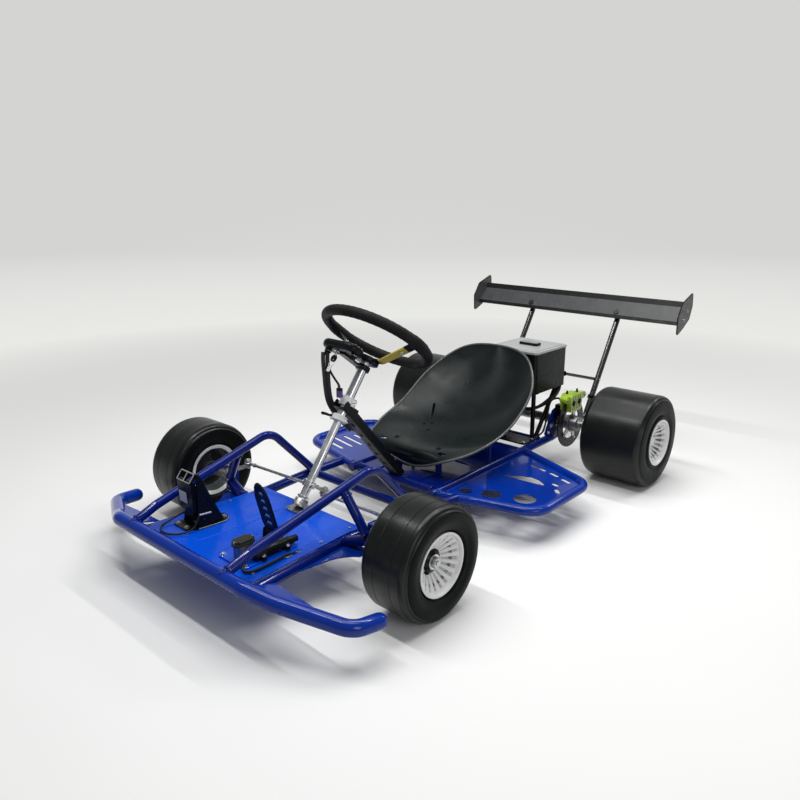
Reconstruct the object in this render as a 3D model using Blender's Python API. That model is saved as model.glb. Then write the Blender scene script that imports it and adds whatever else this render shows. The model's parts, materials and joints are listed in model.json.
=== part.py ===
"""Electric go-kart: welded tube chassis, four slick tyres, telescopic steering column, rear wing.

Metres, +Z up, the kart faces -Y and +X is the driver's left. Shapes are written in kart
coordinates, where y = 0 is the front axle; the empty "kart" shifts them all so that the origin
lies under the middle of the whole kart.
"""
import math

import bmesh
import bpy
from mathutils import Matrix, Vector

# Clearance between pieces that touch
GAP = 0.0003

# Share of one side by which every turned piece is rotated, so that no two edges meet exactly
PHASE = 0.3

# Stance: axles, tracks and tyres
WHEELBASE = 0.997
FRONT_TRACK = 0.799
REAR_TRACK = 0.768
FRONT_TYRE_RADIUS = 0.127
FRONT_TYRE_WIDTH = 0.128
REAR_TYRE_RADIUS = 0.140
REAR_TYRE_WIDTH = 0.196
FRONT_RIM_WIDTH = 0.113
REAR_RIM_WIDTH = 0.200
RIM_SEAT_RADIUS = 0.0635
RIM_FLANGE_HEIGHT = 0.0065
RIM_WALL = 0.0035
RIM_RIBS = 12
RIM_RIB_HEIGHT = 0.0025
TYRE_WALL = 0.007
TYRE_SIDES = 24

# Chassis tubes
BUMPER_RADIUS = 0.01685
BUMPER_Y = -0.332
BUMPER_Z = 0.130
RAIL_RADIUS = 0.0125
HOOP_RADIUS = 0.011
FRONT_RAIL_Z = 0.0947
REAR_RAIL_Z = 0.090
POD_Z = 0.088
FRONT_CROSS_Y = 0.222
SEAT_CROSS_Y = 0.352
REAR_CROSS_Y = WHEELBASE - 0.097
REAR_RAIL_X = 0.150
REAR_RAIL_TAIL_X = 0.140
REAR_RAIL_END_Y = WHEELBASE - 0.042
HOOP_TOP_Z = 0.252
TUBE_SIDES = 10

# Sheet metal
PAN_THICKNESS = 0.0025
PAN_REAR_Y = 0.040
PAN_FRONT_Y = -0.300
POD_SHEET = 0.0025
GUSSET_SHEET = 0.003
HANGER_THICKNESS = 0.008
HANGER_X = 0.140

# Kingpins, spindles and tie rods
KINGPIN_X = 0.275
KINGPIN_RADIUS = 0.005
LUG_SPREAD = 0.063
LUG_THICKNESS = 0.005
LUG_RADIUS = 0.012
SPINDLE_BARREL_RADIUS = 0.010
STUB_AXLE_RADIUS = 0.008
STEERING_ARM_LENGTH = 0.060
STEERING_ARM_THICKNESS = 0.006
TIE_PIN_RADIUS = 0.003
TIE_EYE_THICKNESS = 0.006
TIE_EYE_RADIUS = 0.010
TIE_EYE_FREE_RADIUS = 0.0052
TIE_ROD_RADIUS = 0.004
TIE_RISE = 0.0055

# Steering column, from its foot on the floor pan to the middle of the steering wheel
COLUMN_FOOT = Vector((0, 0.010, 0.125))
WHEEL_CENTRE = Vector((0, 0.286, 0.498))
SHAFT_RADIUS = 0.0105
TUBE_RADIUS = 0.0125
WHEEL_RING_RADIUS = 0.142
WHEEL_GRIP_RADIUS = 0.014
WHEEL_DISH = 0.065
SPOKE_WIDTH = 0.028
SPOKE_THICKNESS = 0.004
SHAFT_SIDES = 14
CHANNEL_TOP = Vector((0, 0.164, 0.335))
CHANNEL_SLOPE = Vector((0, 0.178, -0.207)).normalized()
CHANNEL_WIDTH = 0.042
CHANNEL_DEPTH = 0.022
CHANNEL_WALL = 0.003
CHANNEL_LENGTH = 0.305
CHANNEL_OVERHANG = 0.020

# Rear axle, drive and brake
AXLE_RADIUS = 0.015
AXLE_SIDES = 14
SPROCKET_X = -0.177
SPROCKET_RADIUS = 0.0594
PINION_RADIUS = 0.0150
CHAIN_WIDTH = 0.008
CHAIN_THICKNESS = 0.006
DISC_X = 0.185
DISC_RADIUS = 0.080
DISC_THICKNESS = 0.004
MOTOR_Y = WHEELBASE - 0.167
MOTOR_Z = 0.165
MOTOR_RADIUS = 0.050
MOTOR_LENGTH = 0.170

# Battery box behind the seat
BOX_LOW = Vector((-0.046, WHEELBASE - 0.140, 0.250))
BOX_HIGH = Vector((0.130, WHEELBASE + 0.048, 0.377))
BOX_WALL = 0.003
LID_HEIGHT = 0.008
BOX_LEG_RADIUS = 0.007

# Seat shell
SEAT_THICKNESS = 0.004

# Rear wing
WING_HALF_SPAN = 0.400
WING_SHEET = 0.003
WING_STRUT_X = 0.170
WING_STRUT_RADIUS = 0.0095
WING_TAIL_Y = WHEELBASE + 0.367

# Pedals
BRAKE_PEDAL_X = 0.080
BRAKE_PEDAL_WIDTH = 0.047
BRAKE_PIVOT = Vector((0.080, -0.138, 0.128))
THROTTLE_X = -0.1197
THROTTLE_PIVOT = Vector((THROTTLE_X, -0.206, 0.128))
PEDAL_PIN_RADIUS = 0.004

UP = Vector((0, 0, 1))
ACROSS = Vector((1, 0, 0))
REARWARD = Vector((0, 1, 0))
COLUMN = (WHEEL_CENTRE - COLUMN_FOOT).normalized()
COLUMN_REAR = Vector((0, COLUMN.z, -COLUMN.y))
PAN_TOP = FRONT_RAIL_Z + RAIL_RADIUS + GAP + PAN_THICKNESS
SHIFT_Y = -(WING_TAIL_Y + BUMPER_Y - BUMPER_RADIUS) / 2

BLUE = ("blue paint", (0.01, 0.04, 0.50), 0.20, 0.3)
BLACK = ("black plastic", (0.02, 0.02, 0.022), 0.45, 0.0)
BLACK_METAL = ("black painted metal", (0.018, 0.018, 0.02), 0.35, 0.4)
SEAT_BLACK = ("satin seat shell", (0.025, 0.026, 0.028), 0.35, 0.0)
SILVER = ("bright steel", (0.62, 0.63, 0.65), 0.25, 1.0)
GOLD = ("gold anodised plate", (0.55, 0.42, 0.10), 0.3, 1.0)
WHITE = ("white rim paint", (0.82, 0.82, 0.80), 0.35, 0.0)
TYRE = ("tyre rubber", (0.022, 0.023, 0.024), 0.6, 0.0)
GRIP = ("grip foam", (0.015, 0.015, 0.016), 0.7, 0.0)
LIME = ("lime caliper", (0.45, 0.62, 0.05), 0.35, 0.3)
WING_BLACK = ("wing sheet", (0.04, 0.042, 0.045), 0.4, 0.2)
CABLE = ("cable sheath", (0.012, 0.012, 0.012), 0.6, 0.0)

KART = None


# Solids are (points, faces) pairs in kart coordinates

def basis(origin, z_axis, x_hint=ACROSS):
    """Matrix of a local frame with its Z along z_axis and its X near x_hint."""
    z = Vector(z_axis).normalized()
    x = x_hint - z * x_hint.dot(z)
    if x.length < 0.01:
        x = REARWARD - z * REARWARD.dot(z)
    x.normalize()
    y = z.cross(x)
    matrix = Matrix((x, y, z)).transposed().to_4x4()
    matrix.translation = Vector(origin)
    return matrix


def moved(solid, matrix):
    points, faces = solid
    return [matrix @ Vector(p) for p in points], faces


def mirrored(solid):
    points, faces = solid
    return [Vector((-p[0], p[1], p[2])) for p in points], [tuple(reversed(f)) for f in faces]


def sided(solid, side):
    """The solid as written on the +X side, or its mirror image for side = -1."""
    return solid if side > 0 else mirrored(solid)


def box(low, high):
    corners = [Vector((x, y, z)) for z in (low[2], high[2]) for y in (low[1], high[1])
               for x in (low[0], high[0])]
    faces = [(0, 2, 3, 1), (4, 5, 7, 6), (0, 1, 5, 4), (2, 6, 7, 3), (0, 4, 6, 2), (1, 3, 7, 5)]
    return corners, faces


def cylinder(start, end, radius, sides=12):
    """Round bar between two points."""
    start = Vector(start)
    end = Vector(end)
    profile = [(0, 0), (radius, 0), (radius, (end - start).length), (0, (end - start).length)]
    return lathe(profile, start, end - start, sides)


def lathe(profile, origin, axis, sides, ribs=(), rib_height=0.0, phase=PHASE):
    """Turned solid about an axis. The profile is a closed loop of (radius, height) clear of the
    axis, or a run that starts and ends on it. Points listed in ribs rise on every second side."""
    on_axis = profile[0][0] == 0
    matrix = basis(origin, axis)
    points = []
    rings = []
    for index, (radius, height) in enumerate(profile):
        if radius == 0:
            rings.append([len(points)] * sides)
            points.append(matrix @ Vector((0, 0, height)))
            continue
        ring = []
        for k in range(sides):
            angle = 2 * math.pi * (k + phase) / sides
            lift = rib_height if index in ribs and k % 2 == 0 else 0.0
            ring.append(len(points))
            points.append(matrix @ Vector((radius * math.cos(angle), radius * math.sin(angle),
                                           height + lift)))
        rings.append(ring)
    pairs = list(zip(rings, rings[1:]))
    if not on_axis:
        pairs.append((rings[-1], rings[0]))
    faces = []
    for lower, upper in pairs:
        for k in range(sides):
            n = (k + 1) % sides
            corners = []
            for corner in (lower[k], lower[n], upper[n], upper[k]):
                if corner not in corners:
                    corners.append(corner)
            if len(corners) > 2:
                faces.append(tuple(corners))
    return points, faces


def plate(outline, thickness, matrix, holes=()):
    """Flat plate with its outline and holes in the XY plane of a frame, from 0 to thickness."""
    bm = bmesh.new()
    edges = []
    for loop in (outline, *holes):
        corners = [bm.verts.new((x, y, 0)) for x, y in loop]
        edges += [bm.edges.new((a, b)) for a, b in zip(corners, corners[1:] + corners[:1])]
    bmesh.ops.triangle_fill(bm, use_beauty=True, use_dissolve=False, edges=edges)
    extruded = bmesh.ops.extrude_face_region(bm, geom=bm.faces[:])
    tops = [item for item in extruded["geom"] if isinstance(item, bmesh.types.BMVert)]
    bmesh.ops.translate(bm, vec=(0, 0, thickness), verts=tops)
    bm.verts.index_update()
    points = [matrix @ v.co for v in bm.verts]
    faces = [tuple(v.index for v in face.verts) for face in bm.faces]
    bm.free()
    return points, faces


def rounded(points, radius, steps=4):
    """Polyline with each inner corner replaced by an arc."""
    points = [Vector(p) for p in points]
    path = [points[0]]
    for before, corner, after in zip(points, points[1:], points[2:]):
        inward = (before - corner).normalized()
        outward = (after - corner).normalized()
        half = inward.angle(outward) / 2
        if half > math.radians(88):
            path.append(corner)
            continue
        reach = min(radius / math.tan(half), (before - corner).length * 0.48,
                    (after - corner).length * 0.48)
        bend = reach * math.tan(half)
        centre = corner + (inward + outward).normalized() * bend / math.sin(half)
        first = corner + inward * reach - centre
        last = corner + outward * reach - centre
        for k in range(steps + 1):
            path.append(centre + first.normalized().slerp(last.normalized(), k / steps) * first.length)
    path.append(points[-1])
    return path


def swept(points, radius, bend_radius=0.0, sides=TUBE_SIDES, steps=4):
    """Round tube, closed at both ends, along a polyline with rounded corners."""
    path = rounded(points, bend_radius, steps) if bend_radius else [Vector(p) for p in points]
    tangents = []
    for k in range(len(path)):
        before = path[max(k - 1, 0)]
        after = path[min(k + 1, len(path) - 1)]
        tangents.append((after - before).normalized())
    normal = UP - tangents[0] * UP.dot(tangents[0])
    if normal.length < 0.1:
        normal = REARWARD - tangents[0] * REARWARD.dot(tangents[0])
    normal.normalize()
    verts = []
    faces = []
    for k, (centre, tangent) in enumerate(zip(path, tangents)):
        if k:
            normal = tangents[k - 1].rotation_difference(tangent) @ normal
        normal = (normal - tangent * normal.dot(tangent)).normalized()
        binormal = tangent.cross(normal)
        for j in range(sides):
            angle = 2 * math.pi * (j + 0.5) / sides
            offset = normal * math.cos(angle) + binormal * math.sin(angle)
            verts.append(centre + offset * radius)
    for k in range(len(path) - 1):
        for j in range(sides):
            n = (j + 1) % sides
            faces.append((k * sides + j, k * sides + n, (k + 1) * sides + n, (k + 1) * sides + j))
    faces.append(tuple(range(sides - 1, -1, -1)))
    faces.append(tuple(range((len(path) - 1) * sides, len(path) * sides)))
    return verts, faces


def smooth_curve(points, step, closed=False):
    """Points of a Catmull-Rom curve through the given points, about one step apart."""
    points = [Vector(p) for p in points]
    count = len(points)
    spans = count if closed else count - 1
    path = []
    for k in range(spans):
        if closed:
            p0, p1, p2, p3 = (points[(k + j - 1) % count] for j in range(4))
        else:
            p0 = points[max(k - 1, 0)]
            p1 = points[k]
            p2 = points[k + 1]
            p3 = points[min(k + 2, count - 1)]
        pieces = max(1, round((p2 - p1).length / step))
        for j in range(pieces):
            t = j / pieces
            path.append(0.5 * (2 * p1 + (p2 - p0) * t + (2 * p0 - 5 * p1 + 4 * p2 - p3) * t * t
                               + (3 * p1 - p0 - 3 * p2 + p3) * t ** 3))
    if not closed:
        path.append(points[-1])
    return path


def circle(x, y, radius, sides=12):
    angles = [2 * math.pi * (k + PHASE) / sides for k in range(sides)]
    return [(x + radius * math.cos(a), y + radius * math.sin(a)) for a in angles]


def slot(x, y, length, width, angle, end_sides=2):
    """Outline of a slot with round ends, turned by an angle in degrees."""
    turn = math.radians(angle)
    half = length / 2 - width / 2
    outline = []
    for end in (1, -1):
        for k in range(end_sides + 1):
            a = math.pi * (k / end_sides - 0.5)
            px = end * (half + width / 2 * math.cos(a))
            py = end * width / 2 * math.sin(a)
            outline.append((x + px * math.cos(turn) - py * math.sin(turn),
                            y + px * math.sin(turn) + py * math.cos(turn)))
    return outline


def upright(x):
    """Frame of a plate that stands along the kart: outline in (y, z), thickness towards +X."""
    return Matrix(((0, 0, 1, x), (1, 0, 0, 0), (0, 1, 0, 0), (0, 0, 0, 1)))


def bore(radius, sides):
    """Radius of a faceted hole that clears a round bar at every angle."""
    return (radius + GAP) / math.cos(math.pi / sides)


def material(spec):
    name, colour, roughness, metallic = spec
    made = bpy.data.materials.get(name)
    if made:
        return made
    made = bpy.data.materials.new(name)
    made.use_nodes = True
    shader = made.node_tree.nodes["Principled BSDF"]
    shader.inputs["Base Color"].default_value = (*colour, 1)
    shader.inputs["Roughness"].default_value = roughness
    shader.inputs["Metallic"].default_value = metallic
    made.diffuse_color = (*colour, 1)
    return made


def add_object(name, solid, origin, spec=None):
    points, faces = solid
    origin = Vector(origin)
    bm = bmesh.new()
    verts = [bm.verts.new(Vector(p) - origin) for p in points]
    for face in faces:
        bm.faces.new([verts[i] for i in face])
    bmesh.ops.recalc_face_normals(bm, faces=bm.faces[:])
    mesh = bpy.data.meshes.new(name)
    bm.to_mesh(mesh)
    bm.free()
    mesh.shade_smooth()
    mesh.set_sharp_from_angle(angle=math.radians(35))
    obj = bpy.data.objects.new(name, mesh)
    bpy.context.collection.objects.link(obj)
    obj.parent = KART
    obj.location = origin
    if spec:
        mesh.materials.append(material(spec))
    return obj


def piece(name, solid, spec, origin=(0, 0, 0), add=(), cut=()):
    """One named sub-part: a solid, joined with the solids in add, less the solids in cut."""
    obj = add_object(name, solid, origin, spec)
    for operation, solids in (("UNION", add), ("DIFFERENCE", cut)):
        for number, other in enumerate(solids):
            guide = add_object(f"{name}_{operation.lower()}_{number}", other, origin)
            guide.display_type = "WIRE"
            guide.hide_render = True
            change = obj.modifiers.new(operation.lower(), "BOOLEAN")
            change.operation = operation
            change.solver = "EXACT"
            change.object = guide
    return obj


# Chassis routes on the +X side

def bumper_route():
    side = [(0.447, -0.180, 0.080), (0.437, -0.239, 0.085), (0.290, -0.308, 0.113),
            (0.235, BUMPER_Y, BUMPER_Z)]
    return [(-x, y, z) for x, y, z in side] + side[::-1]


def front_rail_route():
    return [(0.205, BUMPER_Y, BUMPER_Z), (0.2045, -0.296, FRONT_RAIL_Z), (0.178, 0.0, FRONT_RAIL_Z),
            (0.200, FRONT_CROSS_Y, FRONT_RAIL_Z), (0.213, 0.3625, POD_Z)]


def hoop_route():
    return [(0.174, BUMPER_Y - 0.006, BUMPER_Z + 0.006), (0.1765, -0.270, 0.1625),
            (0.191, 0.076, HOOP_TOP_Z), (0.186, FRONT_CROSS_Y - 0.006, FRONT_RAIL_Z + 0.012)]


def hoop_strut_route():
    return [(0.194, -0.024, 0.2222), (0.258, -0.0137, 0.1245)]


def rear_rail_route():
    return [(REAR_RAIL_X, SEAT_CROSS_Y - 0.022, REAR_RAIL_Z),
            (REAR_RAIL_TAIL_X, REAR_RAIL_END_Y, REAR_RAIL_Z)]


def rear_rail_x(y):
    share = (y - SEAT_CROSS_Y) / (REAR_RAIL_END_Y - SEAT_CROSS_Y)
    return REAR_RAIL_X + (REAR_RAIL_TAIL_X - REAR_RAIL_X) * share


def pod_route():
    return [(REAR_RAIL_X + 0.003, 0.346, POD_Z), (0.424, 0.420, POD_Z), (0.424, 0.672, POD_Z),
            (REAR_RAIL_TAIL_X + 0.006, 0.7855, POD_Z)]


def kingpin_arm_route():
    return [(0.1855, -0.0190, FRONT_RAIL_Z + 0.002), (KINGPIN_X - 0.0195, -0.010, 0.120)]


BEND = 0.06
BUMPER_BEND = 0.045


def route_tube(route, radius, bend=BEND, sides=TUBE_SIDES, side=1, grow=0.0):
    return sided(swept(route, radius + grow, bend, sides), side)


def build_chassis():
    bumper_cut = swept(bumper_route(), BUMPER_RADIUS + GAP, BUMPER_BEND)
    build_bumper()
    for side, word in ((1, "left"), (-1, "right")):
        rail_cut = route_tube(front_rail_route(), RAIL_RADIUS, side=side, grow=GAP)
        rear_cut = route_tube(rear_rail_route(), RAIL_RADIUS, side=side, grow=GAP)
        pod_cut = route_tube(pod_route(), RAIL_RADIUS, side=side, grow=GAP)
        arm_cut = route_tube(kingpin_arm_route(), RAIL_RADIUS, side=side, grow=GAP)
        cross_cut = swept(cross_route(FRONT_CROSS_Y, FRONT_RAIL_Z, 0.2), HOOP_RADIUS + GAP)
        piece(f"front_rail_{word}", route_tube(front_rail_route(), RAIL_RADIUS, side=side), BLUE,
              cut=(bumper_cut, pod_cut))
        strut = sided(swept(hoop_strut_route(), HOOP_RADIUS), side)
        web_cut = sided(box((KINGPIN_X - 0.024 - GAP, -0.05, 0.05), (0.4, 0.05, 0.3)), side)
        piece(f"side_hoop_{word}", route_tube(hoop_route(), HOOP_RADIUS, side=side), BLUE,
              add=(strut,), cut=(bumper_cut, rail_cut, cross_cut, arm_cut, web_cut))
        build_rear_rail(side, word)
        build_pod(side, word, rear_cut)
        build_kingpin_bracket(side, word, rail_cut)
        build_hanger(side, word)
    rails = [route_tube(front_rail_route(), RAIL_RADIUS, side=s, grow=GAP) for s in (1, -1)]
    piece("front_cross_tube", swept(cross_route(FRONT_CROSS_Y, FRONT_RAIL_Z, 0.198), HOOP_RADIUS),
          BLUE, cut=rails)
    rears = [route_tube(rear_rail_route(), RAIL_RADIUS, side=s, grow=GAP) for s in (1, -1)]
    build_seat_cross_tube(rears)
    piece("rear_cross_tube",
          swept(cross_route(REAR_CROSS_Y, REAR_RAIL_Z, REAR_RAIL_TAIL_X - 0.004), RAIL_RADIUS - 0.001),
          BLUE, cut=rears)
    build_floor_pan((bumper_cut, *rails))


def cross_route(y, z, half):
    return [(-half, y, z), (half, y, z)]


def build_bumper():
    """Front bumper tube with a corner gusset plate behind each swept end."""
    rear_edge = [(0.2182, -0.244, 0.1000), (0.290, -0.248, 0.1010), (0.366, -0.2515, 0.0990)]
    tube_edge = [(0.2182, -0.326, 0.1240), (0.290, -0.306, 0.1120), (0.378, -0.267, 0.0965)]
    drop = Vector((0, 0, -GUSSET_SHEET))
    tops = [Vector(p) for p in rear_edge + tube_edge]
    points = tops + [p + drop for p in tops]
    faces = [(0, 3, 4, 1), (1, 4, 5, 2), (6, 7, 10, 9), (7, 8, 11, 10), (0, 1, 7, 6), (1, 2, 8, 7),
             (2, 5, 11, 8), (5, 4, 10, 11), (4, 3, 9, 10), (3, 0, 6, 9)]
    gusset = (points, faces)
    piece("front_bumper", swept(bumper_route(), BUMPER_RADIUS, BUMPER_BEND), BLUE,
          add=(gusset, mirrored(gusset)))


def build_rear_rail(side, word):
    """Rear rail with the round stay that carries the side of the seat."""
    stay_y = 0.600
    stay_x = rear_rail_x(stay_y)
    stay_top = seat_underside(stay_x, stay_y, 0.006) - GAP
    stay = cylinder((stay_x, stay_y, REAR_RAIL_Z), (stay_x, stay_y, stay_top), 0.006, 10)
    piece(f"rear_rail_{word}", route_tube(rear_rail_route(), RAIL_RADIUS, side=side), BLUE,
          add=(sided(stay, side),))


def pod_holes(side):
    """Cut-outs of a pod plate in its own XY plane, for the +X side."""
    if side > 0:
        flame = [(0.207, 0.577), (0.228, 0.594), (0.251, 0.606), (0.279, 0.617), (0.305, 0.613),
                 (0.325, 0.602), (0.341, 0.588), (0.322, 0.584), (0.303, 0.581), (0.270, 0.5785),
                 (0.238, 0.5765)]
        rear_slots = [(0.238, 0.697, 0.022), (0.272, 0.688, 0.030), (0.318, 0.675, 0.036),
                      (0.367, 0.655, 0.036)]
        return ([circle(0.349, 0.475, 0.030, 16), circle(0.265, 0.443, 0.027, 14),
                 circle(0.202, 0.415, 0.018, 12), flame]
                + [slot(x, y, length, 0.012, -20) for x, y, length in rear_slots]
                + [slot(0.359, 0.612, 0.024, 0.012, -20), slot(0.386, 0.576, 0.030, 0.011, -50)])
    return [slot(0.345 - 0.012 * k, 0.440 + 0.032 * k, 0.120 - 0.006 * k, 0.010, 12)
            for k in range(6)]


def build_pod(side, word, rear_cut):
    """Side pod: bent tube loop with its perforated plate at mid height."""
    outline = [(x, y) for x, y, z in rounded(pod_route(), BEND)]
    level = basis((0, 0, POD_Z - POD_SHEET / 2), UP)
    sheet = plate(outline, POD_SHEET, level, pod_holes(side))
    cross_cut = swept(cross_route(SEAT_CROSS_Y, REAR_RAIL_Z, 0.146), RAIL_RADIUS + GAP)
    piece(f"side_pod_{word}", route_tube(pod_route(), RAIL_RADIUS, side=side), BLUE,
          add=(sided(sheet, side),), cut=(rear_cut, cross_cut))


def build_kingpin_bracket(side, word, rail_cut):
    """C bracket of the kingpin with its arm to the front rail and the gusset below the arm."""
    web_x = KINGPIN_X - 0.022
    wheel_z = FRONT_TYRE_RADIUS
    low = wheel_z - LUG_SPREAD / 2
    high = wheel_z + LUG_SPREAD / 2
    web = box((web_x, -LUG_RADIUS, low - LUG_THICKNESS / 2),
              (web_x + 0.005, LUG_RADIUS, high + LUG_THICKNESS / 2))
    lug = [(web_x + 0.001, -LUG_RADIUS)]
    lug += [(KINGPIN_X + LUG_RADIUS * math.cos(a), LUG_RADIUS * math.sin(a))
            for a in (math.radians(-90 + 22.5 * k) for k in range(9))]
    lug += [(web_x + 0.001, LUG_RADIUS)]
    hole = circle(KINGPIN_X, 0, bore(KINGPIN_RADIUS, 12), 12)
    lugs = [plate(lug, LUG_THICKNESS, basis((0, 0, z - LUG_THICKNESS / 2), UP), [hole])
            for z in (low, high)]
    arm = swept(kingpin_arm_route(), RAIL_RADIUS)
    gusset = [(0.186, -0.006), (0.190, -0.179), (0.205, -0.179), (0.2125, -0.130), (0.220, -0.089),
              (0.232, -0.064), (0.246, -0.047), (web_x + 0.003, -0.040), (web_x + 0.003, -0.002)]
    sheet = plate(gusset, GUSSET_SHEET, basis((0, 0, FRONT_RAIL_Z - 0.005), UP))
    piece(f"kingpin_bracket_{word}", sided(web, side), BLUE, origin=(side * KINGPIN_X, 0, wheel_z),
          add=[sided(s, side) for s in (*lugs, arm, sheet)], cut=(rail_cut,))


def build_hanger(side, word):
    """Axle hanger plate with the bearing bore, standing on the end of the rear rail."""
    top = REAR_RAIL_Z + RAIL_RADIUS + GAP
    axle_z = REAR_TYRE_RADIUS
    rim = [(0.007, 0.084), (0.037, 0.108), (0.055, 0.118), (0.055, 0.144), (0.036, 0.152),
           (0.021, 0.172), (-0.012, 0.187), (-0.037, 0.180), (-0.057, 0.150)]
    outline = [(WHEELBASE - 0.082, top), (REAR_RAIL_END_Y + GAP, top), (REAR_RAIL_END_Y + GAP, 0.076)]
    outline += [(WHEELBASE + y, z) for y, z in rim]
    hole = circle(WHEELBASE, axle_z, bore(AXLE_RADIUS, AXLE_SIDES), AXLE_SIDES)
    body = plate(outline, HANGER_THICKNESS, upright(HANGER_X - HANGER_THICKNESS / 2), [hole])
    ring = lathe([(bore(AXLE_RADIUS, AXLE_SIDES), 0), (0.030, 0), (0.030, 0.006), (0.026, 0.008),
                  (bore(AXLE_RADIUS, AXLE_SIDES), 0.008)],
                 (HANGER_X - HANGER_THICKNESS / 2 - 0.007, WHEELBASE, axle_z), ACROSS, AXLE_SIDES)
    piece(f"axle_hanger_{word}", sided(body, side), BLUE,
          origin=(side * HANGER_X, WHEELBASE, axle_z), add=(sided(ring, side),))


def build_seat_cross_tube(rears):
    """Seat cross tube with two tabs that carry the seat, and the sheet under it to the motor."""
    half = REAR_RAIL_X - 0.005
    tail_half = REAR_RAIL_TAIL_X + 0.002
    tail_y = MOTOR_Y - 0.040
    notch_y = SEAT_CROSS_Y + 0.033
    outline = [(-half, SEAT_CROSS_Y), (-0.030, SEAT_CROSS_Y), (-0.030, notch_y), (0.030, notch_y),
               (0.030, SEAT_CROSS_Y), (half, SEAT_CROSS_Y), (tail_half, tail_y), (-tail_half, tail_y)]
    sheet = plate(outline, PAN_THICKNESS, basis((0, 0, REAR_RAIL_Z + 0.0025), UP))
    tabs = []
    seat_y = 0.455
    for x in (-0.075, 0.075):
        under = seat_underside(x, seat_y, 0.012) - GAP
        outline = [(SEAT_CROSS_Y, REAR_RAIL_Z - 0.006), (seat_y + 0.012, REAR_RAIL_Z - 0.006),
                   (seat_y + 0.012, under), (seat_y - 0.012, under),
                   (seat_y - 0.012, REAR_RAIL_Z + 0.008), (SEAT_CROSS_Y, REAR_RAIL_Z + 0.008)]
        tabs.append(plate(outline, 0.004, upright(x - 0.002)))
    piece("seat_cross_tube",
          swept(cross_route(SEAT_CROSS_Y, REAR_RAIL_Z, REAR_RAIL_X - 0.006), RAIL_RADIUS - 0.0005),
          BLUE, add=(sheet, *tabs), cut=rears)


def build_floor_pan(cuts):
    """Floor pan on the front rails, with a lip up to the bumper and a slot for the brake hose."""
    level = basis((0, 0, PAN_TOP - PAN_THICKNESS), UP)
    half = [(0.188, PAN_FRONT_Y), (0.188, -0.284), (0.2035, -0.284), (0.178, 0.0),
            (0.183, PAN_REAR_Y)]
    outline = half + [(-x, y) for x, y in half[::-1]]
    hose_slot = slot(0.1635, -0.150, 0.046, 0.011, 92)
    sheet = plate(outline, PAN_THICKNESS, level, [hose_slot])
    slope = Vector((0, -0.017, 0.012))
    lip_root = [Vector((x, PAN_FRONT_Y + 0.001, z)) for x in (-0.1875, 0.1875)
                for z in (PAN_TOP - PAN_THICKNESS, PAN_TOP)]
    lip = (lip_root + [p + slope for p in lip_root],
           [(0, 1, 3, 2), (4, 6, 7, 5), (0, 4, 5, 1), (2, 3, 7, 6), (1, 5, 7, 3), (0, 2, 6, 4)])
    piece("floor_pan", sheet, BLUE, add=(lip,), cut=cuts)


# Steering

def on_column(height_below):
    """Point on the column axis, a distance below the middle of the steering wheel."""
    return WHEEL_CENTRE - COLUMN * height_below


FOOT_BELOW = 0.4684
BEARING_BELOW = 0.4603
PITMAN_BELOW = 0.4121
CLAMP_BELOW = 0.2326
COLLAR_BELOW = 0.1816
TUBE_TOP_BELOW = 0.072
SHAFT_TOP_BELOW = 0.120
TIE_END_THICKNESS = 0.005


def column_frame(below):
    """Frame on the column: Z up the column, X to the driver's left, Y towards the driver."""
    return basis(on_column(below), COLUMN)


def tie_pin():
    """Middle of the pitman arm's end, and the rear end of the left steering arm."""
    pitman = on_column(PITMAN_BELOW) + COLUMN_REAR * STEERING_ARM_LENGTH
    arm_top = FRONT_TYRE_RADIUS + 0.010 + STEERING_ARM_THICKNESS
    return pitman, Vector((KINGPIN_X, STEERING_ARM_LENGTH, arm_top))


def build_steering():
    build_column_support()
    build_floor_bearing()
    build_shaft()
    build_tube_and_clamp()
    build_wheel()
    build_console()
    build_tie_rods()
    for side, word in ((1, "left"), (-1, "right")):
        build_spindle(side, word)


def build_column_support():
    """Black channel from the seat cross tube up to the column, with the upper bearing collar."""
    frame = basis(CHANNEL_TOP, CHANNEL_SLOPE)
    half = CHANNEL_WIDTH / 2
    deep = CHANNEL_DEPTH / 2
    outer = moved(box((-half, -deep, -CHANNEL_OVERHANG), (half, deep, CHANNEL_LENGTH)), frame)
    hollow = moved(box((-half + CHANNEL_WALL, -deep - 0.01, -CHANNEL_OVERHANG - 0.01),
                       (half - CHANNEL_WALL, deep - CHANNEL_WALL, CHANNEL_LENGTH + 0.01)), frame)
    collar = cylinder(on_column(COLLAR_BELOW + 0.017), on_column(COLLAR_BELOW - 0.008), 0.020,
                      SHAFT_SIDES)
    column_cut = cylinder(on_column(COLLAR_BELOW + 0.08), on_column(COLLAR_BELOW - 0.05),
                          bore(TUBE_RADIUS, SHAFT_SIDES), SHAFT_SIDES)
    cross_cut = swept(cross_route(SEAT_CROSS_Y, REAR_RAIL_Z, 0.146), RAIL_RADIUS + GAP)
    below_cut = box((-0.1, 0.2, 0.0), (0.1, 0.4, REAR_RAIL_Z))
    piece("column_support", outer, BLACK_METAL, origin=CHANNEL_TOP, add=(collar,),
          cut=(hollow, column_cut, cross_cut, below_cut))


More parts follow.
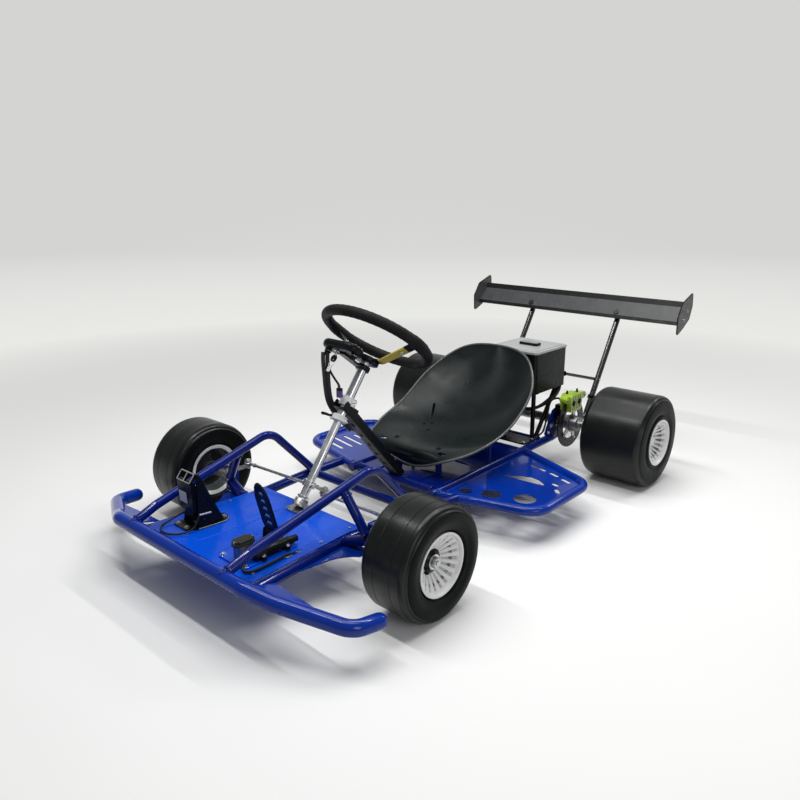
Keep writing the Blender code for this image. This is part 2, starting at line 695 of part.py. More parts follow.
def build_floor_bearing():
    """Foot bearing of the column, a ring on a base plate on the floor pan."""
    base = box((-0.030, -0.016, PAN_TOP + GAP), (0.030, 0.034, PAN_TOP + GAP + 0.004))
    ring = cylinder(on_column(BEARING_BELOW + 0.011), on_column(BEARING_BELOW - 0.009), 0.017,
                    SHAFT_SIDES)
    trim = box((-0.1, -0.1, 0.0), (0.1, 0.1, PAN_TOP + GAP))
    pocket = cylinder(on_column(FOOT_BELOW + GAP), on_column(BEARING_BELOW - 0.05),
                      bore(SHAFT_RADIUS, SHAFT_SIDES), SHAFT_SIDES)
    piece("floor_bearing", base, SILVER, add=(ring,), cut=(trim, pocket))


def build_shaft():
    """Lower column shaft with the pitman arm and the bolt that carries both tie rods."""
    shaft = cylinder(on_column(FOOT_BELOW), on_column(SHAFT_TOP_BELOW), SHAFT_RADIUS, SHAFT_SIDES)
    clamp = cylinder(on_column(PITMAN_BELOW + 0.007), on_column(PITMAN_BELOW - 0.007), 0.016,
                     SHAFT_SIDES)
    half = TIE_END_THICKNESS / 2
    reach = STEERING_ARM_LENGTH
    arm_outline = [(-0.009, 0.002), (-0.007, reach), (-0.005, reach + 0.006),
                   (0.005, reach + 0.006), (0.007, reach), (0.009, 0.002)]
    frame = column_frame(PITMAN_BELOW + half)
    arm = plate(arm_outline, TIE_END_THICKNESS, frame)
    pitman, _ = tie_pin()
    stack = half + TIE_EYE_THICKNESS + 2 * GAP
    bolt = cylinder(pitman - COLUMN * (stack + 0.001), pitman + COLUMN * (stack + 0.001),
                    TIE_PIN_RADIUS, 12)
    head = cylinder(pitman + COLUMN * stack, pitman + COLUMN * (stack + 0.004), 0.006, 6)
    nut = cylinder(pitman - COLUMN * (stack + 0.004), pitman - COLUMN * stack, 0.006, 6)
    piece("steering_shaft", shaft, SILVER, origin=on_column(PITMAN_BELOW),
          add=(clamp, arm, bolt, head, nut))


LEVER_PIVOT_X = 0.028


def build_tube_and_clamp():
    """Upper column tube that telescopes on the shaft, its clamp, and the quick release lever."""
    inner = bore(SHAFT_RADIUS, SHAFT_SIDES)
    bottom = CLAMP_BELOW + 0.008
    length = bottom - TUBE_TOP_BELOW
    profile = [(inner, 0), (0.0195, 0), (0.020, 0.001), (0.020, 0.015), (0.0195, 0.016),
               (TUBE_RADIUS, 0.016), (TUBE_RADIUS, length), (inner, length)]
    tube = lathe(profile, on_column(bottom), COLUMN, SHAFT_SIDES)
    frame = column_frame(CLAMP_BELOW)
    lug = moved(box((-LEVER_PIVOT_X - 0.006, -0.006, -0.006), (-0.0150, 0.006, -0.002)), frame)
    post = moved(cylinder((-LEVER_PIVOT_X, 0, -0.004), (-LEVER_PIVOT_X, 0, 0.0065), 0.0025, 12),
                 frame)
    piece("steering_tube", tube, SILVER, origin=on_column(CLAMP_BELOW), add=(lug, post))
    ring = moved(lathe([(bore(0.0025, 12), 0), (0.0055, 0), (0.0055, 0.006), (bore(0.0025, 12), 0.006)],
                       (-LEVER_PIVOT_X, 0, -0.002 + GAP), UP, 12), frame)
    handle = moved(swept([(-LEVER_PIVOT_X - 0.0045, 0, 0.0013), (-LEVER_PIVOT_X - 0.030, -0.003, 0.0013)],
                         0.0035, 0, 8), frame)
    piece("clamp_lever", ring, BLACK, origin=frame @ Vector((-LEVER_PIVOT_X, 0, 0)), add=(handle,))


def build_wheel():
    """Dished steering wheel: two gold plate spokes on a hub, and the grip on its ring."""
    grip_sides = 8
    turns = 32
    frame = column_frame(0)
    points = []
    faces = []
    for k in range(turns):
        around = 2 * math.pi * k / turns
        for j in range(grip_sides):
            across = 2 * math.pi * j / grip_sides
            reach = WHEEL_RING_RADIUS + WHEEL_GRIP_RADIUS * math.cos(across)
            points.append(frame @ Vector((reach * math.cos(around), reach * math.sin(around),
                                          WHEEL_GRIP_RADIUS * math.sin(across))))
            a = k * grip_sides + j
            b = k * grip_sides + (j + 1) % grip_sides
            shift = grip_sides if k < turns - 1 else -(turns - 1) * grip_sides
            faces.append((a, b, b + shift, a + shift))
    piece("steering_wheel_grip", (points, faces), GRIP, origin=WHEEL_CENTRE)
    spoke_tip = WHEEL_RING_RADIUS - 0.004
    hub_edge = 0.050
    rise = WHEEL_DISH
    centre_line = [(0.0, 0.0), (hub_edge, 0.0), (spoke_tip, rise)]
    spokes = []
    for angle in (0, 180):
        turn = Matrix.Rotation(math.radians(angle), 4, "Z")
        half = SPOKE_WIDTH / 2
        corners = []
        for reach, height in centre_line:
            for y in (-half, half):
                for z in (0.0, SPOKE_THICKNESS):
                    corners.append(frame @ turn @ Vector((reach, y, height - WHEEL_DISH + z)))
        sides = [(0, 1, 3, 2), (8, 10, 11, 9)]
        for k in (0, 4):
            sides += [(k, k + 4, k + 5, k + 1), (k + 2, k + 3, k + 7, k + 6),
                      (k + 1, k + 5, k + 7, k + 3), (k, k + 2, k + 6, k + 4)]
        spokes.append((corners, sides))
    plug_length = 0.015
    hub = lathe([(0, -plug_length), (SHAFT_RADIUS, -plug_length), (SHAFT_RADIUS, GAP),
                 (0.030, GAP), (0.030, 0.0120), (0.012, 0.014), (0, 0.014)],
                on_column(TUBE_TOP_BELOW), COLUMN, SHAFT_SIDES)
    grip_cut = []
    for point in points:
        local = frame.inverted() @ point
        around = math.atan2(local.y, local.x)
        centre = Vector((math.cos(around), math.sin(around), 0)) * WHEEL_RING_RADIUS
        grip_cut.append(frame @ (centre + (local - centre) * (1 + GAP * 1.3 / WHEEL_GRIP_RADIUS)))
    piece("wheel_spokes", hub, GOLD, origin=on_column(TUBE_TOP_BELOW), add=spokes,
          cut=((grip_cut, faces),))


CONSOLE_CENTRE = Vector((0, 0.165, 0.489))
CONSOLE_SIZE = Vector((0.118, 0.062, 0.022))
CONSOLE_RING_BELOW = 0.088


def build_console():
    """Display console on a bracket from the column tube, its ignition key, and the harness."""
    local = column_frame(0).inverted() @ CONSOLE_CENTRE
    size = CONSOLE_SIZE / 2
    corner = 0.012
    outline = []
    for sx, sy, start in ((1, 1, 0), (-1, 1, 90), (-1, -1, 180), (1, -1, 270)):
        for k in range(4):
            a = math.radians(start + 30 * k)
            outline.append((local.x + sx * (size.x - corner) + corner * math.cos(a),
                            local.y + sy * (size.y - corner) + corner * math.sin(a)))
    frame = column_frame(0)
    slab = plate(outline, CONSOLE_SIZE.z, frame @ Matrix.Translation((0, 0, local.z - size.z)))
    ring_z = -CONSOLE_RING_BELOW
    arm = moved(box((-0.012, local.y, ring_z - 0.007), (0.012, -0.004, ring_z - 0.001)), frame)
    post = moved(box((-0.0118, local.y + 0.001, ring_z - 0.0068),
                     (0.0118, local.y + 0.014, local.z - size.z + 0.002)), frame)
    ring = cylinder(on_column(CONSOLE_RING_BELOW + 0.008), on_column(CONSOLE_RING_BELOW - 0.006),
                    0.0185, SHAFT_SIDES)
    tube_cut = cylinder(on_column(0.15), on_column(TUBE_TOP_BELOW),
                        bore(TUBE_RADIUS, SHAFT_SIDES), SHAFT_SIDES)
    key_spot = Vector((-0.008, local.y - 0.006, local.z - size.z))
    key_hole = moved(cylinder(key_spot - UP * 0.002, key_spot + UP * 0.010, bore(0.0035, 12), 12),
                     frame)
    piece("console", slab, BLACK, origin=on_column(CONSOLE_RING_BELOW), add=(arm, post, ring),
          cut=(tube_cut, key_hole))
    barrel = cylinder(key_spot - UP * 0.014, key_spot + UP * 0.009, 0.0035, 12)
    bow = plate([(-0.003, 0.0), (0.003, 0.0), (0.009, 0.006), (0.009, 0.014), (0.004, 0.019),
                 (-0.004, 0.019), (-0.009, 0.014), (-0.009, 0.006)], 0.003,
                Matrix.Translation(key_spot - UP * 0.012 - REARWARD * 0.0015)
                @ Matrix.Rotation(math.radians(-90), 4, "X"))
    piece("ignition_key", moved(barrel, frame), BLACK, origin=frame @ key_spot,
          add=(moved(bow, frame),))
    build_harness()


def build_harness():
    """Cable harness from the console's far end down past the collar to the channel."""
    route = [(-0.046, 0.1475, 0.4745), (-0.048, 0.148, 0.455), (-0.0455, 0.147, 0.425),
             (-0.041, 0.146, 0.385), (-0.037, 0.150, 0.350), (-0.036, 0.168, 0.318),
             (-0.0345, 0.195, 0.285), (-0.0316, 0.222, 0.256)]
    harness = swept(smooth_curve(route, 0.018), 0.010, 0, 8)
    piece("harness", harness, CABLE)


def build_tie_rods():
    """Tie rods: the left one under the pitman arm, the right one on top of it."""
    pitman, arm_end = tie_pin()
    half = TIE_EYE_THICKNESS / 2
    for side, word, level in ((1, "left", -1), (-1, "right", 1)):
        lift = level * (TIE_END_THICKNESS / 2 + GAP + half)
        inner = pitman + COLUMN * lift
        outer = Vector((side * arm_end.x, arm_end.y, arm_end.z + GAP + half))
        run = (outer - inner).normalized()
        rod = cylinder(inner + run * (TIE_EYE_RADIUS - 0.0015), outer - run * (TIE_EYE_RADIUS - 0.0015),
                       TIE_ROD_RADIUS - 0.0012, 10)
        inner_ring = eye(inner, COLUMN, bore(TIE_PIN_RADIUS, 12))
        outer_ring = eye(outer, UP, TIE_EYE_FREE_RADIUS)
        thick = cylinder(inner + run * 0.020, outer - run * 0.020, TIE_ROD_RADIUS, 10)
        piece(f"tie_rod_{word}", rod, SILVER, origin=inner, add=(inner_ring, outer_ring, thick))


def eye(centre, axis, hole):
    half = TIE_EYE_THICKNESS / 2
    profile = [(hole, -half), (TIE_EYE_RADIUS, -half), (TIE_EYE_RADIUS, half), (hole, half)]
    return lathe(profile, centre, axis, 12)


FRONT_HUB_INNER = 0.045
FRONT_HUB_OUTER = 0.033


def build_spindle(side, word):
    """Spindle: barrel on its kingpin bolt, steering arm, stub axle with shoulder and nut."""
    wheel_z = FRONT_TYRE_RADIUS
    gap_low = wheel_z - LUG_SPREAD / 2 + LUG_THICKNESS / 2 + GAP
    gap_high = wheel_z + LUG_SPREAD / 2 - LUG_THICKNESS / 2 - GAP
    bolt_low = gap_low - GAP * 2 - LUG_THICKNESS
    bolt_high = gap_high + GAP * 2 + LUG_THICKNESS
    barrel = cylinder((KINGPIN_X, 0, gap_low), (KINGPIN_X, 0, gap_high), SPINDLE_BARREL_RADIUS, 12)
    bolt = cylinder((KINGPIN_X, 0, bolt_low - 0.001), (KINGPIN_X, 0, bolt_high + 0.001),
                    KINGPIN_RADIUS, 12)
    head = cylinder((KINGPIN_X, 0, bolt_high), (KINGPIN_X, 0, bolt_high + 0.006), 0.009, 6)
    nut = cylinder((KINGPIN_X, 0, bolt_low - 0.006), (KINGPIN_X, 0, bolt_low), 0.009, 6)
    centre_x = FRONT_TRACK / 2
    shoulder_x = centre_x - FRONT_HUB_INNER - GAP
    nut_x = centre_x + FRONT_HUB_OUTER + GAP
    reach = shoulder_x - KINGPIN_X
    stub = lathe([(0, 0.002), (0.0090, 0.002), (0.0105, 0.030), (0.0135, reach - 0.004),
                  (0.0135, reach), (STUB_AXLE_RADIUS, reach), (STUB_AXLE_RADIUS, nut_x - KINGPIN_X),
                  (0.0125, nut_x - KINGPIN_X), (0.0125, nut_x - KINGPIN_X + 0.008),
                  (0.006, nut_x - KINGPIN_X + 0.009), (0.006, nut_x - KINGPIN_X + 0.013),
                  (0, nut_x - KINGPIN_X + 0.013)], (KINGPIN_X, 0, wheel_z), ACROSS, 12)
    _, arm_end = tie_pin()
    arm_low = arm_end.z - STEERING_ARM_THICKNESS
    arm = plate([(KINGPIN_X - 0.008, 0.003), (KINGPIN_X - 0.006, arm_end.y),
                 (KINGPIN_X - 0.004, arm_end.y + 0.007), (KINGPIN_X + 0.004, arm_end.y + 0.007),
                 (KINGPIN_X + 0.006, arm_end.y), (KINGPIN_X + 0.008, 0.003)],
                STEERING_ARM_THICKNESS, basis((0, 0, arm_low), UP))
    pin_top = arm_end.z + GAP + TIE_EYE_THICKNESS + TIE_RISE
    pin = cylinder((arm_end.x, arm_end.y, arm_low + 0.001), (arm_end.x, arm_end.y, pin_top + 0.001),
                   TIE_PIN_RADIUS, 12)
    pin_head = cylinder((arm_end.x, arm_end.y, pin_top), (arm_end.x, arm_end.y, pin_top + 0.003),
                        0.007, 6)
    parts = (bolt, head, nut, stub, arm, pin, pin_head)
    piece(f"spindle_{word}", sided(barrel, side), SILVER, origin=(side * KINGPIN_X, 0, wheel_z),
          add=[sided(s, side) for s in parts])


# Wheels

def rim_profile(width, hole, hub_inner, hub_outer):
    """Closed section of a rim: (radius, distance outboard of the middle), with its ribbed face."""
    h = width / 2
    seat = RIM_SEAT_RADIUS
    flange = seat + RIM_FLANGE_HEIGHT
    well = seat - 0.0085
    wall = RIM_WALL
    face = hub_outer - 0.006
    profile = [(flange, -h), (seat, -h + 0.006), (seat, -h + 0.019), (well, -h + 0.027),
               (well, h - 0.027), (seat, h - 0.019), (seat, h - 0.006), (flange, h),
               (seat - wall - 0.008, h - 0.010), (0.024, face), (0.019, hub_outer),
               (hole, hub_outer), (hole, -hub_inner), (0.020, -hub_inner),
               (well - wall, h - 0.030), (seat - wall, -h)]
    return profile, (8, 9)


def tyre_profile(width, rim_width, radius):
    """Closed section of a slick tyre, open towards the rim."""
    w = width / 2
    h = rim_width / 2
    bead = RIM_SEAT_RADIUS / math.cos(math.pi / TYRE_SIDES) + GAP
    shoulder = RIM_SEAT_RADIUS + RIM_FLANGE_HEIGHT + 0.004
    side = h - 0.006 - 2 * GAP
    outer = [(bead, side), (shoulder, side), (shoulder + 0.022, w), (radius - 0.012, w - 0.006),
             (radius, w - 0.022)]
    inner = [(radius - 0.010, w - 0.022), (bead, side - 0.011)]
    left = [(r, -y) for r, y in outer]
    return outer + left[::-1] + [(r, -y) for r, y in inner[::-1]] + inner


def build_wheels():
    """Front wheels turn on the stub axles, rear wheels on the live axle. Each tyre stands on a flat."""
    sets = (("front", FRONT_TRACK, 0.0, FRONT_TYRE_RADIUS, FRONT_TYRE_WIDTH, FRONT_RIM_WIDTH,
             bore(STUB_AXLE_RADIUS, 2 * RIM_RIBS), FRONT_HUB_INNER, FRONT_HUB_OUTER),
            ("rear", REAR_TRACK, WHEELBASE, REAR_TYRE_RADIUS, REAR_TYRE_WIDTH, REAR_RIM_WIDTH,
             bore(AXLE_RADIUS - 0.003, 2 * RIM_RIBS), REAR_HUB_INNER, REAR_HUB_OUTER))
    for end, track, y, radius, width, rim_width, hole, hub_inner, hub_outer in sets:
        for side, word in ((1, "left"), (-1, "right")):
            centre = Vector((track / 2, y, radius))
            profile, ribs = rim_profile(rim_width, hole, hub_inner, hub_outer)
            rim = lathe(profile, centre, ACROSS, 2 * RIM_RIBS, ribs, RIM_RIB_HEIGHT)
            piece(f"{end}_rim_{word}", sided(rim, side), WHITE, origin=(side * centre.x, y, radius))
            tread = radius / math.cos(math.pi / TYRE_SIDES)
            tyre = lathe(tyre_profile(width, rim_width, tread), centre, ACROSS, TYRE_SIDES, phase=0.5)
            piece(f"{end}_tyre_{word}", sided(tyre, side), TYRE, origin=(side * centre.x, y, radius))


REAR_HUB_INNER = -0.020
REAR_HUB_OUTER = 0.070


# Drive and brake

def build_drive():
    axle_z = REAR_TYRE_RADIUS
    centre = Vector((0, WHEELBASE, axle_z))
    half_track = REAR_TRACK / 2
    hub_face = half_track - REAR_HUB_INNER - GAP
    nut_face = half_track + REAR_HUB_OUTER + GAP
    half_profile = [(AXLE_RADIUS, 0), (AXLE_RADIUS, hub_face - 0.030), (0.024, hub_face - 0.026),
                    (0.024, hub_face), (AXLE_RADIUS - 0.003, hub_face),
                    (AXLE_RADIUS - 0.003, nut_face), (0.017, nut_face), (0.017, nut_face + 0.007),
                    (0, nut_face + 0.007)]
    profile = [(r, -x) for r, x in half_profile[:0:-1]] + half_profile[1:]
    piece("rear_axle", lathe(profile, centre, ACROSS, AXLE_SIDES), SILVER, origin=centre)
    build_brake(centre)
    build_chain_drive(centre)
    build_motor()
    build_battery()


def build_brake(axle):
    """Drilled disc on its carrier, and the caliper that straddles it."""
    hole = bore(AXLE_RADIUS, AXLE_SIDES)
    x = DISC_X - DISC_THICKNESS / 2
    profile = [(hole, -0.010), (0.024, -0.010), (0.024, 0.0), (DISC_RADIUS, 0.0),
               (DISC_RADIUS, DISC_THICKNESS), (0.036, DISC_THICKNESS), (0.034, 0.008), (0.024, 0.010),
               (0.024, 0.030), (hole, 0.030)]
    disc = lathe(profile, (x, axle.y, axle.z), ACROSS, 20)
    holes = []
    for k in range(6):
        a = 2 * math.pi * (k + 0.5) / 6
        spot = axle + Vector((x, 0.060 * math.cos(a), 0.060 * math.sin(a)))
        holes.append(cylinder(spot - ACROSS * 0.01, spot + ACROSS * 0.02, 0.006, 6))
    piece("brake_disc", disc, SILVER, origin=(DISC_X, axle.y, axle.z), cut=holes)
    body = box((DISC_X - 0.020, axle.y - 0.035, 0.183), (DISC_X + 0.018, axle.y + 0.033, 0.240))
    wing = box((DISC_X - 0.012, axle.y - 0.057, 0.214), (DISC_X + 0.012, axle.y + 0.069, 0.236))
    arm = box((HANGER_X + HANGER_THICKNESS / 2 + GAP, axle.y - 0.033, 0.160),
              (DISC_X - 0.018, axle.y - 0.007, 0.200))
    pad_gap = 0.0008
    half = DISC_THICKNESS / 2 + pad_gap
    slot_cut = lathe([(0, -half), (DISC_RADIUS + 0.003, -half), (DISC_RADIUS + 0.003, half), (0, half)],
                     (DISC_X, axle.y, axle.z), ACROSS, 24)
    hub_cut = cylinder((DISC_X - 0.03, axle.y, axle.z), (DISC_X + 0.04, axle.y, axle.z), 0.040, 24)
    piece("brake_caliper", body, LIME, add=(wing, arm), cut=(slot_cut, hub_cut))


def toothed(radius, teeth, depth):
    outline = []
    for k in range(teeth):
        for share, reach in ((0.0, -depth / 2), (0.25, depth / 2), (0.5, depth / 2), (0.75, -depth / 2)):
            a = 2 * math.pi * (k + share) / teeth
            outline.append(((radius + reach) * math.cos(a), (radius + reach) * math.sin(a)))
    return outline


def build_chain_drive(axle):
    """Sprocket on the axle, pinion on the motor shaft, and the chain loop round both."""
    depth = 0.004
    across = upright(0)
    thick = 0.004
    place = Matrix.Translation((SPROCKET_X - thick / 2, axle.y, axle.z)) @ across
    hole = circle(0, 0, bore(AXLE_RADIUS, AXLE_SIDES), AXLE_SIDES)
    wheel = plate(toothed(SPROCKET_RADIUS, 14, depth), thick, place, [hole])
    boss = lathe([(bore(AXLE_RADIUS, AXLE_SIDES), -0.012), (0.026, -0.012), (0.026, 0.012),
                  (bore(AXLE_RADIUS, AXLE_SIDES), 0.012)], (SPROCKET_X, axle.y, axle.z), ACROSS,
                 AXLE_SIDES)
    piece("sprocket", wheel, SILVER, origin=(SPROCKET_X, axle.y, axle.z), add=(boss,))
    motor = Vector((SPROCKET_X, MOTOR_Y, MOTOR_Z))
    place = Matrix.Translation((SPROCKET_X - thick, MOTOR_Y, MOTOR_Z)) @ across
    pinion = plate(toothed(PINION_RADIUS, 8, depth), 2 * thick, place)
    shaft = cylinder(motor - ACROSS * 0.010, motor + ACROSS * 0.100, 0.006, 12)
    piece("motor_pinion", pinion, SILVER, origin=motor, add=(shaft,))
    inside = depth / 2 + 2 * GAP
    outer = belt_loop(PINION_RADIUS + inside + CHAIN_THICKNESS, SPROCKET_RADIUS + inside + CHAIN_THICKNESS,
                      axle)
    inner = belt_loop(PINION_RADIUS + inside, SPROCKET_RADIUS + inside, axle)
    place = Matrix.Translation((SPROCKET_X - CHAIN_WIDTH / 2, 0, 0)) @ across
    piece("drive_chain", plate(outer, CHAIN_WIDTH, place, [inner]), BLACK_METAL)


def belt_loop(front_radius, rear_radius, axle, steps=10):
    """Outline in (y, z) of a belt round the motor pinion and the axle sprocket."""
    line = Vector((axle.y - MOTOR_Y, axle.z - MOTOR_Z))
    lean = math.atan2(line.y, line.x)
    swing = math.acos((front_radius - rear_radius) / line.length)
    outline = []
    for k in range(steps + 1):
        a = lean + swing + (2 * math.pi - 2 * swing) * k / steps
        outline.append((MOTOR_Y + front_radius * math.cos(a), MOTOR_Z + front_radius * math.sin(a)))
    for k in range(2 * steps + 1):
        a = lean - swing + 2 * swing * k / (2 * steps)
        outline.append((axle.y + rear_radius * math.cos(a), axle.z + rear_radius * math.sin(a)))
    return outline


def build_motor():
    """Electric motor across the frame on a plate that lies on the rear rails."""
    rail_top = REAR_RAIL_Z + RAIL_RADIUS
    left = SPROCKET_X + 0.057
    right = left + MOTOR_LENGTH
    half = REAR_RAIL_TAIL_X + 0.002
    base = box((-half, MOTOR_Y - 0.035, rail_top + GAP), (half, MOTOR_Y + 0.035, rail_top + 0.005))
    feet = box((left + 0.012, MOTOR_Y - 0.030, rail_top + 0.004), (right - 0.012, MOTOR_Y + 0.030,
                                                                 MOTOR_Z - 0.020))
    body = lathe([(0, 0), (0.040, 0), (MOTOR_RADIUS, 0.008), (MOTOR_RADIUS, MOTOR_LENGTH - 0.008),
                  (0.040, MOTOR_LENGTH), (0, MOTOR_LENGTH)], (left, MOTOR_Y, MOTOR_Z), ACROSS, 24)
    shaft_cut = cylinder((SPROCKET_X, MOTOR_Y, MOTOR_Z), (SPROCKET_X + 0.100 + GAP, MOTOR_Y, MOTOR_Z),
                         bore(0.006, 12), 12)
    piece("motor", body, BLACK_METAL, add=(feet, base), cut=(shaft_cut,))


def build_battery():
    """Battery box on four legs, the pack inside it, and its lid with the handle."""
    low = BOX_LOW
    high = BOX_HIGH
    wall = Vector((BOX_WALL, BOX_WALL, BOX_WALL))
    cavity = box(low + wall, (high.x - BOX_WALL, high.y - BOX_WALL, high.z + 0.02))
    legs = []
    for x in (low.x + 0.020, high.x - 0.020):
        for y, foot_y in ((low.y + 0.030, REAR_CROSS_Y - 0.004), (high.y - 0.020, REAR_CROSS_Y + 0.004)):
            legs.append(swept([(x, y, low.z + 0.002), (x, foot_y, REAR_RAIL_Z + 0.004)],
                              BOX_LEG_RADIUS, 0, 10))
    cross_cut = swept(cross_route(REAR_CROSS_Y, REAR_RAIL_Z, REAR_RAIL_TAIL_X), RAIL_RADIUS - 0.001 + GAP)
    piece("battery_box", box(low, high), BLACK_METAL, add=legs, cut=(cavity, cross_cut))
    spread = 0.002
    lid = box((low.x - spread, low.y - spread, high.z + GAP), (high.x + spread, high.y + spread,
                                                             high.z + LID_HEIGHT))
    middle = Vector((0.045, (low.y + high.y) / 2 + 0.004, high.z + LID_HEIGHT))
    handle = box(middle - Vector((0.034, 0.014, 0.002)), middle + Vector((0.034, 0.014, 0.008)))
    tongue = box((low.x + BOX_WALL + GAP, low.y + BOX_WALL + GAP, high.z - 0.004),
                 (high.x - BOX_WALL - GAP, high.y - BOX_WALL - GAP, high.z + 0.002))
    piece("battery_lid", lid, BLACK, add=(handle, tongue))
    pack = box(low + wall + Vector((GAP, GAP, GAP)),
               (high.x - BOX_WALL - GAP, high.y - BOX_WALL - GAP, high.z - 0.004 - GAP))
    piece("battery_pack", pack, BLACK)


# Seat

SEAT_SPINE = [(0.418, 0.114), (0.405, 0.150), (0.430, 0.168), (0.580, 0.168), (0.680, 0.200),
              (0.760, 0.275), (0.841, 0.395)]
SEAT_RIM = [(0.0, 0.418, 0.114), (0.139, 0.408, 0.160), (0.193, 0.496, 0.186), (0.206, 0.620, 0.226),
            (0.194, 0.736, 0.306), (0.118, 0.818, 0.378), (0.0, 0.841, 0.395)]


def run_along(points, share):
    """Point at a share of a Catmull-Rom curve's spans. The first and last points only guide it."""
    spans = len(points) - 3
    k = min(int(share * spans), spans - 1)
    t = share * spans - k
    p0, p1, p2, p3 = points[k:k + 4]
    return 0.5 * (2 * p1 + (p2 - p0) * t + (2 * p0 - 5 * p1 + 4 * p2 - p3) * t * t
                  + (3 * p1 - p0 - 3 * p2 + p3) * t ** 3)


def seat_grid(rows=12, columns=10):
    """Upper surface of the seat as rows from the front lip to the top edge."""
    spine = [Vector((0, y, z)) for y, z in SEAT_SPINE]
    spine = [spine[0], *spine, spine[-1]]
    rim = [Vector(p) for p in SEAT_RIM]
    rim = [Vector((-rim[1].x, *rim[1].yz)), *rim, Vector((-rim[-2].x, *rim[-2].yz))]
    grid = []
    for i in range(rows + 1):
        middle = run_along(spine, i / rows)
        edge = run_along(rim, i / rows)
        flat = Vector((0.48 * edge.x, middle.y, middle.z))
        steep = Vector((0.813 * edge.x, 0.367 * middle.y + 0.633 * edge.y,
                        0.613 * middle.z + 0.387 * edge.z))
        row = []
        for j in range(columns + 1):
            u = 2 * j / columns - 1
            t = abs(u)
            point = ((1 - t) ** 3 * middle + 3 * t * (1 - t) ** 2 * flat
                     + 3 * t * t * (1 - t) * steep + t ** 3 * edge)
            row.append(Vector((math.copysign(point.x, u) if t else 0.0, point.y, point.z)))
        grid.append(row)
    return grid


def seat_solid(thickness):
    """Seat shell of one thickness below its upper surface."""
    grid = seat_grid()
    rows = len(grid)
    columns = len(grid[0])
    normals = [[seat_normal(grid, i, j) for j in range(columns)] for i in range(rows)]
    below = [[grid[i][j] - normals[i][j] * thickness for j in range(columns)] for i in range(rows)]
    points = []
    number = {}

    def vertex(layer, i, j):
        if i in (0, rows - 1):
            j = 0
        key = (layer, i, j)
        if key not in number:
            number[key] = len(points)
            points.append((grid if layer else below)[i][j if i not in (0, rows - 1) else columns // 2])
        return number[key]

    faces = []
    for i in range(rows - 1):
        for j in range(columns - 1):
            for layer in (0, 1):
                corners = []
                for a, b in ((i, j), (i, j + 1), (i + 1, j + 1), (i + 1, j)):
                    corner = vertex(layer, a, b)
                    if corner not in corners:
                        corners.append(corner)
                faces.append(tuple(corners if layer else reversed(corners)))
        for j in (0, columns - 1):
            corners = []
            for layer, a in ((0, i), (0, i + 1), (1, i + 1), (1, i)):
                corner = vertex(layer, a, j)
                if corner not in corners:
                    corners.append(corner)
            faces.append(tuple(corners))
    return points, faces


def seat_normal(grid, i, j):
    rows = len(grid)
    columns = len(grid[0])
    if i in (0, rows - 1):
        middle = columns // 2
        along = grid[min(i + 1, rows - 1)][middle] - grid[max(i - 1, 0)][middle]
        return ACROSS.cross(along).normalized()
    along = grid[i + 1][j] - grid[i - 1][j]
    across = grid[i][min(j + 1, columns - 1)] - grid[i][max(j - 1, 0)]
    return across.cross(along).normalized()


def seat_underside(x, y, reach):
    """Lowest height of the seat's underside within a reach of a point under its bottom."""
    heights = []
    grid = seat_grid(36, 40)
    for i, row in enumerate(grid):
        for j, point in enumerate(row):
            if abs(point.x - x) < reach + 0.006 and abs(point.y - y) < reach + 0.006:
                heights.append((point - seat_normal(grid, i, j) * SEAT_THICKNESS).z)
    return min(heights)


def build_seat():
    """Scoop seat shell with its drain and bolt holes."""
    low = basis((0, 0, 0.140), UP)
    cuts = [plate(slot(-0.109, 0.650, 0.060, 0.009, 119), 0.12, low)]
    for x in (-0.111, 0.108):
        cuts.append(plate(slot(x, 0.426, 0.026, 0.011, 0), 0.06, low))
    for x, y, radius in ((-0.089, 0.584, 0.0042), (-0.073, 0.603, 0.0042), (-0.053, 0.562, 0.0042),
                         (0.060, 0.559, 0.003), (0.092, 0.552, 0.003)):
        cuts.append(cylinder((x, y, 0.140), (x, y, 0.200), radius, 8))
    piece("seat_shell", seat_solid(SEAT_THICKNESS), SEAT_BLACK, cut=cuts)


# Wing

# Section line of the wing in (distance behind the rear axle, height)
WING_SECTION = [(0.286, 0.4455), (0.291, 0.4555), (0.333, 0.499), (0.344, 0.516)]


def wing_sheet(half_span, grow=0.0):
    """Bent sheet of the wing: the section line, thickened behind and below it."""
    line = [Vector((WHEELBASE + y, z)) for y, z in WING_SECTION]
    front = []
    back = []
    for k, point in enumerate(line):
        before = line[max(k - 1, 0)]
        after = line[min(k + 1, len(line) - 1)]
        run = (after - before).normalized()
        normal = Vector((run.y, -run.x))
        front.append(point - normal * grow)
        back.append(point + normal * (WING_SHEET + grow))
    outline = [(p.x, p.y) for p in front + back[::-1]]
    return plate(outline, 2 * half_span, upright(-half_span))


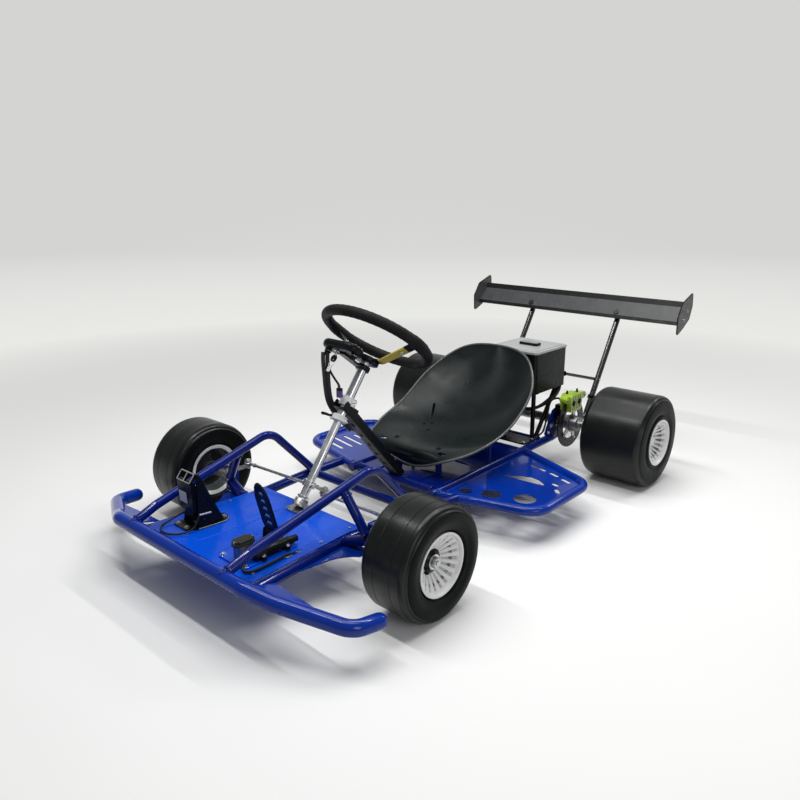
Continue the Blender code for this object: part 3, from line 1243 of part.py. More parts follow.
def build_wing():
    piece("wing_plane", wing_sheet(WING_HALF_SPAN - GAP), WING_BLACK,
          origin=(0, WHEELBASE + 0.313, 0.48))
    leaf = [(-0.108, 0.417), (-0.1105, 0.475), (-0.080, 0.519), (-0.004, 0.545), (0, 0.501),
            (-0.018, 0.460), (-0.062, 0.436)]
    outline = [(WING_TAIL_Y + y, z) for y, z in leaf]
    end = plate(outline, WING_SHEET, upright(WING_HALF_SPAN))
    sheet_cut = wing_sheet(WING_HALF_SPAN + 0.01, GAP)
    axle = Vector((0, WHEELBASE, 0))
    lower = axle + Vector((WING_STRUT_X, *WING_SECTION[1]))
    upper = axle + Vector((WING_STRUT_X, *WING_SECTION[2]))
    face = (upper - lower).cross(ACROSS).normalized()
    strut_bend = axle + Vector((WING_STRUT_X, 0.319, 0.446))
    strut_top = strut_bend + face * ((lower - strut_bend).dot(face) + WING_SHEET / 2)
    hanger_cut = box((0.0, axle.y - 0.1, 0.05), (HANGER_X + HANGER_THICKNESS / 2 + GAP, axle.y + 0.2, 0.3))
    box_face = BOX_HIGH.y + GAP
    for side, word in ((1, "left"), (-1, "right")):
        piece(f"wing_endplate_{word}", sided(end, side), WING_BLACK,
              origin=(side * WING_HALF_SPAN, WHEELBASE + 0.313, 0.48))
        foot = [axle + Vector(p) for p in ((0.172, 0.123, 0.131), (0.158, 0.045, 0.131),
                                           (0.140, 0.041, 0.131))]
        strut = swept([strut_top, strut_bend, *foot], WING_STRUT_RADIUS, 0.02, 10, 3)
        collar = cylinder(axle + Vector((0.1713, 0.1565, 0.1848)), axle + Vector((0.1711, 0.1638, 0.1965)),
                          0.0125, 12)
        near = BOX_HIGH.x - 0.006 if side > 0 else -BOX_LOW.x - 0.006
        brace = cylinder(axle + Vector((WING_STRUT_X + 0.001, 0.195, 0.246)),
                         (near, BOX_HIGH.y - 0.01, 0.285), 0.004, 8)
        box_cut = box((-0.3, BOX_LOW.y - 0.05, 0.2), (0.3, box_face, 0.4))
        piece(f"wing_strut_{word}", sided(strut, side), BLACK_METAL, add=(sided(collar, side),
                                                                        sided(brace, side)),
              cut=(sheet_cut, sided(hanger_cut, side), box_cut))


# Pedals

def build_pedals():
    build_brake_pedal()
    build_master_cylinder()
    build_throttle()
    build_brake_hose()


def build_brake_pedal():
    """Tall arched brake pedal with a row of oval holes, turning on a pin at its foot."""
    pivot = BRAKE_PIVOT
    top = Vector((BRAKE_PEDAL_X, -0.171, 0.254))
    rise = (top - pivot)
    frame = basis(pivot, ACROSS.cross(rise), ACROSS)
    half = BRAKE_PEDAL_WIDTH / 2
    length = rise.length
    foot = half - 0.004
    outline = [(-foot, 0.0), (foot, 0.0), (foot, 0.012), (half, 0.024), (half, length * 0.60)]
    outline += [(half * math.cos(a), length * 0.60 + length * 0.40 * math.sin(a))
                for a in (math.radians(20 * k) for k in range(1, 9))]
    outline += [(-half, length * 0.60), (-half, 0.024), (-foot, 0.012)]
    spine = -1 if (frame @ Vector((0, 1, 0)) - pivot).z < 0 else 1
    outline = [(x, spine * y) for x, y in outline]
    holes = [slot(0.0, spine * (0.028 + 0.0195 * k), 0.022 - 0.001 * k, 0.009, 0) for k in range(5)]
    face = plate(outline, 0.004, frame @ Matrix.Translation((0, 0, -0.002)), holes)
    barrel = cylinder((pivot.x - 0.0205, pivot.y, pivot.z), (pivot.x + 0.0205, pivot.y, pivot.z), 0.008, 16)
    pin_hole = cylinder((pivot.x - 0.05, pivot.y, pivot.z), (pivot.x + 0.05, pivot.y, pivot.z),
                        bore(PEDAL_PIN_RADIUS, 16), 16)
    piece("brake_pedal", face, BLACK_METAL, origin=pivot, add=(barrel,), cut=(pin_hole,))


def build_master_cylinder():
    """Brake base plate on the pan with the pedal's ears and pin, the cylinder and its reservoir."""
    floor = PAN_TOP + GAP
    pivot = BRAKE_PIVOT
    base = box((0.052, -0.266, floor), (0.1475, -0.120, floor + 0.003))
    parts = []
    for x in (pivot.x - 0.0208 - 0.004, pivot.x + 0.0208):
        parts.append(box((x, pivot.y - 0.008, floor + 0.001), (x + 0.004, pivot.y + 0.008,
                                                            pivot.z + 0.008)))
    parts.append(cylinder((pivot.x - 0.0235, pivot.y, pivot.z), (pivot.x + 0.0235, pivot.y, pivot.z),
                          PEDAL_PIN_RADIUS, 16))
    parts.append(cylinder((0.134, -0.228, floor + 0.015), (0.134, -0.130, floor + 0.015), 0.0125, 14))
    parts.append(box((0.128, -0.215, floor + 0.001), (0.140, -0.140, floor + 0.010)))
    tank = (0.105, -0.235)
    parts.append(plate(slot(*tank, 0.046, 0.026, 90, 5), 0.034, basis((0, 0, floor + 0.001), UP)))
    parts.append(plate(slot(*tank, 0.054, 0.032, 90, 5), 0.011, basis((0, 0, floor + 0.034), UP)))
    piece("master_cylinder", base, SILVER, add=parts)


def build_throttle():
    """Throttle base with its side plate, ear and pin, and the pedal with its windowed head."""
    floor = PAN_TOP + GAP
    pivot = THROTTLE_PIVOT
    base = plate([(-0.0776, -0.1556), (-0.0908, -0.134), (-0.118, -0.131), (-0.154, -0.190),
                  (-0.154, -0.245), (-0.104, -0.245), (-0.085, -0.224)], 0.003, basis((0, 0, floor), UP))
    near_x = -0.0912
    far_x = -0.1525
    thick = 0.004
    side_plate = [(pivot.y - 0.013, floor + 0.001), (-0.150, floor + 0.001), (-0.2105, 0.243),
                  (-0.2165, 0.243)]
    ear = [(pivot.y - 0.013, floor + 0.001), (pivot.y + 0.016, floor + 0.001),
           (pivot.y + 0.007, pivot.z + 0.010), (pivot.y - 0.007, pivot.z + 0.010)]
    parts = [plate(side_plate, thick, upright(near_x)), plate(ear, thick, upright(far_x))]
    parts.append(cylinder((far_x + thick / 2, pivot.y, pivot.z), (near_x + thick / 2, pivot.y, pivot.z),
                          PEDAL_PIN_RADIUS, 16))
    piece("throttle_base", base, BLACK_METAL, add=parts)
    body_half = 0.0275
    arm_half = 0.018
    body = plate([(-0.226, 0.150), (-0.231, 0.223), (-0.219, 0.225), (-0.214, 0.150)],
                 2 * body_half, upright(THROTTLE_X - body_half))
    arm = plate([(-0.226, 0.153), (-0.214, 0.153), (-0.199, 0.128), (-0.211, 0.122)],
                2 * arm_half, upright(THROTTLE_X - arm_half))
    windows = []
    for x in (-0.0130, 0.0130):
        windows.append([(x - 0.0110, -0.0100), (x + 0.0110, -0.0100), (x + 0.0110, 0.0100),
                        (x - 0.0110, 0.0100)])
    head_frame = basis((THROTTLE_X, -0.222, 0.232), (0, -0.78, 0.62), ACROSS)
    head = plate([(-0.028, -0.014), (0.028, -0.014), (0.028, 0.014), (-0.028, 0.014)],
                 0.006, head_frame @ Matrix.Translation((0, 0, -0.003)), windows)
    near_end = near_x - 0.0003
    far_end = far_x + thick + 0.0003
    barrel = cylinder((far_end, pivot.y, pivot.z), (near_end, pivot.y, pivot.z), 0.009, 16)
    pin_hole = cylinder((pivot.x - 0.05, pivot.y, pivot.z), (pivot.x + 0.05, pivot.y, pivot.z),
                        bore(PEDAL_PIN_RADIUS, 16), 16)
    piece("throttle_pedal", body, BLACK_METAL, origin=pivot, add=(arm, head, barrel), cut=(pin_hole,))


def build_brake_hose():
    """Brake hose from the master cylinder through the pan and under the left rail to the caliper."""
    route = [(0.1340, -0.2286, 0.1253), (0.1345, -0.2450, 0.1253), (0.1400, -0.2620, 0.1205),
             (0.1530, -0.2720, 0.1155), (0.1650, -0.2660, 0.1141), (0.1690, -0.2450, 0.1141),
             (0.1680, -0.2050, 0.1150), (0.1650, -0.1750, 0.1150), (0.1625, -0.1500, 0.1095),
             (0.1640, -0.1250, 0.1010), (0.1660, -0.0950, 0.0965), (0.1630, -0.0400, 0.0960),
             (0.1612, 0.0000, 0.0960), (0.1655, 0.0400, 0.0960), (0.1754, 0.1400, 0.0950),
             (0.1780, 0.1900, 0.0870), (0.1760, FRONT_CROSS_Y, 0.0775), (0.1720, 0.2600, 0.0780),
             (0.1500, 0.3200, 0.0740), (0.1400, SEAT_CROSS_Y, 0.0730), (0.1345, 0.4000, 0.0800),
             (0.1315, 0.4500, 0.0840), (0.1285, 0.6400, 0.0840), (0.1255, 0.8000, 0.0840),
             (0.1245, REAR_CROSS_Y - 0.050, 0.0890), (0.1270, REAR_CROSS_Y, 0.1062)]
    riser = [(0.1270, -0.067, 0.1180), (0.1270, -0.047, 0.1700), (0.1300, -0.039, 0.2080),
             (0.1450, -0.027, 0.2200), (DISC_X - 0.0207, -0.027, 0.2200)]
    route += [(x, WHEELBASE + y, z) for x, y, z in riser]
    hose = swept(smooth_curve(route, 0.034), 0.003, 0, 6)
    piece("brake_hose", hose, CABLE)


def build_kart():
    global KART
    for obj in list(bpy.data.objects):
        bpy.data.objects.remove(obj, do_unlink=True)
    KART = bpy.data.objects.new("kart", None)
    bpy.context.collection.objects.link(KART)
    KART.location = (0, SHIFT_Y, 0)
    build_chassis()
    build_steering()
    build_wheels()
    build_drive()
    build_seat()
    build_wing()
    build_pedals()


build_kart()
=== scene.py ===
"""Looks of the electric go-kart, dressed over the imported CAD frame.

Metres, +Z up, the kart faces -Y and +X is the driver's left. Shapes are written in kart
coordinates, where y = 0 is the front axle, and shifted onto the frame when a piece is made.
"""
import json
import math

import bmesh
import bpy
from mathutils import Matrix, Vector

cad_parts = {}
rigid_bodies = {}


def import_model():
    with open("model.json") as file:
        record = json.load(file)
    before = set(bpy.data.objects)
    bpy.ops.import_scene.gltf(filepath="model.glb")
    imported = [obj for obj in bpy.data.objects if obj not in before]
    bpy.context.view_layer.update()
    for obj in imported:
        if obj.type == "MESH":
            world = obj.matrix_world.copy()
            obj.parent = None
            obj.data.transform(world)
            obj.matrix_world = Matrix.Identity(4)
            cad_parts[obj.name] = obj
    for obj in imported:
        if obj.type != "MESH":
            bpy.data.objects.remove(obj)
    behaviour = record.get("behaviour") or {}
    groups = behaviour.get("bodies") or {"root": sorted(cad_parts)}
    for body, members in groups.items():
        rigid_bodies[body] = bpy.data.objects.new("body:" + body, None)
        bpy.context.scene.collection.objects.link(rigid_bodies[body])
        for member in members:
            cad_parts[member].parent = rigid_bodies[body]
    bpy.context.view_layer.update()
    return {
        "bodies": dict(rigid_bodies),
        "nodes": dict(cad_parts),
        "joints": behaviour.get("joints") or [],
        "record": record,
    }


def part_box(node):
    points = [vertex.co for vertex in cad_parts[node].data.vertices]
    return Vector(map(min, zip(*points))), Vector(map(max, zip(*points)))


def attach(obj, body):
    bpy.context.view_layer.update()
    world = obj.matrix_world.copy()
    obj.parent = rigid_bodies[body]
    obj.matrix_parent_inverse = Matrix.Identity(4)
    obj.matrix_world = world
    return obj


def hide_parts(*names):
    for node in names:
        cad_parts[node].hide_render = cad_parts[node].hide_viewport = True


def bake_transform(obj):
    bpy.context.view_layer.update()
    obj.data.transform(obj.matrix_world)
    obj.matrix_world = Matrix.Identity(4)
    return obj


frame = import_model()

UP = Vector((0, 0, 1))
ACROSS = Vector((1, 0, 0))
REARWARD = Vector((0, 1, 0))
SIDES = ((1, "left"), (-1, "right"))

# Stance
WHEELBASE = 0.997
FRONT_TRACK = 0.799
REAR_TRACK = 0.768
FRONT_TYRE_RADIUS = 0.127
REAR_TYRE_RADIUS = 0.14
axle_low, axle_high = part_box("rear_axle")
SHIFT = Vector((0, (axle_low.y + axle_high.y) / 2 - WHEELBASE, 0))

# Chassis tubes
BUMPER_RADIUS = 0.01685
BUMPER_Y = -0.332
BUMPER_Z = 0.13
RAIL_RADIUS = 0.0125
HOOP_RADIUS = 0.011
FRONT_RAIL_Z = 0.0947
REAR_RAIL_Z = 0.09
POD_Z = 0.088
FRONT_CROSS_Y = 0.222
SEAT_CROSS_Y = 0.352
REAR_CROSS_Y = 0.9
REAR_RAIL_X = 0.15
REAR_RAIL_TAIL_X = 0.14
REAR_RAIL_END_Y = 0.955
HOOP_TOP_Z = 0.252
BEND = 0.06
PAN_TOP = 0.11
PAN_THICKNESS = 0.0025
KINGPIN_X = 0.275
HANGER_X = 0.14

# Steering column
COLUMN_FOOT = Vector((0, 0.01, 0.125))
WHEEL_CENTRE = Vector((0, 0.286, 0.498))
COLUMN = (WHEEL_CENTRE - COLUMN_FOOT).normalized()
COLUMN_REAR = Vector((0, COLUMN.z, -COLUMN.y))
PITMAN_BELOW = 0.4121
CLAMP_BELOW = 0.2326
COLLAR_BELOW = 0.1816
WHEEL_RING_RADIUS = 0.142
WHEEL_GRIP_RADIUS = 0.014
WHEEL_DISH = 0.065
STEERING_ARM_LENGTH = 0.06

# Rear axle, drive and brake
SPROCKET_X = -0.177
DISC_X = 0.185
DISC_RADIUS = 0.08
MOTOR_Y = 0.83
MOTOR_Z = 0.165
BOX_LOW = Vector((-0.046, 0.857, 0.25))
BOX_HIGH = Vector((0.13, 1.045, 0.377))

# Rear wing
WING_HALF_SPAN = 0.4
WING_STRUT_X = 0.17

# Pedals
BRAKE_PIVOT = Vector((0.08, -0.138, 0.128))
THROTTLE_PIVOT = Vector((-0.1197, -0.206, 0.128))


# Solids are (points, faces) pairs in kart coordinates

def basis(origin, z_axis, x_hint=ACROSS):
    """Matrix of a local frame with its Z along z_axis and its X near x_hint."""
    z = Vector(z_axis).normalized()
    x = x_hint - z * x_hint.dot(z)
    if x.length < 0.01:
        x = REARWARD - z * REARWARD.dot(z)
    x.normalize()
    matrix = Matrix((x, z.cross(x), z)).transposed().to_4x4()
    matrix.translation = Vector(origin)
    return matrix


def at_height(z):
    """Level frame at a height."""
    return basis((0, 0, z), UP)


def raised(matrix, height):
    """The frame moved along its own Z."""
    return matrix @ Matrix.Translation((0, 0, height))


def moved(solid, matrix):
    return [matrix @ Vector(p) for p in solid[0]], solid[1]


def sided(solid, side):
    """The solid as written on the +X side, or its mirror image for side = -1."""
    if side > 0:
        return solid
    points, faces = solid
    return [Vector((-p[0], p[1], p[2])) for p in points], [tuple(reversed(f)) for f in faces]


def rectangle(low_x, low_y, high_x, high_y):
    return [(low_x, low_y), (high_x, low_y), (high_x, high_y), (low_x, high_y)]


def block(low, high):
    corners = [Vector((x, y, z)) for z in (low[2], high[2]) for y in (low[1], high[1])
               for x in (low[0], high[0])]
    return corners, [(0, 2, 3, 1), (4, 5, 7, 6), (0, 1, 5, 4), (2, 6, 7, 3), (0, 4, 6, 2), (1, 3, 7, 5)]


def lathe(profile, origin, axis, sides=48, reach=None):
    """Turned solid. The profile is a run of (radius, height) from axis to axis, or a closed loop.
    reach(index, angle) may move a point of the profile outwards and along the axis."""
    matrix = basis(origin, axis)
    points = []
    rings = []
    for index, (radius, height) in enumerate(profile):
        if radius == 0:
            rings.append([len(points)] * sides)
            points.append(matrix @ Vector((0, 0, height)))
            continue
        ring = []
        for k in range(sides):
            angle = 2 * math.pi * k / sides
            out, up = reach(index, angle) if reach else (0, 0)
            ring.append(len(points))
            points.append(matrix @ Vector(((radius + out) * math.cos(angle),
                                           (radius + out) * math.sin(angle), height + up)))
        rings.append(ring)
    pairs = list(zip(rings, rings[1:]))
    if profile[0][0] != 0:
        pairs.append((rings[-1], rings[0]))
    faces = []
    for lower, upper in pairs:
        for k in range(sides):
            n = (k + 1) % sides
            corners = list(dict.fromkeys((lower[k], lower[n], upper[n], upper[k])))
            if len(corners) > 2:
                faces.append(tuple(corners))
    return points, faces


def bar(start, end, radius, sides=24, chamfer=0.0):
    """Round bar between two points, with chamfered ends."""
    start = Vector(start)
    end = Vector(end)
    length = (end - start).length
    profile = [(0, 0), (radius - chamfer, 0), (radius, chamfer), (radius, length - chamfer),
               (radius - chamfer, length), (0, length)]
    if not chamfer:
        profile = rectangle(0, 0, radius, length)
    return lathe(profile, start, end - start, sides)


def sleeve(start, end, inner, outer, sides=32, chamfer=0.0008):
    """Tube with a bore between two points."""
    start = Vector(start)
    end = Vector(end)
    length = (end - start).length
    profile = [(inner, 0), (outer - chamfer, 0), (outer, chamfer), (outer, length - chamfer),
               (outer - chamfer, length), (inner, length)]
    return lathe(profile, start, end - start, sides)


def round_section(ring, thickness, around):
    """Closed profile of a ring with a round section."""
    angles = [2 * math.pi * j / around for j in range(around)]
    return [(ring + thickness * math.cos(a), thickness * math.sin(a)) for a in angles]


def torus(centre, axis, ring, thickness, sides=40, around=12):
    return lathe(round_section(ring, thickness, around), centre, axis, sides)


def plate(outline, thickness, matrix, holes=()):
    """Flat plate with its outline and holes in the XY plane of a frame, from 0 to thickness."""
    bm = bmesh.new()
    edges = []
    for loop in (outline, *holes):
        corners = [bm.verts.new((x, y, 0)) for x, y in loop]
        edges += [bm.edges.new((a, b)) for a, b in zip(corners, corners[1:] + corners[:1])]
    bmesh.ops.triangle_fill(bm, use_beauty=True, use_dissolve=False, edges=edges)
    extruded = bmesh.ops.extrude_face_region(bm, geom=bm.faces[:])
    tops = [item for item in extruded["geom"] if isinstance(item, bmesh.types.BMVert)]
    bmesh.ops.translate(bm, vec=(0, 0, thickness), verts=tops)
    bm.verts.index_update()
    points = [matrix @ v.co for v in bm.verts]
    faces = [tuple(v.index for v in face.verts) for face in bm.faces]
    bm.free()
    return points, faces


def rounded(points, radius, steps=8, closed=False):
    """Polyline with each inner corner replaced by an arc."""
    points = [Vector(p) for p in points]
    if closed:
        ring = [points[-1]] + points + [points[0]]
        return rounded(ring, radius, steps)[1:-1]
    path = [points[0]]
    for before, corner, after in zip(points, points[1:], points[2:]):
        inward = (before - corner).normalized()
        outward = (after - corner).normalized()
        half = inward.angle(outward) / 2
        if half > math.radians(88):
            path.append(corner)
            continue
        reach = min(radius / math.tan(half), (before - corner).length * 0.48,
                    (after - corner).length * 0.48)
        bend = reach * math.tan(half)
        centre = corner + (inward + outward).normalized() * bend / math.sin(half)
        first = (corner + inward * reach - centre).normalized()
        last = (corner + outward * reach - centre).normalized()
        for k in range(steps + 1):
            path.append(centre + first.slerp(last, k / steps) * bend)
    path.append(points[-1])
    return path


def rounded_outline(corners, radius, steps=4):
    """Closed 2-D outline with rounded corners."""
    path = rounded([Vector((x, y, 0)) for x, y in corners], radius, steps, closed=True)
    return [(p.x, p.y) for p in path]


def on_curve(p0, p1, p2, p3, t):
    """Point of a Catmull-Rom curve at a share of the way from p1 to p2."""
    return 0.5 * (2 * p1 + (p2 - p0) * t + (2 * p0 - 5 * p1 + 4 * p2 - p3) * t * t
                  + (3 * p1 - p0 - 3 * p2 + p3) * t ** 3)


def smooth_curve(points, step, closed=False):
    """Points of a Catmull-Rom curve through the given points, about one step apart."""
    points = [Vector(p) for p in points]
    count = len(points)
    path = []
    for k in range(count if closed else count - 1):
        around = range(k - 1, k + 3)
        span = [points[j % count if closed else min(max(j, 0), count - 1)] for j in around]
        pieces = max(1, round((span[2] - span[1]).length / step))
        path += [on_curve(*span, j / pieces) for j in range(pieces)]
    if not closed:
        path.append(points[-1])
    return path


def swept(path, radius, sides=24, closed=False, round_ends=False):
    """Round tube along a path; radius is a number or a function of the share of its length."""
    path = [Vector(p) for p in path]
    count = len(path)
    tangents = []
    for k in range(count):
        before = path[(k - 1) % count] if closed else path[max(k - 1, 0)]
        after = path[(k + 1) % count] if closed else path[min(k + 1, count - 1)]
        tangents.append((after - before).normalized())
    normal = UP - tangents[0] * UP.dot(tangents[0])
    if normal.length < 0.1:
        normal = REARWARD - tangents[0] * REARWARD.dot(tangents[0])
    sections = [(k, 0.0, 1.0) for k in range(count)]
    if round_ends:
        dome = [(math.sin(a), math.cos(a)) for a in (math.radians(18 * j) for j in range(1, 5))]
        sections = ([(0, -s, c) for s, c in dome[::-1]] + sections
                    + [(count - 1, s, c) for s, c in dome])
    verts = []
    faces = []
    last = 0
    normal.normalize()
    for k, ahead, shrink in sections:
        tangent = tangents[k]
        if k != last:
            normal = tangents[last].rotation_difference(tangent) @ normal
            last = k
        normal = (normal - tangent * normal.dot(tangent)).normalized()
        side = tangent.cross(normal)
        size = radius(k / (count - 1)) if callable(radius) else radius
        for j in range(sides):
            angle = 2 * math.pi * j / sides
            verts.append(path[k] + tangent * ahead * size
                         + (normal * math.cos(angle) + side * math.sin(angle)) * size * shrink)
    rows = len(sections)
    for k in range(rows if closed else rows - 1):
        below = k * sides
        above = (k + 1) % rows * sides
        for j in range(sides):
            n = (j + 1) % sides
            faces.append((below + j, below + n, above + n, above + j))
    if not closed:
        faces.append(tuple(range(sides - 1, -1, -1)))
        faces.append(tuple(range((rows - 1) * sides, rows * sides)))
    return verts, faces


def tube(points, radius, bend=BEND, **options):
    return swept(rounded(points, bend), radius, **options)


def circle(x, y, radius, sides=24):
    angles = [2 * math.pi * k / sides for k in range(sides)]
    return [(x + radius * math.cos(a), y + radius * math.sin(a)) for a in angles]


def slot(x, y, length, width, angle, end_sides=6):
    """Outline of a slot with round ends, turned by an angle in degrees."""
    turn = math.radians(angle)
    half = length / 2 - width / 2
    outline = []
    for end in (1, -1):
        for k in range(end_sides + 1):
            a = math.pi * (k / end_sides - 0.5)
            px = end * (half + width / 2 * math.cos(a))
            py = end * width / 2 * math.sin(a)
            outline.append((x + px * math.cos(turn) - py * math.sin(turn),
                            y + px * math.sin(turn) + py * math.cos(turn)))
    return outline


def weld(centre, axis, radius, bead=0.0022, seed=0):
    """Bead of weld metal round a tube where it meets another."""
    def ripple(index, angle):
        return bead * 0.25 * math.sin(angle * 14 + seed), bead * 0.2 * math.cos(angle * 17 + seed)

    return lathe(round_section(radius, bead, 8), centre, axis, 56, ripple)


def hex_bolt(spot, axis, size, height=None, washer=True):
    """Hexagon head with its washer, seated at spot and rising along axis."""
    height = height or size * 0.62
    base = size * 0.14 if washer else 0.0
    solids = [lathe([(0, base), (size * 0.9, base), (size, base + size * 0.08),
                     (size, base + height - size * 0.12), (size * 0.88, base + height),
                     (0, base + height)], spot, axis, 6)]
    if washer:
        solids.append(lathe([(0, 0), (size * 1.35, 0), (size * 1.4, base * 0.5),
                             (size * 1.35, base), (0, base)], spot, axis, 28))
    return solids


def cap_bolt(spot, axis, size, height=None):
    """Socket head cap screw with its recess."""
    height = height or size * 0.9
    recess = size * 0.52
    return [lathe([(0, height * 0.45), (recess, height * 0.45), (recess, height),
                   (size * 0.9, height), (size, height * 0.88), (size, 0), (0, 0)], spot, axis, 24)]


def upright(x, y=0.0, z=0.0):
    """Frame whose XY plane is the kart's YZ plane at a given x, with its Z across."""
    return Matrix(((0, 0, 1, x), (1, 0, 0, y), (0, 1, 0, z), (0, 0, 0, 1)))


class Piece:
    """A mesh in the making, in kart coordinates, with a material for each group of faces."""

    def __init__(self, name):
        self.name = name
        self.points = []
        self.faces = []
        self.indices = []
        self.looks = []

    def number(self, look):
        if look not in self.looks:
            self.looks.append(look)
        return self.looks.index(look)

    def add(self, look, *solids, side=1, at=None):
        """Adds solids in one material, written in a frame or for the +X side where one is named."""
        index = self.number(look)
        for solid in solids:
            points, faces = sided(moved(solid, at) if at else solid, side)
            base = len(self.points)
            self.points += points
            self.faces += [tuple(base + i for i in face) for face in faces]
            self.indices += [index] * len(faces)

    def repaint(self, look, faces):
        """Gives another material to faces, counted from the start of the piece."""
        index = self.number(look)
        for face in faces:
            self.indices[face] = index

    def make(self, body, replaces=(), bevel=0.0, sharp=32, cuts=()):
        """Turns the collected solids into an object, which rides on the body if one is named."""
        bm = bmesh.new()
        verts = [bm.verts.new(Vector(p) + SHIFT) for p in self.points]
        for face, index in zip(self.faces, self.indices):
            made = bm.faces.new([verts[i] for i in face])
            made.material_index = index
        obj = placed(self.name, finished(bm, self.name))
        for look in self.looks:
            obj.data.materials.append(look)
        if cuts:
            cut_through(obj, cuts)
        obj.data.shade_smooth()
        obj.data.set_sharp_from_angle(angle=math.radians(sharp))
        if bevel:
            change = obj.modifiers.new("edges", "BEVEL")
            change.width = bevel
            change.segments = 2
            change.limit_method = "ANGLE"
            change.angle_limit = math.radians(sharp)
            change.harden_normals = True
        if body:
            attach(obj, body)
        if replaces:
            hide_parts(*replaces)
        return obj


def finished(bm, name):
    """Mesh made from a bmesh whose faces all look outwards."""
    bmesh.ops.recalc_face_normals(bm, faces=bm.faces[:])
    mesh = bpy.data.meshes.new(name)
    bm.to_mesh(mesh)
    bm.free()
    return mesh


def placed(name, data):
    """New object of a mesh, lamp or camera, linked into the scene."""
    obj = bpy.data.objects.new(name, data)
    bpy.context.collection.objects.link(obj)
    return obj


def cut_through(obj, solids):
    """Cuts solids out of an object's mesh for good."""
    bm = bmesh.new()
    for points, faces in solids:
        verts = [bm.verts.new(Vector(p) + SHIFT) for p in points]
        for face in faces:
            bm.faces.new([verts[i] for i in face])
    tool = placed("cutter", finished(bm, "cutter"))
    change = obj.modifiers.new("cut", "BOOLEAN")
    change.operation = "DIFFERENCE"
    change.solver = "EXACT"
    change.use_self = True
    change.object = tool
    bpy.context.view_layer.update()
    shaped = obj.evaluated_get(bpy.context.evaluated_depsgraph_get())
    mesh = bpy.data.meshes.new_from_object(shaped)
    obj.modifiers.clear()
    obj.data = mesh
    bpy.data.objects.remove(tool, do_unlink=True)


# Materials

class Look:
    """A procedural material under construction: one Principled shader and its texture nodes."""

    def __init__(self, name, colour, roughness, metallic=0.0, coat=0.0, specular=0.5):
        self.material = bpy.data.materials.new(name)
        self.material.use_nodes = True
        self.tree = self.material.node_tree
        self.shader = self.tree.nodes["Principled BSDF"]
        self.colour = (*colour, 1)
        self.set("Base Color", self.colour)
        self.set("Roughness", roughness)
        self.set("Metallic", metallic)
        self.set("Specular IOR Level", specular)
        if coat:
            self.set("Coat Weight", coat)
            self.set("Coat Roughness", 0.05)
        self.place = self.node("ShaderNodeTexCoord").outputs["Object"]
        self.height = None

    def set(self, socket, value):
        self.shader.inputs[socket].default_value = value

    def node(self, kind, **settings):
        made = self.tree.nodes.new(kind)
        for key, value in settings.items():
            setattr(made, key, value)
        return made

    def link(self, output, target):
        self.tree.links.new(output, target)

    def stretched(self, scale):
        mapping = self.node("ShaderNodeMapping")
        mapping.inputs["Scale"].default_value = scale
        self.link(self.place, mapping.inputs["Vector"])
        return mapping.outputs["Vector"]

    def noise(self, scale, detail=5.0, stretch=(1, 1, 1), roughness=0.55):
        made = self.node("ShaderNodeTexNoise")
        made.inputs["Scale"].default_value = scale
        made.inputs["Detail"].default_value = detail
        made.inputs["Roughness"].default_value = roughness
        self.link(self.stretched(stretch), made.inputs["Vector"])
        return made.outputs["Fac"]

    def cells(self, scale):
        made = self.node("ShaderNodeTexVoronoi")
        made.inputs["Scale"].default_value = scale
        self.link(self.place, made.inputs["Vector"])
        return made.outputs["Distance"]

    def spread(self, value, low, high, from_low=0.3, from_high=0.7):
        made = self.node("ShaderNodeMapRange")
        made.inputs["From Min"].default_value = from_low
        made.inputs["From Max"].default_value = from_high
        made.inputs["To Min"].default_value = low
        made.inputs["To Max"].default_value = high
        self.link(value, made.inputs["Value"])
        return made.outputs["Result"]

    def tint(self, value, other, low=0.0, high=1.0, from_low=0.35, from_high=0.7):
        """Shades the base colour towards another one where a value is high."""
        share = self.spread(value, low, high, from_low, from_high)
        made = self.node("ShaderNodeMix", data_type="RGBA")
        self.link(share, made.inputs[0])
        base = self.shader.inputs["Base Color"]
        if base.is_linked:
            self.link(base.links[0].from_socket, made.inputs[6])
        else:
            made.inputs[6].default_value = self.colour
        made.inputs[7].default_value = (*other, 1)
        self.link(made.outputs[2], base)

    def gloss(self, value, low, high, from_low=0.3, from_high=0.7):
        self.link(self.spread(value, low, high, from_low, from_high), self.shader.inputs["Roughness"])

    def bump(self, value, depth):
        """Raises the surface by a height in metres where a value is 1."""
        made = self.node("ShaderNodeBump")
        made.inputs["Distance"].default_value = depth
        made.inputs["Strength"].default_value = 1.0
        self.link(value, made.inputs["Height"])
        normal = self.shader.inputs["Normal"]
        if normal.is_linked:
            self.link(normal.links[0].from_socket, made.inputs["Normal"])
        self.link(made.outputs["Normal"], normal)


def painted(name, colour, dark, roughness=0.16, coat=0.9, specular=0.5, metallic=0.0):
    """Glossy sprayed paint: a faint orange peel, cloudy depth and a little dust."""
    look = Look(name, colour, roughness, metallic, coat, specular)
    look.tint(look.noise(9, 3), dark, 0.0, 0.55)
    look.gloss(look.noise(30, 4), roughness * 0.7, roughness * 1.7)
    look.bump(look.noise(420, 2), 0.00009)
    return look.material


def satin(name, colour, other, roughness=0.42, grain=900, depth=0.00006, metallic=0.0, specular=0.5):
    """Powder coat or moulded plastic: fine grain, uneven sheen."""
    look = Look(name, colour, roughness, metallic, specular=specular)
    look.tint(look.noise(22, 6), other, 0.0, 0.8)
    look.gloss(look.noise(70, 5), roughness * 0.8, roughness * 1.25)
    look.bump(look.noise(grain, 2), depth)
    return look.material


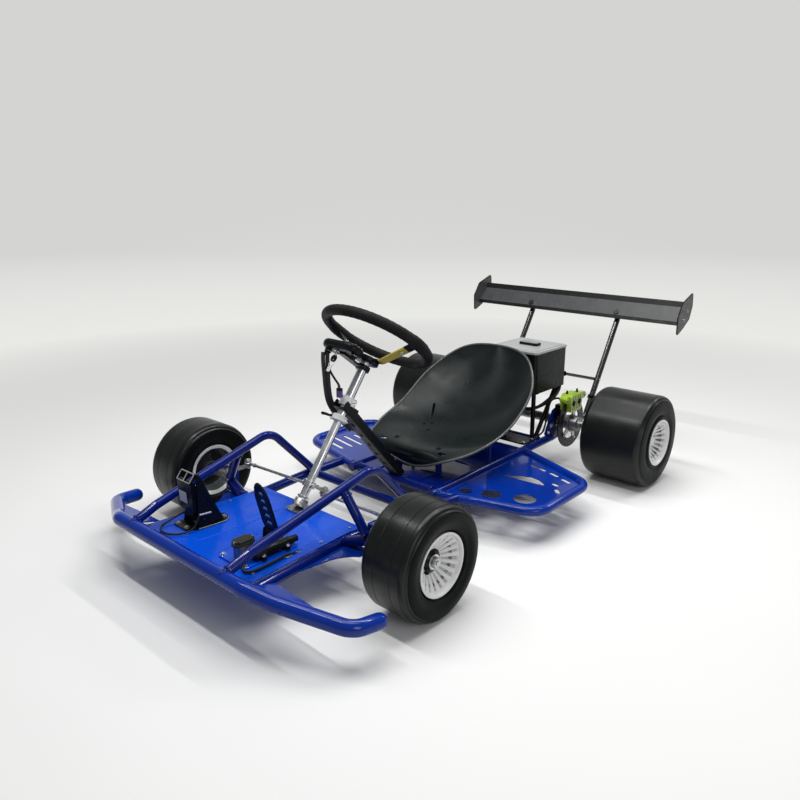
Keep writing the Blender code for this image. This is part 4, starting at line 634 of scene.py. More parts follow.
def machined(name, colour, roughness=0.22, stretch=(1, 1, 1), depth=0.00003):
    """Bare metal with fine tool marks and a cloudy sheen."""
    look = Look(name, colour, roughness, 1.0)
    look.tint(look.noise(14, 6), tuple(c * 0.62 for c in colour), 0.0, 0.7)
    look.gloss(look.noise(160, 4, stretch), roughness * 0.6, roughness * 1.9)
    look.bump(look.noise(500, 3, stretch), depth)
    return look.material


def tyre_rubber(name, colour, dusty, roughness, specular):
    """Slick rubber with running marks round the tyre and a little dust."""
    look = Look(name, colour, roughness, 0.0, specular=specular)
    look.tint(look.noise(34, 6), dusty, 0.0, 0.75)
    look.gloss(look.noise(11, 4), roughness * 0.8, roughness * 1.25)
    look.bump(look.noise(900, 2), 0.00008)
    look.bump(look.noise(60, 3, (14, 1, 1)), 0.00003)
    return look.material


def foam():
    look = Look("grip foam", (0.005, 0.005, 0.0052), 0.62, 0.0, specular=0.2)
    look.tint(look.noise(40, 4), (0.01, 0.01, 0.01), 0.0, 0.8)
    look.bump(look.cells(1400), 0.0002)
    look.gloss(look.noise(24, 3), 0.5, 0.75)
    return look.material


def seat_plastic():
    look = Look("satin seat shell", (0.003, 0.006, 0.0062), 0.3, 0.0, specular=0.24)
    look.tint(look.noise(7, 5), (0.005, 0.0086, 0.0088), 0.0, 0.7)
    look.gloss(look.noise(18, 6), 0.24, 0.4)
    look.bump(look.noise(1300, 2), 0.00007)
    look.bump(look.noise(26, 3), 0.00008)
    return look.material


def braided():
    """Woven sleeve of the cables."""
    look = Look("braided sleeve", (0.012, 0.012, 0.013), 0.5, 0.0, specular=0.4)
    weave = look.node("ShaderNodeTexWave", wave_type="BANDS", bands_direction="DIAGONAL")
    weave.inputs["Scale"].default_value = 260
    weave.inputs["Distortion"].default_value = 1.2
    look.link(look.stretched((1, 1, 0.6)), weave.inputs["Vector"])
    look.tint(weave.outputs["Fac"], (0.05, 0.05, 0.052), 0.0, 0.8, 0.4, 0.9)
    look.bump(weave.outputs["Fac"], 0.00035)
    return look.material


def battery_cells():
    look = Look("battery wrap", (0.02, 0.02, 0.025), 0.5)
    look.tint(look.noise(40, 4), (0.05, 0.05, 0.06), 0.0, 0.6)
    look.bump(look.cells(55), 0.0006)
    return look.material


BLUE = painted("blue paint", (0.0011, 0.03, 0.3), (0.0007, 0.018, 0.2), 0.13, 0.4, 0.1)
# Darker copy of the blue paint for the tubes, the hanger plates and the sheet under the seat: painted
# shade.
BLUE_TUBE_SHADED = painted("blue frame painted shade", (0.0008, 0.0125, 0.175), (0.0005, 0.006, 0.1), 0.14, 0.34, 0.08)
# Lighter copy of the blue paint for the floor pan and the master cylinder's base plate: painted light.
BLUE_SHEET_LIT = painted("blue floor painted light", (0.0012, 0.078, 0.62), (0.001, 0.05, 0.5), 0.22, 0.1, 0.12)
WHITE = painted("white rim paint", (0.9, 0.9, 0.89), (0.8, 0.8, 0.78), 0.24, 0.4)
LIME = painted("lime paint", (0.42, 0.62, 0.03), (0.26, 0.42, 0.02), 0.22, 0.6)
GOLD = painted("gold plate", (0.52, 0.42, 0.035), (0.36, 0.27, 0.02), 0.24, 0.5)
BLACK = satin("black powder coat", (0.0035, 0.0042, 0.0042), (0.0065, 0.0074, 0.0074), 0.28, specular=0.17)
BLACK_GLOSS = painted("black gloss paint", (0.008, 0.008, 0.009), (0.018, 0.018, 0.02), 0.2, 0.5)
PLASTIC = satin("black plastic", (0.0036, 0.0054, 0.0054), (0.0062, 0.0082, 0.0082), 0.3, 600, 0.00005,
                0.0, 0.14)
LID_SHEET = satin("battery cover sheet", (0.44, 0.45, 0.45), (0.36, 0.37, 0.37), 0.34, 300, 0.00003, 0.2,
                  0.5)
# Pale grey painted highlight for the rolled rim of the black seat.
SEAT_RIM_HIGHLIGHT = satin("seat rim painted highlight", (0.09, 0.095, 0.096), (0.06, 0.064, 0.065), 0.24, 600, 0.00004, 0.0, 0.45)
GREY_PLASTIC = satin("grey plastic", (0.2, 0.2, 0.205), (0.28, 0.28, 0.28), 0.42)
WHITE_PLASTIC = satin("white plastic", (0.78, 0.78, 0.77), (0.68, 0.68, 0.66), 0.35)
PURPLE = satin("purple connector", (0.1, 0.045, 0.22), (0.16, 0.08, 0.3), 0.4)
KHAKI = satin("khaki rubber cap", (0.02, 0.02, 0.012), (0.036, 0.034, 0.021), 0.42)
LABEL = satin("blank label", (0.7, 0.7, 0.68), (0.6, 0.6, 0.58), 0.45, 300, 0.00003)
WING = satin("wing sheet", (0.046, 0.047, 0.049), (0.062, 0.063, 0.065), 0.38, 700, 0.00005)
# Much darker copy of the wing sheet for the lip, the tail and the end plates' rolled edge: painted shade.
WING_SHADED = satin("wing edge painted shade", (0.006, 0.0064, 0.0066), (0.01, 0.0105, 0.011), 0.36, specular=0.2)
SCREEN = painted("display glass", (0.006, 0.007, 0.009), (0.01, 0.012, 0.014), 0.08, 1.0)
STEEL = machined("bright steel", (0.62, 0.63, 0.65), 0.2)
ZINC = machined("zinc plated steel", (0.5, 0.5, 0.49), 0.3)
CHROME = painted("polished column", (0.7, 0.71, 0.73), (0.56, 0.57, 0.59), 0.27, 0.0, metallic=1.0)
DISC_STEEL = machined("ground disc", (0.06, 0.06, 0.06), 0.3, (1, 6, 6), 0.00003)
CARRIER = satin("disc carrier", (0.55, 0.54, 0.5), (0.4, 0.39, 0.36), 0.3, 500, 0.00005, 0.6)
# Grey painted shade for the valleys between the rim's ribs.
RIM_SHADE = painted("rim valley painted shade", (0.5, 0.5, 0.5), (0.42, 0.42, 0.42), 0.3, 0.2)
# Dark grey painted shade for the inner side of the white rim.
RIM_INNER_SHADE = painted("rim inner side painted shade", (0.13, 0.145, 0.15), (0.09, 0.1, 0.105), 0.3, 0.2)
CAST = satin("cast alloy", (0.3, 0.3, 0.31), (0.2, 0.2, 0.21), 0.38, 500, 0.00012, 0.9)
ALLOY = satin("bare alloy", (0.46, 0.47, 0.48), (0.36, 0.37, 0.38), 0.34, 400, 0.00003, 0.5)
BRASS = machined("brass fitting", (0.62, 0.42, 0.14), 0.25)
CHAIN_STEEL = machined("chain steel", (0.17, 0.165, 0.16), 0.34)
TYRE = tyre_rubber("tyre tread", (0.004, 0.0048, 0.005), (0.0072, 0.008, 0.008), 0.31, 0.32)
TYRE_SIDE = tyre_rubber("tyre sidewall", (0.0034, 0.005, 0.0046), (0.0056, 0.0072, 0.0066), 0.38, 0.07)
GRIP = foam()
SEAT = seat_plastic()
CABLE = satin("cable sheath", (0.006, 0.006, 0.0065), (0.012, 0.012, 0.0125), 0.48, 500, 0.00006, 0.0, 0.3)
BRAID = braided()
CELLS = battery_cells()


# Chassis

def bumper_path():
    side = [Vector(p) for p in ((0.447, -0.18, 0.08), (0.437, -0.239, 0.085),
                                (0.29, -0.308, 0.113), (0.235, BUMPER_Y, BUMPER_Z))]
    return [Vector((-p.x, p.y, p.z)) for p in side] + side[::-1]


def front_rail():
    return [(0.205, BUMPER_Y, BUMPER_Z), (0.2045, -0.296, FRONT_RAIL_Z), (0.178, 0.0, FRONT_RAIL_Z),
            (0.2, FRONT_CROSS_Y, FRONT_RAIL_Z), (0.213, 0.3625, POD_Z)]


def hoop():
    return [(0.174, BUMPER_Y - 0.006, BUMPER_Z + 0.006), (0.1765, -0.27, 0.1625),
            (0.191, 0.076, HOOP_TOP_Z), (0.186, FRONT_CROSS_Y - 0.006, FRONT_RAIL_Z + 0.012)]


def pod():
    return [(REAR_RAIL_X + 0.003, 0.346, POD_Z), (0.424, 0.42, POD_Z), (0.424, 0.672, POD_Z),
            (REAR_RAIL_TAIL_X + 0.006, 0.7855, POD_Z)]


def rear_rail_x(y):
    share = (y - SEAT_CROSS_Y) / (REAR_RAIL_END_Y - SEAT_CROSS_Y)
    return REAR_RAIL_X + (REAR_RAIL_TAIL_X - REAR_RAIL_X) * share


def make_bumper():
    """Front bumper tube with its domed ends and the corner gussets behind the swept ends."""
    piece = Piece("bumper_tube")
    piece.add(BLUE, tube(bumper_path(), BUMPER_RADIUS, 0.045, sides=36, round_ends=True))
    rear_edge = [(0.2182, -0.244, 0.1), (0.29, -0.248, 0.101), (0.366, -0.2515, 0.099)]
    tube_edge = [(0.2182, -0.326, 0.124), (0.29, -0.306, 0.112), (0.378, -0.267, 0.0965)]
    tops = [Vector(p) for p in rear_edge + tube_edge]
    points = tops + [p - UP * 0.003 for p in tops]
    faces = [(0, 3, 4, 1), (1, 4, 5, 2), (6, 7, 10, 9), (7, 8, 11, 10), (0, 1, 7, 6), (1, 2, 8, 7),
             (2, 5, 11, 8), (5, 4, 10, 11), (4, 3, 9, 10), (3, 0, 6, 9)]
    for side, _ in SIDES:
        piece.add(BLUE, (points, faces), side=side)
        seam = [Vector((side * p.x, p.y + 0.004, p.z + 0.003)) for p in tops[3:]]
        piece.add(BLUE, swept(smooth_curve(seam, 0.008), 0.0024, sides=10))
    piece.make("chassis", ["front_bumper"])


def make_rails():
    for side, word in SIDES:
        rail = Piece(f"front_rail_tube_{word}")
        rail.add(BLUE_TUBE_SHADED, tube(front_rail(), RAIL_RADIUS), side=side)
        rail.add(BLUE_TUBE_SHADED, weld((side * 0.205, BUMPER_Y + 0.0135, BUMPER_Z - 0.0155),
                                 (0, 0.036, -0.0353), RAIL_RADIUS))
        rail.make("chassis", [f"front_rail_{word}"])
        make_hoop(side, word)
        make_rear_rail(side, word)
        make_pod(side, word)
        make_kingpin_bracket(side, word)
        make_hanger(side, word)


def make_hoop(side, word):
    """Side hoop from the bumper over to the front cross tube, with its strut to the kingpin."""
    piece = Piece(f"hoop_tube_{word}")
    path = [Vector(p) for p in hoop()]
    top, foot = Vector((0.194, -0.024, 0.2222)), Vector((0.2505, -0.0149, 0.136))
    run = (foot - top).normalized()
    front = (path[1] - path[0]).normalized()
    rear = (path[2] - path[3]).normalized()
    piece.add(BLUE_TUBE_SHADED, tube(path, HOOP_RADIUS), bar(top, foot, HOOP_RADIUS), side=side)
    for spot, axis, seed in ((top + run * 0.0105, run, 0), (foot - run * 0.002, run, 2),
                             (path[0] + front * 0.018, front, 1), (path[3] + rear * 0.006, rear, 4)):
        piece.add(BLUE_TUBE_SHADED, weld(spot, axis, HOOP_RADIUS, seed=seed), side=side)
    piece.make("chassis", [f"side_hoop_{word}"])


def make_rear_rail(side, word):
    """Rear rail with the short stay that holds the seat."""
    piece = Piece(f"rear_rail_tube_{word}")
    start = (REAR_RAIL_X, SEAT_CROSS_Y - 0.022, REAR_RAIL_Z)
    end = (REAR_RAIL_TAIL_X, REAR_RAIL_END_Y, REAR_RAIL_Z)
    stay_y = 0.6
    stay_x = rear_rail_x(stay_y)
    stay_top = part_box(f"rear_rail_{word}")[1].z
    piece.add(BLUE_TUBE_SHADED, bar(start, end, RAIL_RADIUS, 32, 0.001),
              bar((stay_x, stay_y, REAR_RAIL_Z), (stay_x, stay_y, stay_top), 0.006, 20),
              weld((stay_x, stay_y, REAR_RAIL_Z + RAIL_RADIUS), UP, 0.006, 0.0015), side=side)
    piece.make("chassis", [f"rear_rail_{word}"])


def pod_holes(side):
    """Cut-outs of a pod plate, written for the +X side."""
    if side > 0:
        flame = [(0.207, 0.577), (0.228, 0.594), (0.251, 0.606), (0.279, 0.617), (0.305, 0.613),
                 (0.325, 0.602), (0.341, 0.588), (0.322, 0.584), (0.303, 0.581), (0.27, 0.5785),
                 (0.238, 0.5765)]
        rear_slots = [(0.238, 0.697, 0.022), (0.272, 0.688, 0.03), (0.318, 0.675, 0.036),
                      (0.367, 0.655, 0.036)]
        return ([circle(0.349, 0.475, 0.03, 48), circle(0.265, 0.443, 0.027, 44),
                 circle(0.202, 0.415, 0.018, 36), flame]
                + [slot(x, y, length, 0.012, -20) for x, y, length in rear_slots]
                + [slot(0.359, 0.612, 0.024, 0.012, -20), slot(0.386, 0.576, 0.03, 0.011, -50)])
    return [slot(0.345 - 0.012 * k, 0.44 + 0.032 * k, 0.12 - 0.006 * k, 0.01, 12)
            for k in range(6)]


def make_pod(side, word):
    """Side pod: bent tube loop with its perforated plate seated inside."""
    piece = Piece(f"pod_loop_{word}")
    path = rounded(pod(), BEND, 12)
    piece.add(BLUE, swept(path, RAIL_RADIUS, 32), side=side)
    inset = [(p.x, p.y) for p in path]
    level = at_height(POD_Z - 0.00125)
    piece.add(BLUE, plate(inset, 0.0025, level, pod_holes(side)), side=side)
    first = (path[1] - path[0]).normalized()
    last = (path[-1] - path[-2]).normalized()
    piece.add(BLUE, weld(path[0] + first * 0.015, first, RAIL_RADIUS, seed=3),
              weld(path[-1] - last * 0.013, last, RAIL_RADIUS, seed=5), side=side)
    piece.make("chassis", [f"side_pod_{word}"], bevel=0.0006, sharp=40)


def make_kingpin_bracket(side, word):
    """C bracket of the kingpin, its arm to the rail and the curved gusset with a pressed oval."""
    web_x = KINGPIN_X - 0.022
    wheel_z = FRONT_TYRE_RADIUS
    piece = Piece(f"kingpin_yoke_{word}")
    piece.add(BLUE, block((web_x, -0.012, wheel_z - 0.034), (web_x + 0.005, 0.012, wheel_z + 0.034)),
              side=side)
    lug = [(web_x + 0.001, -0.012)]
    lug += [(KINGPIN_X + 0.012 * math.cos(a), 0.012 * math.sin(a))
            for a in (math.radians(-90 + 12 * k) for k in range(16))]
    lug += [(web_x + 0.001, 0.012)]
    for z in (wheel_z - 0.0315, wheel_z + 0.0315):
        yoke = plate(lug, 0.005, at_height(z - 0.0025), [circle(KINGPIN_X, 0, 0.0056, 20)])
        piece.add(BLUE, yoke, side=side)
    foot = Vector((0.1855, -0.019, FRONT_RAIL_Z + 0.002))
    head = Vector((KINGPIN_X - 0.0195, -0.01, 0.12))
    run = (head - foot).normalized()
    piece.add(BLUE_TUBE_SHADED, bar(foot, head, RAIL_RADIUS, 32),
              weld(head - run * 0.003, run, RAIL_RADIUS, seed=6),
              weld(foot + run * 0.009, run, RAIL_RADIUS, seed=7), side=side)
    curve = smooth_curve([(0.19, -0.179, 0), (0.205, -0.179, 0), (0.2125, -0.13, 0),
                          (0.22, -0.089, 0), (0.232, -0.064, 0), (0.246, -0.047, 0),
                          (web_x + 0.003, -0.04, 0)], 0.006)
    outline = [(0.186, -0.006)] + [(p.x, p.y) for p in curve] + [(web_x + 0.003, -0.002)]
    oval = [(0.224 + 0.011 * math.cos(a) - 0.004 * math.sin(a), -0.04 + 0.007 * math.sin(a))
            for a in (2 * math.pi * k / 28 for k in range(28))]
    level = at_height(FRONT_RAIL_Z - 0.005)
    piece.add(BLUE, plate(outline, 0.003, level, [oval]), side=side)
    piece.add(BLUE, plate(oval, 0.0016, at_height(FRONT_RAIL_Z - 0.0048)), side=side)
    piece.make("chassis", [f"kingpin_bracket_{word}"], bevel=0.0007, sharp=40)


def make_hanger(side, word):
    """Axle hanger plate with its bearing housing and the bolts of the bearing and the strut."""
    top = REAR_RAIL_Z + RAIL_RADIUS + 0.0003
    corners = [(0.915, top), (0.9553, top), (0.9553, 0.076), (1.004, 0.084), (1.034, 0.108),
               (1.052, 0.118), (1.052, 0.144), (1.033, 0.152), (1.018, 0.172), (0.985, 0.187),
               (0.96, 0.18), (0.94, 0.15)]
    outline = rounded_outline(corners, 0.006)
    piece = Piece(f"hanger_plate_{word}")
    spot = Vector((HANGER_X - 0.004, WHEELBASE, REAR_TYRE_RADIUS))
    hole = circle(spot.y, spot.z, 0.0157, 36)
    piece.add(BLUE_TUBE_SHADED, plate(outline, 0.008, upright(spot.x), [hole]), side=side)
    housing = lathe([(0.0157, 0), (0.03, 0), (0.03, 0.005), (0.027, 0.0075), (0.02, 0.0075),
                     (0.02, 0.0055), (0.0157, 0.0055)], spot - ACROSS * 0.007, ACROSS, 56)
    piece.add(BLUE_TUBE_SHADED, housing, side=side)
    race = lathe(rectangle(0.0157, 0.0085, 0.0192, 0.012), spot - ACROSS * 0.002, ACROSS, 56)
    piece.add(STEEL, race, side=side)
    for a in (math.radians(90 + 120 * k) for k in range(3)):
        head = spot + Vector((0.008, 0.0245 * math.cos(a), 0.0245 * math.sin(a)))
        piece.add(STEEL, *cap_bolt(head, ACROSS, 0.0035, 0.003), side=side)
    for y, z in ((0.932, 0.112), (0.946, 0.133)):
        piece.add(STEEL, *hex_bolt(Vector((spot.x + 0.008, y, z)), ACROSS, 0.0045), side=side)
    piece.make("chassis", [f"axle_hanger_{word}"], bevel=0.0007, sharp=40)


def make_cross_tubes():
    """Front, rear and seat cross tubes; the seat's one carries the sheet below the seat and its tabs."""
    radius = 0.012
    inside = REAR_RAIL_X - RAIL_RADIUS
    seat = Piece("seat_cross_bar")
    seat.add(BLUE_TUBE_SHADED, bar((-inside, SEAT_CROSS_Y, REAR_RAIL_Z), (inside, SEAT_CROSS_Y, REAR_RAIL_Z),
                            radius, 32))
    edge, tail = inside - 0.0003, REAR_RAIL_TAIL_X - RAIL_RADIUS + 0.0023
    notch, end = SEAT_CROSS_Y + 0.033, MOTOR_Y - 0.04
    outline = [(-edge, SEAT_CROSS_Y), (-0.03, SEAT_CROSS_Y), (-0.03, notch), (0.03, notch),
               (0.03, SEAT_CROSS_Y), (edge, SEAT_CROSS_Y), (tail, end), (-tail, end)]
    seat.add(BLUE_TUBE_SHADED, plate(rounded_outline(outline, 0.004), PAN_THICKNESS,
                              at_height(REAR_RAIL_Z + 0.0025)))
    for side in (1, -1):
        for y in (0.44, 0.56, 0.68):
            swage = smooth_curve([(side * 0.105, y, 0.095), (side * 0.06, y + 0.004, 0.0953),
                                  (side * 0.02, y, 0.095)], 0.01)
            seat.add(BLUE_TUBE_SHADED, swept(swage, ridge_radius(0.001, 0.0018), 12))
    tab_y = 0.455
    tab_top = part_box("seat_cross_tube")[1].z
    tab = [(SEAT_CROSS_Y, REAR_RAIL_Z - 0.006), (tab_y + 0.012, REAR_RAIL_Z - 0.006),
           (tab_y + 0.012, tab_top), (tab_y - 0.012, tab_top), (tab_y - 0.012, REAR_RAIL_Z + 0.008),
           (SEAT_CROSS_Y, REAR_RAIL_Z + 0.008)]
    for x in (-0.075, 0.075):
        seat.add(BLUE_TUBE_SHADED, plate(tab, 0.004, upright(x - 0.002)))
    weld_ends(seat, 0.1355, SEAT_CROSS_Y, REAR_RAIL_Z, radius)
    for word, reach, y, z, radius, weld_x in (
            ("front", 0.187, FRONT_CROSS_Y, FRONT_RAIL_Z, HOOP_RADIUS, 0.183),
            ("rear", REAR_RAIL_TAIL_X - RAIL_RADIUS, REAR_CROSS_Y, REAR_RAIL_Z, 0.0115, 0.1265)):
        piece = Piece(f"{word}_cross_bar")
        piece.add(BLUE_TUBE_SHADED, bar((-reach, y, z), (reach, y, z), radius, 32))
        weld_ends(piece, weld_x, y, z, radius)
        piece.make("chassis", [f"{word}_cross_tube"])
    seat.make("chassis", ["seat_cross_tube"], bevel=0.0005, sharp=40)


def weld_ends(piece, x, y, z, radius):
    """Weld beads at both ends of a cross tube."""
    for side in (1, -1):
        piece.add(BLUE_TUBE_SHADED, weld((side * x, y, z), ACROSS, radius, seed=y * 40))


def ridge_radius(least, rise):
    """Radius along a pressed ridge: least at its ends and highest in the middle."""
    return lambda share: least + rise * math.sin(math.pi * share)


def make_floor_pan():
    """Floor pan with two pressed swages, its lip to the bumper and the screws along the rails."""
    piece = Piece("floor_sheet")
    half = [(0.186, -0.3), (0.186, -0.284), (0.196, -0.28), (0.178, 0.0), (0.182, 0.04)]
    outline = half + [(-x, y) for x, y in half[::-1]]
    hose_slot = slot(0.1635, -0.15, 0.046, 0.011, 92)
    piece.add(BLUE_SHEET_LIT, plate(outline, PAN_THICKNESS, at_height(PAN_TOP - PAN_THICKNESS), [hose_slot]))
    root = [Vector((x, -0.299, z)) for x in (-0.186, 0.186) for z in (PAN_TOP - PAN_THICKNESS, PAN_TOP)]
    lip = (root + [p + Vector((0, -0.0165, 0.0115)) for p in root],
           [(0, 1, 3, 2), (4, 6, 7, 5), (0, 4, 5, 1), (2, 3, 7, 6), (1, 5, 7, 3), (0, 2, 6, 4)])
    piece.add(BLUE_SHEET_LIT, lip)
    for side in (1, -1):
        ridge = smooth_curve([(side * x, y, PAN_TOP - 0.0016)
                              for x, y in ((0.045, -0.27), (0.03, -0.12), (0.045, 0.02))], 0.012)
        piece.add(BLUE_SHEET_LIT, swept(ridge, ridge_radius(0.0015, 0.0016), 14))
        for y in (-0.262, -0.17, -0.075, 0.018):
            x = side * (0.17 if y < 0 else 0.166)
            piece.add(ZINC, *cap_bolt(Vector((x, y, PAN_TOP)), UP, 0.0036, 0.0022))
    piece.make("chassis", ["floor_pan"], bevel=0.0005, sharp=40)


def make_chassis():
    make_bumper()
    make_rails()
    make_cross_tubes()
    make_floor_pan()


# Steering

def on_column(below):
    return WHEEL_CENTRE - COLUMN * below


def column_frame(below=0.0):
    """Frame on the column: Z up the column, X to the driver's left, Y towards the driver."""
    return basis(on_column(below), COLUMN)


def make_column_support():
    """Channel from the seat cross tube up to the collar that holds the column."""
    frame = basis((0, 0.164, 0.335), (0, 0.178, -0.207))
    half, deep, wall = 0.021, 0.011, 0.003
    outer = [(-half, -deep), (-half, deep), (half, deep), (half, -deep)]
    inner = [(half - wall, -deep), (half - wall, deep - wall), (wall - half, deep - wall),
             (wall - half, -deep)]
    outline = [(p.x, p.y) for corners, radius, steps in ((outer, 0.005, 5), (inner, 0.003, 4))
               for p in rounded([(x, y, 0) for x, y in corners], radius, steps)]
    piece = Piece("column_channel")
    piece.add(BLACK, plate(outline, 0.325, raised(frame, -0.02)))
    cuts = [bar((-0.14, SEAT_CROSS_Y, REAR_RAIL_Z), (0.14, SEAT_CROSS_Y, REAR_RAIL_Z), 0.0128),
            block((-0.1, 0.2, 0.0), (0.1, 0.42, REAR_RAIL_Z)),
            bar(on_column(COLLAR_BELOW + 0.08), on_column(COLLAR_BELOW - 0.05), 0.0132, 32)]
    for reach in (0.06, 0.105, 0.15, 0.195, 0.24):
        cuts.append(bar(frame @ Vector((0, 0.02, reach)), frame @ Vector((0, 0, reach)), 0.0065, 20))
    piece.make("chassis", ["column_support"], bevel=0.0005, sharp=40, cuts=cuts)
    collar = Piece("column_collar")
    low, high = on_column(COLLAR_BELOW + 0.017), on_column(COLLAR_BELOW - 0.008)
    collar.add(WHITE_PLASTIC, sleeve(low, high, 0.013, 0.0195, 48, 0.0014))
    frame = column_frame(COLLAR_BELOW + 0.005)
    ears = rounded_outline(rectangle(0.012, -0.0045, 0.03, 0.0045), 0.003)
    for z in (-0.009, 0.001):
        collar.add(WHITE_PLASTIC, plate(ears, 0.007, raised(frame, z)))
    collar.add(STEEL, *cap_bolt(Vector((0.0245, 0, 0.008)), UP, 0.003, 0.003), at=frame)
    strap = rounded_outline(rectangle(-0.004, 0.01, 0.004, 0.03), 0.002)
    for side in (1, -1):
        place = Matrix.Translation((side * 0.0165, 0.004, -0.01))
        collar.add(BLACK, plate(strap, 0.002, place @ Matrix.Rotation(math.radians(90), 4, "Y")), at=frame)
    collar.make("chassis", (), bevel=0.0004, sharp=40)


def make_floor_bearing():
    piece = Piece("floor_bearing_block")
    level = at_height(PAN_TOP + 0.0003)
    outline = rounded_outline(rectangle(-0.03, -0.016, 0.03, 0.034), 0.007)
    piece.add(ZINC, plate(outline, 0.004, level))
    low, high = on_column(0.4713), on_column(0.4513)
    piece.add(ZINC, lathe([(0.0112, 0), (0.0185, 0), (0.0185, 0.006), (0.017, 0.0085), (0.017, 0.0185),
                           (0.0158, 0.02), (0.0112, 0.02)], low, COLUMN, 48))
    piece.add(STEEL, torus(high - COLUMN * 0.0008, COLUMN, 0.0128, 0.0012, 40, 8))
    for x in (-0.023, 0.023):
        for y in (-0.009, 0.027):
            piece.add(STEEL, *hex_bolt(Vector((x, y, PAN_TOP + 0.0043)), UP, 0.0046))
    piece.make("chassis", ["floor_bearing"], bevel=0.0004, sharp=40,
               cuts=[block((-0.1, -0.1, 0.0), (0.1, 0.1, PAN_TOP + 0.0002))])


def arm_end(x, radius):
    """Round end of a steering arm's outline, as far from its axis as the arm is long."""
    return [(x + radius * math.cos(a), STEERING_ARM_LENGTH + radius * math.sin(a))
            for a in (math.radians(180 - 20 * k) for k in range(1, 9))]


def pitman_eye():
    """Middle of the bolt that joins both tie rods to the pitman arm."""
    return on_column(PITMAN_BELOW) + COLUMN_REAR * STEERING_ARM_LENGTH


def make_shaft():
    """Lower column shaft, its clamped pitman arm and the bolt that carries both tie rods."""
    piece = Piece("column_shaft")
    piece.add(CHROME, bar(on_column(0.4684), on_column(0.12), 0.0105, 48, 0.001))
    piece.add(STEEL, sleeve(on_column(0.4485), on_column(0.4435), 0.0107, 0.015, 40))
    frame = column_frame(PITMAN_BELOW)
    piece.add(STEEL, sleeve(on_column(PITMAN_BELOW + 0.008), on_column(PITMAN_BELOW - 0.008), 0.0107,
                            0.0165, 40))
    arm = [(-0.0115, 0.006), (-0.0085, 0.04), (-0.0085, 0.06)]
    arm += arm_end(0.0, 0.0085)
    arm += [(0.0085, 0.06), (0.0085, 0.04), (0.0115, 0.006)]
    piece.add(ZINC, plate(arm, 0.005, raised(frame, -0.0025)))
    pitman = pitman_eye()
    stack = 0.0025 + 0.006 + 0.0006
    piece.add(STEEL, bar(pitman - COLUMN * (stack + 0.001), pitman + COLUMN * (stack + 0.001), 0.003, 20))
    piece.add(STEEL, *hex_bolt(pitman + COLUMN * stack, COLUMN, 0.0058, 0.0038))
    piece.add(STEEL, *hex_bolt(pitman - COLUMN * stack, -COLUMN, 0.0058, 0.0045))
    for x in (-0.0185, 0.0145):
        piece.add(STEEL, bar((x, -0.004, 0), (x + 0.004, -0.004, 0), 0.0032, 6), at=frame)
    piece.make("steering_column", ["steering_shaft"], bevel=0.0004, sharp=40)


def make_tube_and_clamp():
    """Upper column tube with its white clamp, and the black quick-release lever."""
    piece = Piece("column_tube")
    bottom = CLAMP_BELOW + 0.008
    piece.add(CHROME, sleeve(on_column(bottom - 0.012), on_column(0.072), 0.0108, 0.0125, 56, 0.0006))
    piece.add(WHITE_PLASTIC, sleeve(on_column(bottom), on_column(bottom - 0.016), 0.011, 0.02, 48, 0.0018))
    frame = column_frame(CLAMP_BELOW)
    for x, width in ((0.0205, 0.009), (-0.0205, 0.01)):
        ear = rounded_outline(rectangle(x - width, -0.0065, x + width, 0.0065), 0.0045, 5)
        piece.add(WHITE_PLASTIC, plate(ear, 0.0038, raised(frame, -0.006)))
    piece.add(STEEL, bar((-0.028, 0, -0.0075), (-0.028, 0, 0.0068), 0.0025, 20), at=frame)
    piece.add(STEEL, *hex_bolt(Vector((-0.028, 0, 0.0044)), UP, 0.004, 0.0022), at=frame)
    piece.add(STEEL, *cap_bolt(Vector((0.0225, 0, -0.0022)), UP, 0.0032, 0.003), at=frame)
    piece.make("steering_head", ["steering_tube"], bevel=0.0004, sharp=40)
    lever = Piece("release_lever")
    lever.add(PLASTIC, lathe([(0.0027, 0), (0.0062, 0), (0.0066, 0.0008), (0.0066, 0.0052),
                              (0.006, 0.006), (0.0027, 0.006)], (-0.028, 0, -0.0017), UP, 32), at=frame)
    path = smooth_curve([(-0.0325, 0, 0.0013), (-0.042, -0.0012, 0.0016), (-0.052, -0.0026, 0.0018),
                         (-0.06, -0.004, 0.0012)], 0.003)
    lever.add(PLASTIC, swept(path, lambda share: 0.003 + 0.0012 * share, 16, round_ends=True), at=frame)
    lever.make("clamp_lever", ["clamp_lever"])


def spoke_sheet(angle, first, last):
    """A run of one folded spoke of the steering wheel, between two steps along it."""
    turn = Matrix.Rotation(math.radians(angle), 4, "Z")
    frame = column_frame()
    line = rounded([(0.0, 0, -WHEEL_DISH), (0.05, 0, -WHEEL_DISH), (0.112, 0, -0.0195), (0.1385, 0, 0)],
                   0.022, 7)
    count = len(line) - 1
    points = []
    for k in range(first, count + 1 if last is None else last + 1):
        spot = line[k]
        ahead = line[min(k + 1, count)] - line[max(k - 1, 0)]
        normal = Vector((-ahead.z, 0, ahead.x)).normalized()
        half = 0.0125 + 0.0015 * math.cos(spot.x / 0.1385 * 2 * math.pi)
        for y in (-half, half):
            for lift in (0.0, 0.004):
                points.append(frame @ turn @ (spot + normal * lift + Vector((0, y, 0))))
    faces = [(0, 1, 3, 2)]
    for k in range(len(points) // 4 - 1):
        a = 4 * k
        faces += [(a, a + 4, a + 5, a + 1), (a + 2, a + 3, a + 7, a + 6), (a + 1, a + 5, a + 7, a + 3),
                  (a, a + 2, a + 6, a + 4)]
    a = len(points) - 4
    faces.append((a, a + 2, a + 3, a + 1))
    return points, faces


